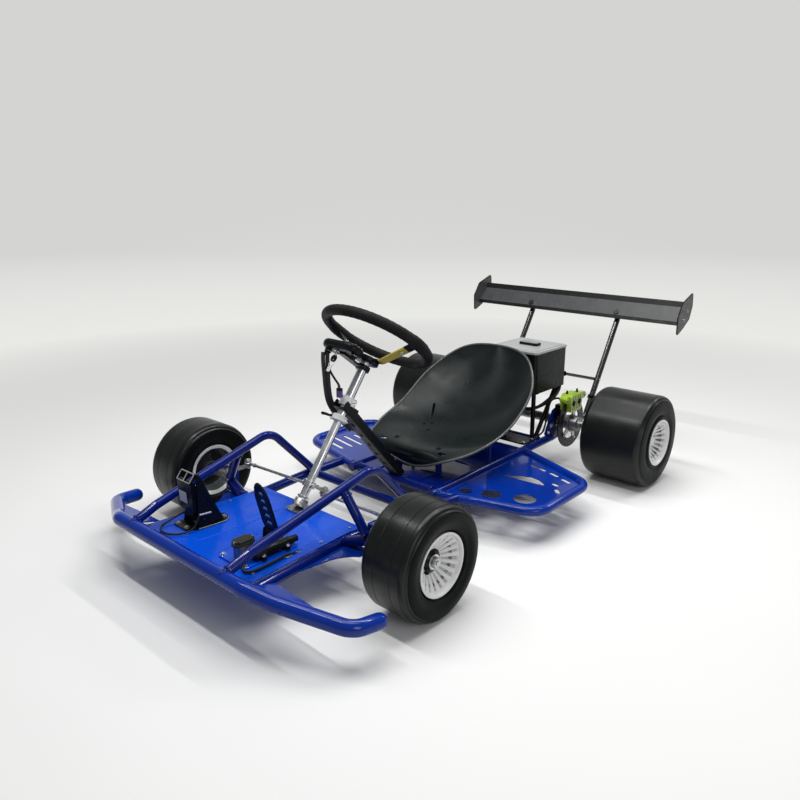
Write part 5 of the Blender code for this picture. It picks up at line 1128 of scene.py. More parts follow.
def make_wheel():
    """Foam grip, thicker where each spoke joins it, and the two spokes on their hub."""
    around = 20
    profile = round_section(WHEEL_RING_RADIUS, WHEEL_GRIP_RADIUS, around)

    def swelling(index, angle):
        extra = 0.0
        for spoke in (0, 180):
            apart = abs((math.degrees(angle) - spoke + 180) % 360 - 180)
            extra = max(extra, 0.0014 * max(0.0, min(1.0, (14 - apart) / 6)))
        a = 2 * math.pi * index / around
        finger = 0.00025 * math.sin(math.degrees(angle) * 0.9)
        return (extra + finger) * math.cos(a), (extra + finger) * math.sin(a)

    grip = Piece("wheel_grip")
    grip.add(GRIP, lathe(profile, WHEEL_CENTRE, COLUMN, 180, swelling))
    grip.make("steering_head", ["steering_wheel_grip"], sharp=50)
    piece = Piece("wheel_spoke_plates")
    piece.add(BLACK, spoke_sheet(0, 0, 3))
    piece.add(GOLD, spoke_sheet(0, 3, 9))
    piece.add(BLACK, spoke_sheet(0, 9, None))
    piece.add(BLACK, spoke_sheet(180, 0, None))
    hub = on_column(0.072)
    piece.add(BLACK, lathe([(0, 0.0002), (0.0325, 0.0002), (0.0335, 0.001), (0.0335, 0.0108),
                            (0.032, 0.012), (0.0, 0.012)], hub, COLUMN, 64))
    piece.add(BLACK, lathe(rectangle(0, -0.015, 0.0104, 0.0), hub, COLUMN, 40))
    piece.add(BLACK, lathe([(0, 0.012), (0.015, 0.012), (0.015, 0.015), (0.0135, 0.0165), (0, 0.0165)],
                           hub, COLUMN, 48))
    frame = column_frame()
    for k in range(6):
        a = math.radians(30 + 60 * k)
        spot = Vector((0.0245 * math.cos(a), 0.0245 * math.sin(a), 0.012 - 0.072))
        piece.add(STEEL, *cap_bolt(spot, UP, 0.0034, 0.003), at=frame)
    rise = math.atan2(WHEEL_DISH, 0.0885)
    normal = Vector((-math.sin(rise), 0, math.cos(rise)))
    for angle in (0, 180):
        turn = Matrix.Rotation(math.radians(angle), 4, "Z")
        spot = Vector((0.1, 0, -0.0285))
        for sign, base in ((1, spot + normal * 0.004), (-1, spot)):
            piece.add(STEEL, *cap_bolt(base, normal * sign, 0.005, 0.0028), at=frame @ turn)
    piece.make("steering_head", ["wheel_spokes"], bevel=0.0006, sharp=40)


CONSOLE_CENTRE = Vector((0, 0.165, 0.489))


def make_console():
    """Display console: a thin black slab with a screen, its bracket and the fittings below."""
    frame = column_frame()
    local = frame.inverted() @ CONSOLE_CENTRE
    piece = Piece("display_console")

    def slab_outline(half_x, half_y, corner, steps):
        corners = rectangle(local.x - half_x, local.y - half_y, local.x + half_x, local.y + half_y)
        return rounded_outline(corners, corner, steps)

    levels = [(-0.011, 0.0095), (-0.0104, 0.006), (-0.009, 0.0032), (-0.006, 0.001), (-0.002, 0.0),
              (0.003, 0.0), (0.0066, 0.0012), (0.009, 0.0038), (0.0101, 0.0066), (0.0104, 0.01)]
    rings = []
    for z, inset in levels:
        outline = slab_outline(0.059 - inset, 0.031 - inset, 0.0295 - inset, 9)
        rings.append([frame @ Vector((x, y, local.z + z)) for x, y in outline])
    around = len(rings[0])
    faces = [tuple(range(around - 1, -1, -1)), tuple(range((len(rings) - 1) * around, len(rings) * around))]
    for k in range(len(rings) - 1):
        for j in range(around):
            a, b = k * around + j, k * around + (j + 1) % around
            faces.append((a, b, b + around, a + around))
    piece.add(PLASTIC, ([p for ring in rings for p in ring], faces))
    screen = slab_outline(0.04, 0.019, 0.004, 7)
    piece.add(SCREEN, plate(screen, 0.0108 - 0.0104, raised(frame, local.z + 0.0104)))
    for x in (-0.048, 0.048):
        for y in (-0.012, 0.0, 0.012):
            spot = Vector((local.x + x, local.y + y, local.z + 0.0104))
            piece.add(GREY_PLASTIC, lathe([(0, 0), (0.0032, 0), (0.0032, 0.0008), (0.0026, 0.0013),
                                           (0, 0.0013)], spot, UP, 24), at=frame)
    ring_z = -0.088
    arm = rectangle(-0.012, local.y, 0.012, -0.006)
    piece.add(BLACK, plate(rounded_outline(arm, 0.002), 0.005, raised(frame, ring_z - 0.0065)))
    post = block((-0.0118, local.y + 0.001, ring_z - 0.0068), (0.0118, local.y + 0.006, local.z - 0.01))
    piece.add(BLACK, post, at=frame)
    piece.add(BLACK, sleeve(on_column(0.096), on_column(0.082), 0.0127, 0.0185, 40, 0.0012))
    for x in (-0.046, 0.046):
        spot = Vector((x, local.y, local.z - 0.011))
        piece.add(BLACK, lathe([(0, 0), (0.0088, 0), (0.0088, 0.006), (0.0072, 0.0075), (0.0072, 0.014),
                                (0.006, 0.016), (0, 0.016)], spot, -UP, 28), at=frame)
        piece.add(STEEL, torus(spot - UP * 0.0035, UP, 0.0089, 0.0008, 32, 8), at=frame)
    key_spot = Vector((-0.008, local.y - 0.006, local.z - 0.011))
    piece.add(STEEL, sleeve(key_spot, key_spot - UP * 0.003, 0.004, 0.008, 32, 0.0006), at=frame)
    hole = moved(bar(key_spot - UP * 0.002, key_spot + UP * 0.01, 0.0039, 20), frame)
    piece.make("steering_head", ["console"], bevel=0.0005, sharp=40, cuts=[hole])
    make_key(frame, key_spot)


def make_key(frame, spot):
    """Ignition key with a thin wire loop and a small tag on it."""
    piece = Piece("start_key")
    piece.add(STEEL, bar(spot - UP * 0.014, spot + UP * 0.009, 0.0034, 24, 0.0005), at=frame)
    outline = [(-0.003, 0.0), (0.003, 0.0), (0.009, 0.006), (0.009, 0.014), (0.004, 0.019),
               (-0.004, 0.019), (-0.009, 0.014), (-0.009, 0.006)]
    bow_frame = (frame @ Matrix.Translation(spot - UP * 0.012 - REARWARD * 0.0015)
                 @ Matrix.Rotation(math.radians(-90), 4, "X"))
    piece.add(PLASTIC, plate(rounded_outline(outline, 0.003), 0.003, bow_frame,
                             [circle(0, 0.0135, 0.0026, 16)]))
    loop = torus(bow_frame @ Vector((0, 0.0225, 0.0015)), bow_frame.to_3x3() @ UP, 0.0088, 0.0005, 40, 8)
    piece.add(STEEL, loop)
    tag = rounded_outline(rectangle(-0.006, 0.03, 0.006, 0.046), 0.003, 5)
    piece.add(LABEL, plate(tag, 0.0016, raised(bow_frame, 0.0008), [circle(0, 0.0325, 0.0014, 12)]))
    piece.make("ignition_key", ["ignition_key"], bevel=0.0003, sharp=40)


HARNESS = [(-0.046, 0.1475, 0.4745), (-0.048, 0.148, 0.455), (-0.0455, 0.147, 0.425),
           (-0.041, 0.146, 0.385), (-0.037, 0.15, 0.35), (-0.036, 0.168, 0.318), (-0.0345, 0.195, 0.285),
           (-0.0316, 0.222, 0.256)]


def make_harness():
    """Two braided cables from the console down to the channel, with a purple connector beside them."""
    path = smooth_curve(HARNESS, 0.004)
    split = len(path) // 2
    upper = Piece("harness_upper")
    lower = Piece("harness_lower")
    for shift in (-1, 1):
        apart = Vector((0.0032, 0.0038, 0)) * shift
        lane = [p + apart + ACROSS * (0.001 * math.sin(k * 0.12 + shift)) for k, p in enumerate(path)]
        upper.add(BRAID, swept(lane[:split + 1], 0.0052, 18))
        lower.add(BRAID, swept(lane[split:], 0.0052, 18))
    frame = Matrix.Translation((0.002, 0.148, 0.376))
    body = rounded_outline(rectangle(-0.0075, -0.0055, 0.0075, 0.0055), 0.0025)
    upper.add(PURPLE, plate(body, 0.017, raised(frame, -0.0088)))
    upper.add(PLASTIC, plate(body, 0.006, raised(frame, 0.0085)))
    for x in (-0.001, 0.004):
        wire = [(x, 0.148, 0.388), (x - 0.003, 0.1485, 0.399), (x - 0.014, 0.148, 0.41),
                (x - 0.03, 0.147, 0.428), (x - 0.04, 0.147, 0.446)]
        upper.add(CABLE, swept(smooth_curve(wire, 0.004), 0.0016, 10))
    tie = split + 14
    band = rectangle(0.009, -0.0018, 0.0104, 0.0018)
    lower.add(PLASTIC, lathe(band, path[tie], path[tie + 1] - path[tie - 1], 28))
    first = upper.make(None, ["harness"], sharp=50)
    second = lower.make(None, (), sharp=50)
    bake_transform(first)
    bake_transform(second)


def rod_end(piece, centre, axis, run):
    """Rod end bearing: ring, ball, and the shank with its lock nut along the rod."""
    piece.add(ZINC, lathe([(0.0062, -0.003), (0.0092, -0.003), (0.01, -0.0022), (0.01, 0.0022),
                           (0.0092, 0.003), (0.0062, 0.003)], centre, axis, 40))
    ball = [(0.0034, -0.0042), (0.0047, -0.0036), (0.0057, -0.0022), (0.0062, 0), (0.0057, 0.0022),
            (0.0047, 0.0036), (0.0034, 0.0042)]
    piece.add(STEEL, lathe(ball, centre, axis, 32))
    piece.add(ZINC, bar(centre + run * 0.0088, centre + run * 0.024, 0.004, 24))
    piece.add(ZINC, bar(centre + run * 0.024, centre + run * 0.0285, 0.0062, 6, 0.0005))


def make_tie_rods():
    pitman = pitman_eye()
    for side, word, level in ((1, "left", -1), (-1, "right", 1)):
        inner = pitman + COLUMN * (level * 0.0058)
        outer = Vector((side * KINGPIN_X, STEERING_ARM_LENGTH, 0.1463))
        run = (outer - inner).normalized()
        piece = Piece(f"track_rod_{word}")
        rod_end(piece, inner, COLUMN, run)
        rod_end(piece, outer, UP, -run)
        piece.add(STEEL, bar(inner + run * 0.0285, outer - run * 0.0285, 0.004, 28, 0.0005))
        piece.make(f"tie_rod_{word}", [f"tie_rod_{word}"], sharp=40)


def make_spindle(side, word):
    """Spindle with its kingpin bolt, spacers, steering arm and the stub axle of the front wheel."""
    x, z = KINGPIN_X, FRONT_TYRE_RADIUS
    low, high = z - 0.0288, z + 0.0288
    shoulder = FRONT_TRACK / 2 - 0.0453 - x
    nut = FRONT_TRACK / 2 + 0.0333 - x
    arm_top = z + 0.016 + 0.0003 + 0.006 + 0.0055
    piece = Piece(f"steering_knuckle_{word}")

    def add(look, *solids):
        piece.add(look, *solids, side=side)

    for bottom, top, radius, look in (
            (low, low + 0.005, 0.009, BRASS), (low + 0.005, high - 0.005, 0.0105, ZINC),
            (high - 0.005, high, 0.009, BRASS), (low - 0.008, high + 0.008, 0.005, STEEL)):
        add(look, bar((x, 0, bottom), (x, 0, top), radius, 32, 0.0006))
    for sign in (1, -1):
        add(STEEL, *hex_bolt(Vector((x, 0, z + sign * 0.0343)), UP * sign, 0.0088, 0.0056))
    stub = [(0, 0.002), (0.0095, 0.002), (0.0105, 0.012), (0.0108, 0.03), (0.0135, shoulder - 0.006),
            (0.014, shoulder - 0.004), (0.014, shoulder), (0.008, shoulder), (0.008, nut), (0, nut)]
    add(ZINC, lathe(stub, (x, 0, z), ACROSS, 40))
    add(STEEL, *hex_bolt(Vector((x + nut, 0, z)), ACROSS, 0.0122, 0.008),
        bar((x + nut + 0.007, 0, z), (x + nut + 0.0125, 0, z), 0.0058, 28, 0.0008))
    end_y = STEERING_ARM_LENGTH
    arm = ([(x - 0.0095, 0.002), (x - 0.007, 0.045), (x - 0.007, end_y)] + arm_end(x, 0.007)
           + [(x + 0.007, end_y), (x + 0.007, 0.045), (x + 0.0095, 0.002)])
    add(ZINC, plate(arm, 0.006, at_height(z + 0.01)))
    add(STEEL, bar((x, end_y, z + 0.008), (x, end_y, arm_top), 0.003, 20),
        *hex_bolt(Vector((x, end_y, arm_top)), UP, 0.0062, 0.003),
        *hex_bolt(Vector((x, end_y, z + 0.01)), -UP, 0.0062, 0.004))
    piece.make(f"spindle_{word}", [f"spindle_{word}"], bevel=0.0004, sharp=40)


def make_steering():
    make_column_support()
    make_floor_bearing()
    make_shaft()
    make_tube_and_clamp()
    make_wheel()
    make_console()
    make_harness()
    make_tie_rods()
    for side, word in SIDES:
        make_spindle(side, word)


# Wheels

RIBS = 20
RIM_SIDES = RIBS * 10
HUB_ROWS = 6
TYRE_SIDES = 128
SIDEWALL_ROWS = 11


def make_rim(side, word, end, track, y, radius, rim_width, hole, hub_inner, hub_outer, body):
    """White rim: rolled flanges, a dropped well and a coned face with narrow radial ribs."""
    h = rim_width / 2
    face = hub_outer - 0.006
    low, high = 0.0622, h - 0.0068
    profile = [(0.07, -h), (0.07, -h + 0.0022), (0.0655, -h + 0.0052), (0.0635, -h + 0.0075),
               (0.0635, -h + 0.019), (0.061, -h + 0.0225), (0.055, -h + 0.027), (0.055, h - 0.027),
               (0.061, h - 0.0225), (0.0635, h - 0.019), (0.0635, h - 0.0075), (0.0655, h - 0.0052),
               (0.07, h - 0.0022), (0.07, h), (0.068, h + 0.0006), (0.0655, h + 0.0002),
               (0.064, h - 0.0018), (0.063, h - 0.0042), (low, high)]
    ribbed = {}
    for share, height in ((0.03, 0.0), (0.055, 1.0), (0.28, 1.0), (0.48, 0.9), (0.5, 0.75), (0.7, 0.75),
                          (0.93, 0.6), (0.96, 0.0)):
        ribbed[len(profile)] = height
        profile.append((low + (0.0265 - low) * share, high + (face - high) * share))
    profile += [(0.0265, face), (0.0225, face + 0.0015), (0.019, hub_outer - 0.0008), (0.0182, hub_outer),
                (hole, hub_outer), (hole, -hub_inner), (0.02, -hub_inner), (0.0205, -hub_inner + 0.004),
                (0.0215, face - 0.014), (0.05, h - 0.016), (0.0515, h - 0.03), (0.0515, -h + 0.03),
                (0.059, -h + 0.0205), (0.06, -h + 0.003), (0.066, -h - 0.0002)]

    def ripple(index, angle):
        if index not in ribbed:
            return 0, 0
        wave = math.cos(RIBS * angle)
        crest = 0.5 + 0.5 * math.copysign(abs(wave) ** 0.45, wave)
        return 0, (crest - 0.72) * 0.0058 * ribbed[index]

    centre = Vector((track / 2, y, radius))
    piece = Piece(f"wheel_rim_{end}_{word}")
    piece.add(WHITE, lathe(profile, centre, ACROSS, RIM_SIDES, ripple), side=side)
    valleys = [k for k in range(RIM_SIDES) if math.cos(RIBS * 2 * math.pi * (k + 0.5) / RIM_SIDES) < -0.1]
    # The valleys between the ribs take grey painted shade.
    piece.repaint(RIM_SHADE, [row * RIM_SIDES + k for row in sorted(ribbed)[1:-2] for k in valleys])
    hub = (max(ribbed) + 1) * RIM_SIDES
    back = hub + HUB_ROWS * RIM_SIDES
    piece.repaint(BLACK, range(hub, back))
    # The rim's inner side takes dark painted shade.
    piece.repaint(RIM_INNER_SHADE, range(back, (len(profile) - 2) * RIM_SIDES))
    seal = [(hole + 0.0004, 0), (0.0158, 0), (0.0158, 0.0016), (0.0148, 0.0022), (hole + 0.0004, 0.0022)]
    piece.add(BLACK, lathe(seal, centre + ACROSS * (hub_outer - 0.0012), ACROSS, 48), side=side)
    if end == "front":
        valve = [(0, -0.004), (0.0036, -0.004), (0.0036, 0.004), (0.0028, 0.005), (0.0028, 0.01), (0, 0.01)]
        spot = centre + Vector((face + 0.001, -0.024, -0.018))
        piece.add(PLASTIC, lathe(valve, spot, (0.9, 0.25, 0.2), 16), side=side)
    else:
        for a in (math.radians(90 + 120 * k + 60) for k in range(3)):
            bolt = centre + Vector((face + 0.0004, 0.0218 * math.cos(a), 0.0218 * math.sin(a)))
            piece.add(STEEL, *hex_bolt(bolt, ACROSS, 0.004, 0.003), side=side)
    piece.make(body, [f"{end}_rim_{word}"], sharp=38)


def make_tyre(side, word, end, track, y, radius, width, rim_width, body):
    """Slick tyre: rounded shoulders with two thin rings, a bulging sidewall and its bead."""
    w = width / 2
    h = rim_width / 2
    crown = 0.0012
    half = [(0.0643, h - 0.007), (0.07, h - 0.0052), (0.0735, h - 0.002), (0.077, (h + w) / 2 - 0.0006),
            (0.083, w - 0.0036), (0.09, w - 0.001), (0.096, w), (0.102, w - 0.0002),
            (radius - 0.02, w - 0.0008), (radius - 0.0145, w - 0.0022)]
    for groove in (radius - 0.014, radius - 0.0092):
        out = w - 0.0026 - (groove - radius + 0.014) * 0.7
        half += [(groove - 0.0008, out), (groove, out - 0.0018), (groove + 0.0008, out - 0.0006)]
    half += [(radius - 0.0052, w - 0.0076), (radius - 0.003, w - 0.0106), (radius - 0.0014, w - 0.015),
             (radius - crown * 0.5, w - 0.023)]
    for x in ((w * 0.7, w * 0.34) if end == "front" else (w * 0.8,)):
        deep = radius - crown * 0.3
        half += [(deep, x + 0.001), (deep - 0.0014, x), (deep, x - 0.001)]
    half.append((radius, w * 0.12))
    inner = [(radius - 0.01, w - 0.024), (0.09, w - 0.012), (0.0643, h - 0.02)]
    profile = (half + [(r, -x) for r, x in half[::-1]] + [(r, -x) for r, x in inner[::-1]] + inner)
    centre = Vector((track / 2, y, radius))
    piece = Piece(f"slick_tyre_{end}_{word}")
    piece.add(TYRE, lathe(profile, centre, ACROSS, TYRE_SIDES), side=side)
    inboard = 2 * len(half) - 1 - SIDEWALL_ROWS
    rows = [*range(SIDEWALL_ROWS), *range(inboard, len(profile))]
    piece.repaint(TYRE_SIDE, [row * TYRE_SIDES + k for row in rows for k in range(TYRE_SIDES)])
    piece.make(body, [f"{end}_tyre_{word}"], sharp=40)


def make_wheels():
    for side, word in SIDES:
        front = (FRONT_TRACK, 0.0, FRONT_TYRE_RADIUS)
        make_rim(side, word, "front", *front, 0.113, 0.0083, 0.045, 0.033, f"front_wheel_{word}")
        make_tyre(side, word, "front", *front, 0.128, 0.113, f"front_wheel_{word}")
        rear = (REAR_TRACK, WHEELBASE, REAR_TYRE_RADIUS)
        make_rim(side, word, "rear", *rear, 0.2, 0.0124, -0.02, 0.07, "rear_axle")
        make_tyre(side, word, "rear", *rear, 0.196, 0.2, "rear_axle")


# Drive and brake

AXLE = Vector((0, WHEELBASE, REAR_TYRE_RADIUS))
SPROCKET_TEETH = 48
PINION_TEETH = 12
CHAIN_PITCH = 2 * 0.0625 * math.sin(math.pi / SPROCKET_TEETH)


def on_axle(x):
    """Upright frame at a given x, centred on the rear axle."""
    return upright(x, AXLE.y, AXLE.z)


def make_axle():
    """Live axle with its locking collars and, behind each rear wheel, the flange with its screws."""
    piece = Piece("live_axle")
    half = [(0.015, 0.3735), (0.017, 0.3742), (0.024, 0.377), (0.024, 0.4037), (0.012, 0.4037),
            (0.012, 0.454), (0, 0.454)]
    piece.add(ZINC, lathe([(r, -x) for r, x in half[::-1]] + half, AXLE, ACROSS, 64))
    collar = [(0.0152, 0), (0.019, 0), (0.0196, 0.0008), (0.0196, 0.0062), (0.019, 0.007), (0.0152, 0.007)]
    ring = rectangle(0.0152, 0, 0.0205, 0.012)
    for side in (1, -1):
        out = ACROSS * side
        piece.add(STEEL, *hex_bolt(AXLE + out * 0.4541, out, 0.0165, 0.0075),
                  lathe(collar, AXLE + out * 0.1495, out, 48))
        piece.add(CAST, lathe(ring, AXLE + out * 0.36, out, 48))
        for y, z in circle(0, 0, 0.0205, 6):
            piece.add(STEEL, *cap_bolt(AXLE + Vector((side * 0.3765, y, z)), -out, 0.0024, 0.0026))
    piece.make("rear_axle", ["rear_axle"], bevel=0.0003, sharp=40)


def make_disc():
    """Ground disc with rings of drilled holes on a five-armed silver carrier."""
    piece = Piece("disc_rotor")
    holes = [circle(0, 0, 0.051, 72)]
    for a in (2 * math.pi * k / 20 for k in range(20)):
        for ring, turn in ((0.061, 0.0), (0.0715, 0.5)):
            b = a + turn * 2 * math.pi / 20
            holes.append(circle(ring * math.cos(b), ring * math.sin(b), 0.0026, 12))
    piece.add(DISC_STEEL, plate(circle(0, 0, DISC_RADIUS, 120), 0.004, on_axle(DISC_X - 0.002), holes))
    arms = 5
    carrier = []
    for a in (2 * math.pi * k / (arms * 24) for k in range(arms * 24)):
        reach = 0.03 + 0.0275 * max(0.0, math.cos(arms * a)) ** 1.6
        carrier.append((reach * math.cos(a), reach * math.sin(a)))
    piece.add(CARRIER, plate(carrier, 0.0036, on_axle(DISC_X + 0.0022), [circle(0, 0, 0.0155, 36)]))
    for y, z in circle(0, 0, 0.0545, arms):
        piece.add(STEEL, *hex_bolt(AXLE + Vector((DISC_X + 0.0058, y, z)), ACROSS, 0.0036, 0.0026))
    hub = [(0.0153, -0.01), (0.023, -0.01), (0.024, -0.0092), (0.024, 0.004), (0.029, 0.006),
           (0.029, 0.0095), (0.025, 0.011), (0.024, 0.027), (0.023, 0.03), (0.0153, 0.03)]
    piece.add(CAST, lathe(hub, AXLE + ACROSS * (DISC_X - 0.002), ACROSS, 56))
    piece.make("rear_axle", ["brake_disc"], bevel=0.0002, sharp=40)


def make_caliper():
    """Lime caliper that straddles the disc: finned cheeks, mounting ears, bleed screw and hose union."""
    piece = Piece("caliper_body")
    side_view = [(-0.035, 0.046), (-0.03, 0.043), (0.026, 0.043), (0.033, 0.05), (0.033, 0.092),
                 (0.026, 0.1), (-0.028, 0.1), (-0.035, 0.092)]
    ears = [(-0.057, 0.08), (-0.05, 0.074), (0.062, 0.074), (0.069, 0.08), (0.069, 0.09), (0.062, 0.096),
            (-0.05, 0.096), (-0.057, 0.09)]
    arm = rectangle(-0.033, 0.02, -0.007, 0.06)
    for look, outline, corner, thickness, x in ((LIME, side_view, 0.004, 0.038, DISC_X - 0.02),
                                                (LIME, ears, 0.004, 0.024, DISC_X - 0.012),
                                                (BLACK, arm, 0.003, 0.0227, HANGER_X + 0.0043)):
        piece.add(look, plate(rounded_outline(outline, corner), thickness, on_axle(x)))
    disc = AXLE + ACROSS * DISC_X
    cuts = [lathe(rectangle(0, -0.0028, 0.083, 0.0028), disc, ACROSS, 72),
            bar(disc - ACROSS * 0.03, disc + ACROSS * 0.04, 0.04, 48)]
    for y in (-0.022 + 0.011 * k for k in range(5)):
        for low, high in (((0.0145, y - 0.0022, 0.05), (0.03, y + 0.0022, 0.094)),
                          ((-0.022, y - 0.0022, 0.0965), (0.022, y + 0.0022, 0.11))):
            cuts.append(block(disc + Vector(low), disc + Vector(high)))
    piece.make("chassis", ["brake_caliper"], bevel=0.0007, sharp=40, cuts=cuts)
    extras = Piece("caliper_fittings")
    for y in (-0.05, 0.062):
        extras.add(STEEL, *cap_bolt(disc + Vector((0.012, y, 0.085)), ACROSS, 0.005, 0.004))
    cover = [(0, 0), (0.009, 0), (0.009, 0.002), (0.0078, 0.003), (0, 0.003)]
    screw = [(0, 0), (0.0042, 0), (0.0042, 0.004), (0.003, 0.005), (0.003, 0.01), (0.0018, 0.011),
             (0, 0.011)]
    for k, y in enumerate((-0.018, 0.018)):
        extras.add(BLACK, lathe(cover, disc + Vector((0.0178, y, 0.072)), ACROSS, 36),
                   lathe(screw, disc + Vector((0.01 * k - 0.006, y * 1.25, 0.1)), UP, 20))
    union = disc + Vector((-0.03, -0.027, 0.08))
    extras.add(BRASS, bar(union, union + ACROSS * 0.0095, 0.0046, 6, 0.0004))
    extras.make("chassis", (), bevel=0.0002, sharp=40)


def toothed(pitch_radius, teeth):
    """Outline of a sprocket: round valleys for the rollers and blunt tips."""
    outline = []
    count = teeth * 8
    for a in (2 * math.pi * k / count for k in range(count)):
        wave = math.cos(teeth * a)
        reach = pitch_radius + (0.0019 * wave if wave > 0 else -0.0022 * abs(wave) ** 0.6)
        outline.append((reach * math.cos(a), reach * math.sin(a)))
    return outline


def belt_path(front_radius, rear_radius, step):
    """Points (y, z) evenly along the chain's loop round the motor pinion and the axle sprocket."""
    line = Vector((AXLE.y - MOTOR_Y, AXLE.z - MOTOR_Z))
    lean = math.atan2(line.y, line.x)
    swing = math.acos((front_radius - rear_radius) / line.length)
    dense = []
    for k in range(121):
        a = lean + swing + (2 * math.pi - 2 * swing) * k / 120
        dense.append(Vector((MOTOR_Y + front_radius * math.cos(a), MOTOR_Z + front_radius * math.sin(a))))
    for k in range(241):
        a = lean - swing + 2 * swing * k / 240
        dense.append(Vector((AXLE.y + rear_radius * math.cos(a), AXLE.z + rear_radius * math.sin(a))))
    dense.append(dense[0])
    lengths = [0.0]
    for a, b in zip(dense, dense[1:]):
        lengths.append(lengths[-1] + (b - a).length)
    count = 2 * round(lengths[-1] / step / 2)
    spots = []
    k = 0
    for j in range(count):
        goal = lengths[-1] * j / count
        while lengths[k + 1] < goal:
            k += 1
        share = (goal - lengths[k]) / (lengths[k + 1] - lengths[k])
        spots.append(dense[k].lerp(dense[k + 1], share))
    return spots


def make_chain_drive():
    """Sprocket on the axle, pinion on the motor's shaft and the roller chain round both."""
    sprocket = Piece("axle_sprocket")
    holes = [circle(0, 0, 0.0153, 36)]
    for a in (2 * math.pi * k / 6 for k in range(6)):
        b = a + math.pi / 6
        holes.append(circle(0.0415 * math.cos(a), 0.0415 * math.sin(a), 0.0095, 24))
        holes.append(circle(0.048 * math.cos(b), 0.048 * math.sin(b), 0.0042, 16))
    teeth_x = SPROCKET_X - 0.0018
    sprocket.add(DISC_STEEL, plate(toothed(0.0625, SPROCKET_TEETH), 0.0036, on_axle(teeth_x), holes))
    half = [(0.029, 0.0019), (0.029, 0.004), (0.024, 0.0045), (0.024, 0.011), (0.023, 0.012),
            (0.0153, 0.012)]
    boss = [(r, -x) for r, x in half[::-1]] + half
    sprocket.add(CAST, lathe(boss, AXLE + ACROSS * SPROCKET_X, ACROSS, 48))
    for a in (2 * math.pi * (k + 0.5) / 6 for k in range(6)):
        spot = AXLE + Vector((SPROCKET_X - 0.004, 0.0262 * math.cos(a), 0.0262 * math.sin(a)))
        sprocket.add(STEEL, *cap_bolt(spot, -ACROSS, 0.0024, 0.002))
    sprocket.make("rear_axle", ["sprocket"], sharp=40)
    pinion = Piece("motor_pinion_gear")
    pinion.add(DISC_STEEL, plate(toothed(0.0158, PINION_TEETH), 0.0036, upright(teeth_x, MOTOR_Y, MOTOR_Z)))
    shaft = [(0, -0.008), (0.0105, -0.008), (0.011, -0.0075), (0.011, 0.008), (0.006, 0.008),
             (0.006, 0.095), (0, 0.095)]
    pinion.add(STEEL, lathe(shaft, (SPROCKET_X, MOTOR_Y, MOTOR_Z), ACROSS, 36))
    pinion.make("motor_pinion", ["motor_pinion"], bevel=0.0002, sharp=40)
    chain = Piece("roller_chain")
    spots = belt_path(0.016, 0.0627, CHAIN_PITCH)
    for k, (here, ahead) in enumerate(zip(spots, spots[1:] + spots[:1])):
        run = ahead - here
        middle = (here + ahead) / 2
        lean = Matrix.Rotation(math.atan2(run.y, run.x), 4, "Z")
        link = slot(0, 0, run.length + 0.0056, 0.0056, 0, 5)
        inside = 0.0031 if k % 2 else 0.002
        for x in (SPROCKET_X + inside, SPROCKET_X - inside - 0.001):
            chain.add(CHAIN_STEEL, plate(link, 0.001, upright(x, middle.x, middle.y) @ lean))
        pin = Vector((SPROCKET_X, here.x, here.y))
        chain.add(STEEL, bar(pin - ACROSS * 0.0045, pin + ACROSS * 0.0045, 0.0012, 10))
        chain.add(CHAIN_STEEL, bar(pin - ACROSS * 0.002, pin + ACROSS * 0.002, 0.0021, 14))
    chain.make("chassis", ["drive_chain"], sharp=40)


def make_motor():
    """Finned motor with its terminals, on a plate that lies on the rear rails."""
    piece = Piece("drive_motor")
    left = SPROCKET_X + 0.057
    length = 0.17
    profile = [(0, 0), (0.018, 0), (0.018, -0.004), (0.026, -0.004), (0.027, 0.001), (0.04, 0.001),
               (0.048, 0.006), (0.05, 0.01), (0.05, 0.022), (0.048, 0.024)]
    fins = 11
    for x in (0.028 + k * 0.0108 for k in range(fins)):
        profile += [(0.0455, x), (0.0455, x + 0.004), (0.0498, x + 0.0052), (0.0498, x + 0.0088)]
    profile += [(0.048, length - 0.024), (0.05, length - 0.022), (0.05, length - 0.01),
                (0.047, length - 0.004), (0.038, length), (0, length)]
    piece.add(BLACK, lathe(profile, (left, MOTOR_Y, MOTOR_Z), ACROSS, 72))
    base = rounded_outline(rectangle(-0.139, MOTOR_Y - 0.034, 0.139, MOTOR_Y + 0.034), 0.006)
    top = REAR_RAIL_Z + RAIL_RADIUS + 0.0003
    piece.add(BLACK, plate(base, 0.0047, at_height(top)))
    foot = [(-0.03, top + 0.004), (0.03, top + 0.004), (0.03, top + 0.012), (0.02, MOTOR_Z - 0.03),
            (-0.02, MOTOR_Z - 0.03), (-0.03, top + 0.012)]
    for x in (left + 0.02, left + length - 0.034):
        piece.add(CAST, plate(foot, 0.014, upright(x, MOTOR_Y)))
    for x in (0.13, -0.13):
        for y in (-0.024, 0.024):
            piece.add(STEEL, *hex_bolt(Vector((x, MOTOR_Y + y, top + 0.0047)), UP, 0.0048))
    post = [(0, 0), (0.005, 0), (0.005, 0.003), (0.003, 0.003), (0.003, 0.012), (0, 0.012)]
    seat = rectangle(0, -0.002, 0.0085, 0.002)
    for a in (math.radians(60 + 30 * k) for k in range(3)):
        spot = Vector((left + length - 0.04, MOTOR_Y + 0.048 * math.cos(a), MOTOR_Z + 0.048 * math.sin(a)))
        out = Vector((0, math.cos(a), math.sin(a)))
        piece.add(BRASS, lathe(post, spot, out, 20))
        piece.add(PLASTIC, lathe(seat, spot, out, 24))
    bore = bar((SPROCKET_X, MOTOR_Y, MOTOR_Z), (SPROCKET_X + 0.0985, MOTOR_Y, MOTOR_Z), 0.0064, 32)
    piece.make("chassis", ["motor"], bevel=0.0003, sharp=40, cuts=[bore])


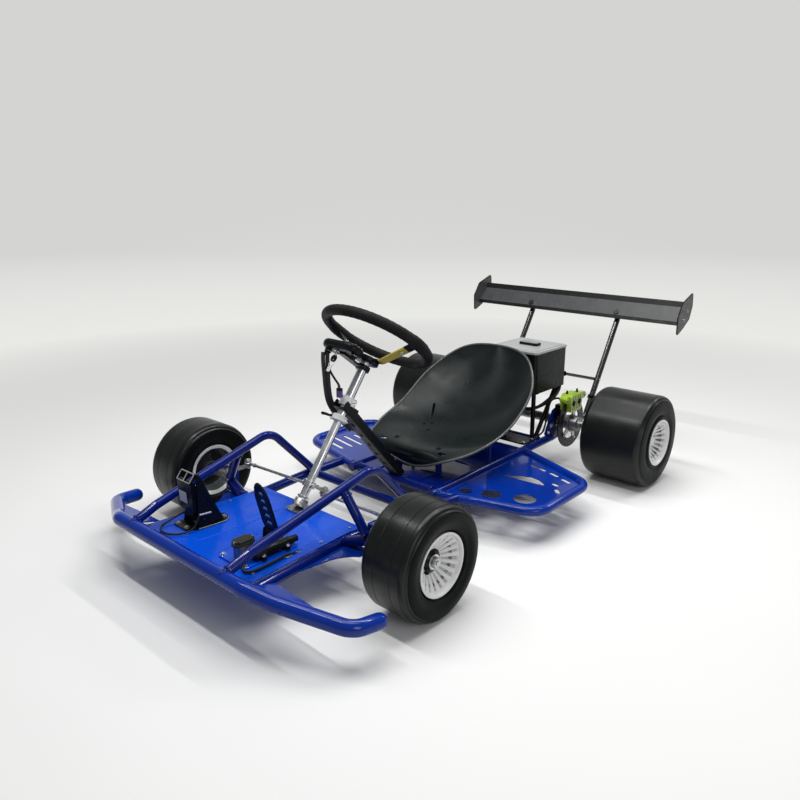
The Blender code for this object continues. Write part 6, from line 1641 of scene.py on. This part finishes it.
def make_battery():
    """Battery box on four legs with its cables, and its light sheet lid with a flat grip."""
    low, high = BOX_LOW, BOX_HIGH

    def cover(margin, corner, steps, thickness, z):
        """Plate over the box, set in from its sides by a margin, at a height from its rim."""
        outline = rectangle(low.x + margin, low.y + margin, high.x - margin, high.y - margin)
        return plate(rounded_outline(outline, corner, steps), thickness, at_height(z))

    piece = Piece("battery_case")
    piece.add(PLASTIC, cover(0, 0.012, 7, high.z - low.z, low.z))
    piece.make("chassis", ["battery_box"], bevel=0.0012, sharp=40,
               cuts=[cover(0.003, 0.004, 5, 0.2, low.z + 0.003)])
    legs = Piece("battery_case_frame")
    foot_z = REAR_RAIL_Z + 0.01
    for x in (low.x + 0.02, high.x - 0.02):
        for y, foot_y in ((low.y + 0.03, REAR_CROSS_Y - 0.0125), (high.y - 0.02, REAR_CROSS_Y + 0.0125)):
            legs.add(BLACK, bar((x, y, low.z + 0.001), (x, foot_y, foot_z), 0.007, 28),
                     lathe(rectangle(0, -0.004, 0.015, 0.0), (x, y, low.z), UP, 32),
                     weld((x, foot_y, foot_z), (0, foot_y - y, -0.15), 0.007, seed=x * 90))
    legs.make("chassis", (), bevel=0.0003, sharp=40)
    cables = Piece("power_cables")
    for k in range(2):
        path = [(0.12 - 0.014 * k, 1.03, 0.252), (0.124 - 0.01 * k, 1.016, 0.234),
                (0.122 - 0.008 * k, 0.985, 0.213), (0.1, 0.945 - 0.01 * k, 0.19),
                (0.078, 0.905 - 0.01 * k, 0.186), (0.05, 0.874 - 0.014 * k, 0.2),
                (SPROCKET_X + 0.187 - 0.012 * k, MOTOR_Y + 0.024 - 0.026 * k, MOTOR_Z + 0.056)]
        cables.add(CABLE, swept(smooth_curve(path, 0.006), 0.0052, 18, round_ends=True))
    cables.make("chassis", (), sharp=50)
    lid = Piece("battery_cover")
    lid.add(LID_SHEET, cover(-0.002, 0.013, 7, 0.0065, high.z + 0.0003),
            cover(0.01, 0.01, 7, 0.0015, high.z + 0.0066))
    lid.add(PLASTIC, cover(0.0035, 0.004, 5, 0.005, high.z - 0.004))
    grip = rounded_outline(rectangle(0.011, 0.941, 0.079, 0.969), 0.005, 5)
    lid.add(PLASTIC, plate(grip, 0.008, at_height(high.z + 0.008)))
    # Grey plate on top of the black grip: a painted highlight on its top face.
    lit_grip_top = rounded_outline(rectangle(0.015, 0.945, 0.075, 0.965), 0.003, 5)
    lid.add(GREY_PLASTIC, plate(lit_grip_top, 0.0008, at_height(high.z + 0.0157)))
    lid.make("battery_lid", ["battery_lid"], bevel=0.001, sharp=40)


def make_drive():
    make_axle()
    make_disc()
    make_caliper()
    make_chain_drive()
    make_motor()
    make_battery()
    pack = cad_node("battery_pack")
    if not pack.material_slots:
        pack.data.materials.append(CELLS)
    for holder in pack.material_slots:
        holder.material = CELLS


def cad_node(name):
    """The CAD node's own object."""
    node = frame["nodes"][name]
    return bpy.data.objects[node] if isinstance(node, str) else node


# Seat

SEAT_SPINE = [(0.418, 0.114), (0.405, 0.15), (0.43, 0.168), (0.58, 0.168), (0.68, 0.2), (0.76, 0.275),
              (0.841, 0.395)]
SEAT_RIM = [(0.0, 0.418, 0.114), (0.139, 0.408, 0.16), (0.193, 0.496, 0.186), (0.206, 0.62, 0.226),
            (0.194, 0.736, 0.306), (0.118, 0.818, 0.378), (0.0, 0.841, 0.395)]


def run_along(points, share):
    """Point at a share of a Catmull-Rom curve's spans. The first and last points only guide it."""
    spans = len(points) - 3
    k = min(int(share * spans), spans - 1)
    return on_curve(*points[k:k + 4], share * spans - k)


def seat_grid(rows, columns):
    """Upper surface of the scoop: rows of points across, from the front lip to the top."""
    spine = [Vector((0, y, z)) for y, z in SEAT_SPINE]
    spine = [spine[0], *spine, spine[-1]]
    rim = [Vector(p) for p in SEAT_RIM]
    rim = [Vector((-rim[1].x, *rim[1].yz)), *rim, Vector((-rim[-2].x, *rim[-2].yz))]
    grid = []
    for i in range(rows + 1):
        middle = run_along(spine, i / rows)
        edge = run_along(rim, i / rows)
        flat = Vector((0.48 * edge.x, middle.y, middle.z))
        steep = Vector((0.813 * edge.x, 0.367 * middle.y + 0.633 * edge.y,
                        0.613 * middle.z + 0.387 * edge.z))
        row = []
        for j in range(columns + 1):
            u = 2 * j / columns - 1
            t = abs(u)
            point = ((1 - t) ** 3 * middle + 3 * t * (1 - t) ** 2 * flat
                     + 3 * t * t * (1 - t) * steep + t ** 3 * edge)
            row.append(Vector((math.copysign(point.x, u) if t else 0.0, point.y, point.z)))
        grid.append(row)
    return grid


def seat_normal(grid, i, j):
    rows, columns = len(grid), len(grid[0])
    if i in (0, rows - 1):
        middle = columns // 2
        along = grid[min(i + 1, rows - 1)][middle] - grid[max(i - 1, 0)][middle]
        return ACROSS.cross(along).normalized()
    along = grid[i + 1][j] - grid[i - 1][j]
    across = grid[i][min(j + 1, columns - 1)] - grid[i][max(j - 1, 0)]
    return across.cross(along).normalized()


def make_seat():
    """Scoop seat: a thin moulded shell with a rolled rim, drain slots and its bolts."""
    rows, columns, thickness = 60, 52, 0.004
    grid = seat_grid(rows, columns)
    normals = [[seat_normal(grid, i, j) for j in range(columns + 1)] for i in range(rows + 1)]
    below = [[grid[i][j] - normals[i][j] * thickness for j in range(columns + 1)] for i in range(rows + 1)]
    points, number, faces = [], {}, []

    def vertex(layer, i, j):
        if i in (0, rows):
            j = 0
        key = (layer, i, j)
        if key not in number:
            number[key] = len(points)
            points.append((grid if layer else below)[i][j if i not in (0, rows) else columns // 2])
        return number[key]

    for i in range(rows):
        for j in range(columns):
            for layer in (0, 1):
                around = ((i, j), (i, j + 1), (i + 1, j + 1), (i + 1, j))
                corners = list(dict.fromkeys(vertex(layer, a, b) for a, b in around))
                faces.append(tuple(corners if layer else reversed(corners)))
        for j in (0, columns):
            around = ((0, i), (0, i + 1), (1, i + 1), (1, i))
            corners = list(dict.fromkeys(vertex(layer, a, j) for layer, a in around))
            if len(corners) > 2:
                faces.append(tuple(corners))
    level = at_height(0.14)
    cuts = [plate(slot(-0.109, 0.65, 0.06, 0.009, 119, 10), 0.12, level)]
    for x in (-0.111, 0.108):
        cuts.append(plate(slot(x, 0.426, 0.026, 0.011, 0, 10), 0.06, level))
    for x, y, radius in ((-0.089, 0.584, 0.0042), (-0.073, 0.603, 0.0042), (-0.053, 0.562, 0.0042),
                         (0.06, 0.559, 0.003), (0.092, 0.552, 0.003)):
        cuts.append(bar((x, y, 0.14), (x, y, 0.2), radius, 20))
    shell = Piece("seat_scoop")
    shell.add(SEAT, (points, faces))
    shell.make("chassis", ["seat_shell"], bevel=0.0008, sharp=45, cuts=cuts)
    rim = Piece("seat_rolled_rim")
    edge = [grid[i][0] for i in range(1, rows)]
    edge = ([grid[0][0]] + edge + [grid[rows][0]] + [Vector((-p.x, p.y, p.z)) for p in edge[::-1]])
    # The rolled rim is drawn in a pale grey painted highlight.
    rim.add(SEAT_RIM_HIGHLIGHT, swept([p - UP * 0.0018 for p in edge], 0.0036, 14, closed=True))
    rim.make("chassis", (), sharp=60)
    bolts = Piece("seat_bolts")
    for x, y in ((0.075, 0.455), (-0.075, 0.455)):
        spot, normal = surface_point(grid, normals, x, y)
        bolts.add(BLACK, *cap_bolt(spot, normal, 0.0052, 0.003))
        bolts.add(BLACK, lathe([(0, 0), (0.011, 0), (0.01, 0.0012), (0, 0.0012)], spot, normal, 32))
    bolts.make("chassis", (), sharp=40)


def surface_point(grid, normals, x, y):
    """Nearest point of the seat's upper surface to a place seen from above."""
    best = None
    for i in range(1, len(grid) - 1):
        for j, point in enumerate(grid[i]):
            apart = (point.x - x) ** 2 + (point.y - y) ** 2
            if best is None or apart < best[0]:
                best = (apart, i, j)
    _, i, j = best
    return grid[i][j], normals[i][j]


# Wing

WING_SECTION = [(1.283, 0.4455), (1.288, 0.4555), (1.33, 0.499), (1.341, 0.516)]


def strip(path, half_span, thickness):
    """Sheet along a section line in the YZ plane, thickened behind and below it."""
    points, faces = [], []
    for k, p in enumerate(path):
        run = (path[min(k + 1, len(path) - 1)] - path[max(k - 1, 0)]).normalized()
        normal = Vector((0, run.z, -run.y))
        for x in (-half_span, half_span):
            points.append(Vector((x, p.y, p.z)))
            points.append(Vector((x, p.y, p.z)) + normal * thickness)
    count = len(path)
    for k in range(count - 1):
        a, b = 4 * k, 4 * (k + 1)
        faces += [(a, a + 2, b + 2, b), (a + 1, b + 1, b + 3, a + 3), (a, b, b + 1, a + 1),
                  (a + 2, a + 3, b + 3, b + 2)]
    a = 4 * (count - 1)
    faces += [(0, 1, 3, 2), (a, a + 2, a + 3, a + 1)]
    return points, faces


def make_wing():
    """Wing sheet with its lip and tail darkened as painted shade, and the end plates with their rolled edge
    in the same painted shade.
    """
    path = rounded([(0, y, z) for y, z in WING_SECTION], 0.006, 6)
    lip_end = sum(p.z < 0.4605 for p in path) - 1
    tail_start = sum(p.z <= 0.4955 for p in path)
    sheet = Piece("wing_blade")
    for look, run in ((WING_SHADED, path[:lip_end + 1]), (WING, path[lip_end:tail_start + 1]),
                      (WING_SHADED, path[tail_start:])):
        sheet.add(look, strip(run, WING_HALF_SPAN - 0.0003, 0.003))
    sheet.make("chassis", ["wing_plane"], bevel=0.0004, sharp=30)
    leaf = [(1.256, 0.417), (1.2535, 0.475), (1.284, 0.519), (1.36, 0.545), (1.364, 0.501), (1.346, 0.46),
            (1.302, 0.436)]
    outline = rounded_outline(leaf, 0.007, 5)
    rim = [Vector((WING_HALF_SPAN + 0.0015, y, z)) for y, z in outline]
    for side, word in SIDES:
        end = Piece(f"wing_end_leaf_{word}")
        end.add(WING, plate(outline, 0.003, upright(WING_HALF_SPAN)), side=side)
        end.add(WING_SHADED, swept(rim, 0.0021, 10, closed=True), side=side)
        for y, z in ((1.3, 0.462), (1.325, 0.488)):
            screw = cap_bolt(Vector((WING_HALF_SPAN + 0.003, y, z)), ACROSS, 0.0045, 0.0024)
            end.add(STEEL, *screw, side=side)
        end.make("chassis", [f"wing_endplate_{word}"], bevel=0.0003, sharp=40)
        make_strut(side, word)


def make_strut(side, word):
    """Bent strut from the hanger up to the wing sheet, with its clamp and its brace to the box."""
    low, high = (Vector((WING_STRUT_X, y, z)) for y, z in WING_SECTION[1:3])
    face = (high - low).cross(ACROSS).normalized()
    bend = Vector((WING_STRUT_X, 1.316, 0.446))
    top = bend + face * ((low - bend).dot(face) - 0.0035)
    route = [top, bend, (0.172, 1.12, 0.131), (0.158, 1.042, 0.131), (0.1446, 1.0388, 0.131)]
    clamp = [(0.0095, -0.006), (0.012, -0.006), (0.0128, -0.0048), (0.0128, 0.0048), (0.012, 0.006),
             (0.0095, 0.006)]
    near = BOX_HIGH.x - 0.006 if side > 0 else -BOX_LOW.x - 0.006
    foot = Vector((near, BOX_HIGH.y, 0.2852))
    washer = rectangle(0, 0, 0.0085, 0.003)
    piece = Piece(f"wing_stay_{word}")
    piece.add(BLACK_GLOSS, tube(route, 0.0095, 0.02, sides=30), side=side)
    piece.add(PLASTIC, lathe(clamp, (0.1712, 1.1571, 0.1906), (-0.0002, 0.0073, 0.0117), 36), side=side)
    brace = bar((WING_STRUT_X - 0.004, 1.19, 0.246), foot + REARWARD * 0.0004, 0.0052, 24)
    piece.add(BLACK_GLOSS, brace, side=side)
    bolt = cap_bolt(Vector((WING_STRUT_X + 0.0093, 1.19, 0.246)), ACROSS, 0.0042, 0.0026)
    piece.add(STEEL, *bolt, side=side)
    piece.add(BLACK, lathe(washer, foot + REARWARD * 0.0003, REARWARD, 28), side=side)
    piece.add(STEEL, *hex_bolt(foot + REARWARD * 0.0033, REARWARD, 0.0044, 0.003), side=side)
    piece.make("chassis", [f"wing_strut_{word}"], sharp=40)


# Pedals

def make_brake_pedal():
    """Arched brake pedal plate with five oval holes and a raised bead round its edge."""
    pivot = BRAKE_PIVOT
    rise = Vector((0.08, -0.171, 0.254)) - pivot
    length = rise.length
    frame = basis(pivot, ACROSS.cross(rise))
    half = 0.0235
    outline = [(-0.0195, 0.004), (0.0195, 0.004), (0.0195, 0.012), (half, 0.024), (half, length * 0.6)]
    outline += [(half * math.cos(a), length * 0.6 + length * 0.4 * math.sin(a))
                for a in (math.pi * k / 12 for k in range(1, 12))]
    outline += [(-half, length * 0.6), (-half, 0.024), (-0.0195, 0.012)]
    holes = [slot(0, 0.028 + 0.0195 * k, 0.022 - 0.001 * k, 0.009, 0, 8) for k in range(5)]
    piece = Piece("brake_pedal_plate")
    piece.add(BLACK, plate(outline, 0.004, raised(frame, -0.002), holes),
              swept([frame @ Vector((x, y, 0)) for x, y in outline], 0.0026, 10, closed=True),
              bar(pivot - ACROSS * 0.0185, pivot + ACROSS * 0.0185, 0.008, 36, 0.0008))
    piece.add(STEEL, bar(pivot - ACROSS * 0.0186, pivot - ACROSS * 0.018, 0.006, 28))
    hole = bar(pivot - ACROSS * 0.05, pivot + ACROSS * 0.05, 0.0043, 24)
    piece.make("brake_pedal", ["brake_pedal"], bevel=0.0003, sharp=40, cuts=[hole])


def make_master_cylinder():
    """Black master cylinder on its base plate, with a silver reservoir under a ribbed khaki cap."""
    piece = Piece("brake_master")
    level = PAN_TOP + 0.0003
    base = rectangle(0.052, -0.266, 0.1475, -0.12)
    piece.add(BLUE_SHEET_LIT, plate(rounded_outline(base, 0.008), 0.003, at_height(level)))
    pivot = BRAKE_PIVOT
    for side in (1, -1):
        ear = [(-0.01, level + 0.002), (0.01, level + 0.002), (0.0085, pivot.z),
               (0.006, pivot.z + 0.0075), (0, pivot.z + 0.0095), (-0.006, pivot.z + 0.0075),
               (-0.0085, pivot.z)]
        piece.add(BLACK, plate(ear, 0.004, upright(pivot.x + side * 0.0228 - 0.002, pivot.y)))
        piece.add(STEEL, *hex_bolt(pivot + ACROSS * (side * 0.0249), ACROSS * side, 0.0056, 0.0036))
    piece.add(STEEL, bar(pivot - ACROSS * 0.025, pivot + ACROSS * 0.025, 0.004, 24))
    x, z = 0.134, 0.1253
    body = [(0, 0), (0.0085, 0), (0.011, 0.0015), (0.0118, 0.004), (0.0118, 0.018), (0.0125, 0.02),
            (0.0125, 0.078), (0.0115, 0.08), (0.0115, 0.094), (0.0095, 0.096), (0.0095, 0.104),
            (0, 0.104)]
    piece.add(BLACK, lathe(body, (x, -0.232, z), REARWARD, 48))
    for k in range(6):
        piece.add(PLASTIC, torus((x, -0.128 - 0.0035 * k + 0.012, z), REARWARD, 0.0062, 0.0015, 32, 8))
    for y in (-0.214, -0.15):
        lug = rectangle(x - 0.017, y - 0.006, x + 0.017, y + 0.006)
        piece.add(BLACK, plate(rounded_outline(lug, 0.004), 0.01, at_height(level + 0.003)))
        for side in (1, -1):
            piece.add(STEEL, *hex_bolt(Vector((x + side * 0.0125, y, level + 0.013)), UP, 0.004, 0.003))
    tank = (0.105, -0.235)
    piece.add(CAST, plate(slot(*tank, 0.046, 0.026, 90, 10), 0.034, at_height(level + 0.003)))
    piece.add(KHAKI, plate(slot(*tank, 0.054, 0.032, 90, 12), 0.004, at_height(level + 0.037)))
    for k in range(5):
        px = tank[0] - 0.012 + 0.006 * k
        reach = 0.0175 if k in (0, 4) else 0.0235
        piece.add(KHAKI, block((px - 0.0017, tank[1] - reach, level + 0.0405),
                               (px + 0.0017, tank[1] + reach, level + 0.0475)))
    for py in (tank[1] - 0.022, tank[1] + 0.022):
        piece.add(STEEL, *cap_bolt(Vector((tank[0], py, level + 0.041)), UP, 0.003, 0.0062))
    for bx, by in ((0.06, -0.256), (0.06, -0.128), (0.139, -0.257), (0.12, -0.128)):
        piece.add(STEEL, *hex_bolt(Vector((bx, by, level + 0.003)), UP, 0.0048))
    piece.make("chassis", ["master_cylinder"], bevel=0.0004, sharp=40)


def make_throttle():
    """Throttle pedal with its tilted two-window head, between a tall side plate and a small ear."""
    pivot = THROTTLE_PIVOT
    piece = Piece("throttle_pedal_lever")
    body = rounded_outline([(-0.226, 0.15), (-0.231, 0.223), (-0.219, 0.225), (-0.214, 0.15)], 0.002)
    piece.add(BLACK, plate(body, 0.055, upright(pivot.x - 0.0275)))
    arm = rounded_outline([(-0.226, 0.156), (-0.214, 0.156), (-0.199, 0.128), (-0.211, 0.122)], 0.002)
    piece.add(BLACK, plate(arm, 0.036, upright(pivot.x - 0.018)))
    head_frame = basis((pivot.x, -0.222, 0.232), (0, -0.78, 0.62))
    windows = [rounded_outline(rectangle(x - 0.011, -0.01, x + 0.011, 0.01), 0.002, 3)
               for x in (-0.013, 0.013)]
    head = rounded_outline(rectangle(-0.028, -0.014, 0.028, 0.014), 0.003)
    piece.add(BLACK, plate(head, 0.006, raised(head_frame, -0.003), windows))
    rim = rounded_outline(rectangle(-0.0255, -0.0115, 0.0255, 0.0115), 0.002, 3)
    for line in (rim + rim[:1], [(0, -0.011), (0, 0.011)]):
        piece.add(ALLOY, swept([head_frame @ Vector((x, y, 0.0033)) for x, y in line], 0.0013, 10))
    front = basis((pivot.x - 0.01, -0.22826, 0.183), (0, -0.9977, -0.0683))
    label = rounded_outline(rectangle(-0.015, -0.014, 0.015, 0.014), 0.002, 3)
    piece.add(LABEL, plate(label, 0.0005, front))
    piece.add(BLACK, bar((-0.1482, pivot.y, pivot.z), (-0.0915, pivot.y, pivot.z), 0.009, 36, 0.0008))
    hole = bar(pivot - ACROSS * 0.05, pivot + ACROSS * 0.05, 0.0043, 24)
    piece.make("throttle_pedal", ["throttle_pedal"], bevel=0.0004, sharp=40, cuts=[hole])
    base = Piece("throttle_bracket")
    level = PAN_TOP + 0.0003
    outline = [(-0.0776, -0.1556), (-0.0908, -0.134), (-0.118, -0.131), (-0.154, -0.19), (-0.154, -0.245),
               (-0.104, -0.245), (-0.085, -0.224)]
    base.add(BLACK, plate(rounded_outline(outline, 0.004), 0.003, at_height(level)))
    side_plate = [(-0.219, level + 0.001), (-0.15, level + 0.001), (-0.2105, 0.243), (-0.2165, 0.243)]
    base.add(BLACK, plate(rounded_outline(side_plate, 0.002, 3), 0.004, upright(-0.0912)))
    ear = [(-0.219, level + 0.001), (-0.19, level + 0.001), (-0.199, 0.138), (-0.213, 0.138)]
    base.add(BLACK, plate(rounded_outline(ear, 0.003, 3), 0.004, upright(-0.1525)))
    base.add(STEEL, bar((-0.154, pivot.y, pivot.z), (-0.086, pivot.y, pivot.z), 0.004, 24))
    base.add(BLACK, *hex_bolt(Vector((-0.0872, pivot.y, pivot.z)), ACROSS, 0.0054, 0.003))
    base.add(BLACK, *hex_bolt(Vector((-0.1525, pivot.y, pivot.z)), -ACROSS, 0.0054, 0.0036))
    base.add(ALLOY, bar((-0.0846, -0.218, 0.146), (-0.0846, -0.186, 0.143), 0.0024, 18, 0.0008))
    base.add(ALLOY, swept(smooth_curve([(-0.084, -0.222, 0.1128), (-0.0776, -0.16, 0.1128),
                                        (-0.081, -0.146, 0.1128), (-0.0908, -0.136, 0.1128)], 0.004),
                          0.0008, 8))
    for x, y in ((-0.1, -0.142), (-0.146, -0.236), (-0.112, -0.236)):
        base.add(ZINC, *hex_bolt(Vector((x, y, level + 0.003)), UP, 0.0046))
    base.make("chassis", ["throttle_base"], bevel=0.0004, sharp=40)
    cable = Piece("throttle_wire")
    loop = smooth_curve([(-0.156, -0.206, 0.128), (-0.164, -0.214, 0.126), (-0.168, -0.24, 0.118),
                         (-0.162, -0.27, 0.1142), (-0.14, -0.285, 0.1138), (-0.112, -0.283, 0.1138),
                         (-0.092, -0.264, 0.1142), (-0.083, -0.24, 0.118), (-0.0838, -0.226, 0.132),
                         (-0.0846, -0.219, 0.144)], 0.004)
    cable.add(CABLE, swept(loop, 0.0022, 12))
    cable.make("chassis", (), sharp=50)


def make_hose():
    """Brake hose through the pan and under the left rail, with a crimped union at each end."""
    route = [(0.134, -0.2325, 0.1253), (0.1345, -0.245, 0.1253), (0.14, -0.262, 0.1205),
             (0.153, -0.272, 0.1155), (0.165, -0.266, 0.1141), (0.169, -0.245, 0.1141),
             (0.168, -0.205, 0.115), (0.165, -0.175, 0.115), (0.1625, -0.15, 0.1095),
             (0.164, -0.125, 0.101), (0.166, -0.095, 0.0965), (0.163, -0.04, 0.096),
             (0.1612, 0.0, 0.096), (0.1655, 0.04, 0.096), (0.1754, 0.14, 0.095),
             (0.178, 0.19, 0.087), (0.176, FRONT_CROSS_Y, 0.0775), (0.172, 0.26, 0.078),
             (0.15, 0.32, 0.074), (0.14, SEAT_CROSS_Y, 0.073), (0.1345, 0.4, 0.08),
             (0.1315, 0.45, 0.084), (0.1285, 0.64, 0.084), (0.1255, 0.8, 0.084),
             (0.1245, REAR_CROSS_Y - 0.05, 0.089), (0.127, REAR_CROSS_Y, 0.1062), (0.127, 0.93, 0.118),
             (0.127, 0.95, 0.17), (0.13, 0.958, 0.208), (0.145, 0.97, 0.22), (DISC_X - 0.0207, 0.97, 0.22)]
    path = smooth_curve(route, 0.006)
    piece = Piece("brake_line")
    piece.add(CABLE, swept(path, 0.003, 16))
    for here, ahead in ((0, 1), (-1, -2)):
        run = (path[ahead] - path[here]).normalized()
        piece.add(BRASS, bar(path[here], path[here] + run * 0.005, 0.0044, 6, 0.0003))
    piece.make("chassis", ["brake_hose"], sharp=50)


def make_pedals():
    make_brake_pedal()
    make_master_cylinder()
    make_throttle()
    make_hose()


# Stage, light and camera

class Backdrop(Look):
    """Studio surface: lit like paper close to the kart, and evenly pale far from it."""

    def __init__(self, name, colour, near, far):
        super().__init__(name, colour, 0.6, specular=0.2)
        self.tint(self.noise(0.8, 3), tuple(c * 0.97 for c in colour))
        pale = self.node("ShaderNodeEmission")
        pale.inputs["Strength"].default_value = 1.0
        ramp = self.node("ShaderNodeValToRGB")
        marks = ramp.color_ramp
        marks.elements[0].position, marks.elements[0].color = 0.0, (*near, 1)
        marks.elements[1].position, marks.elements[1].color = 1.0, (*far, 1)
        self.link(self.spread(self.reach(), 0.0, 1.0, 2.0, 10.0), ramp.inputs["Fac"])
        self.link(ramp.outputs["Color"], pale.inputs["Color"])
        seen = self.node("ShaderNodeMixShader")
        self.link(self.spread(self.reach(), 0.0, 1.0, 1.0, 3.2), seen.inputs[0])
        self.link(self.shader.outputs[0], seen.inputs[1])
        self.link(pale.outputs[0], seen.inputs[2])
        dim = self.node("ShaderNodeBsdfDiffuse")
        dim.inputs["Color"].default_value = (0.5, 0.5, 0.5, 1)
        path = self.node("ShaderNodeLightPath")
        shown = self.node("ShaderNodeMath", operation="MAXIMUM")
        self.link(path.outputs["Is Camera Ray"], shown.inputs[0])
        mirrored = self.node("ShaderNodeMath", operation="MAXIMUM")
        self.link(path.outputs["Is Glossy Ray"], mirrored.inputs[0])
        self.link(path.outputs["Is Transmission Ray"], mirrored.inputs[1])
        self.link(mirrored.outputs[0], shown.inputs[1])
        whole = self.node("ShaderNodeMixShader")
        self.link(shown.outputs[0], whole.inputs[0])
        self.link(dim.outputs[0], whole.inputs[1])
        self.link(seen.outputs[0], whole.inputs[2])
        self.link(whole.outputs[0], self.tree.nodes["Material Output"].inputs["Surface"])

    def reach(self):
        """Distance from the middle of the stage."""
        made = self.node("ShaderNodeVectorMath", operation="LENGTH")
        self.link(self.place, made.inputs[0])
        return made.outputs["Value"]


def make_stage():
    """Seamless pale floor that sweeps up into a slightly darker wall far behind the kart."""
    view = Vector((-math.sin(CAMERA_YAW), math.cos(CAMERA_YAW), 0))
    side = Vector((math.cos(CAMERA_YAW), math.sin(CAMERA_YAW), 0))
    look = Backdrop("studio paper", (0.86, 0.86, 0.85), (0.84, 0.85, 0.82), (0.66, 0.665, 0.65)).material
    half_width = 14
    far = 8.5
    sweep = 1.6
    profile = [(-9.0 + 0.875 * k, 0.0) for k in range(21)]
    for k in range(1, 13):
        a = math.radians(7.5 * k)
        profile.append((far + sweep * math.sin(a), sweep * (1 - math.cos(a))))
    profile.append((far + sweep, 9.0))
    bm = bmesh.new()
    rows = []
    for run, height in profile:
        row = []
        for k in range(9):
            row.append(bm.verts.new(view * run + side * (half_width * (k - 4) / 4) + UP * height))
        rows.append(row)
    for lower, upper in zip(rows, rows[1:]):
        for k in range(8):
            bm.faces.new((lower[k], lower[k + 1], upper[k + 1], upper[k]))
    mesh = bpy.data.meshes.new("studio_floor")
    bm.to_mesh(mesh)
    bm.free()
    mesh.materials.append(look)
    obj = placed("studio_floor", mesh)
    obj.data.shade_smooth()


def area_light(name, place, aim, size, power):
    data = bpy.data.lights.new(name, "AREA")
    data.shape = "RECTANGLE"
    data.size, data.size_y = size
    data.energy = power
    placed(name, data).matrix_world = basis(place, Vector(place) - Vector(aim))


def make_light():
    world = bpy.data.worlds.new("studio")
    bpy.context.scene.world = world
    world.use_nodes = True
    background = world.node_tree.nodes["Background"]
    background.inputs["Color"].default_value = (0.97, 0.98, 1.0, 1)
    background.inputs["Strength"].default_value = 0.24
    area_light("overhead", (0.1, 0.0, 2.7), (0.0, 0, 0.2), (1.9, 1.2), 28)
    area_light("strip_front", (-0.2, -0.9, 2.3), (0, -0.2, 0.2), (1.8, 0.1), 22)
    area_light("strip_rear", (0.3, 1.0, 2.4), (0, 0.3, 0.2), (1.8, 0.1), 20)
    area_light("fill", (2.6, -1.0, 1.3), (0.2, 0, 0.2), (1.0, 1.0), 12)
    area_light("rear", (0.9, 2.4, 2.2), (0, 0.2, 0.2), (1.4, 0.6), 14)


CAMERA_YAW = 0.7297
CAMERA_PITCH = 0.2693
CAMERA_ROLL = 0.0018


def make_camera():
    data = bpy.data.cameras.new("view")
    data.sensor_width = 36.0
    data.lens = 32.93
    data.shift_x = -0.003175
    data.shift_y = -0.00733
    back = Vector((math.sin(CAMERA_YAW) * math.cos(CAMERA_PITCH),
                   -math.cos(CAMERA_YAW) * math.cos(CAMERA_PITCH), math.sin(CAMERA_PITCH)))
    right = Vector((math.cos(CAMERA_YAW), math.sin(CAMERA_YAW), 0))
    up = back.cross(right)
    turned = right * math.cos(CAMERA_ROLL) + up * math.sin(CAMERA_ROLL)
    up = back.cross(turned)
    matrix = Matrix((turned, up, back)).transposed().to_4x4()
    matrix.translation = Vector((1.2907, -1.0576, 0.8606)) + SHIFT
    bpy.context.scene.camera = placed("view", data)
    bpy.context.scene.camera.matrix_world = matrix


make_camera()
make_chassis()
make_steering()
make_wheels()
make_drive()
make_seat()
make_wing()
make_pedals()
make_stage()
make_light()
bpy.context.scene.view_settings.view_transform = "Standard"
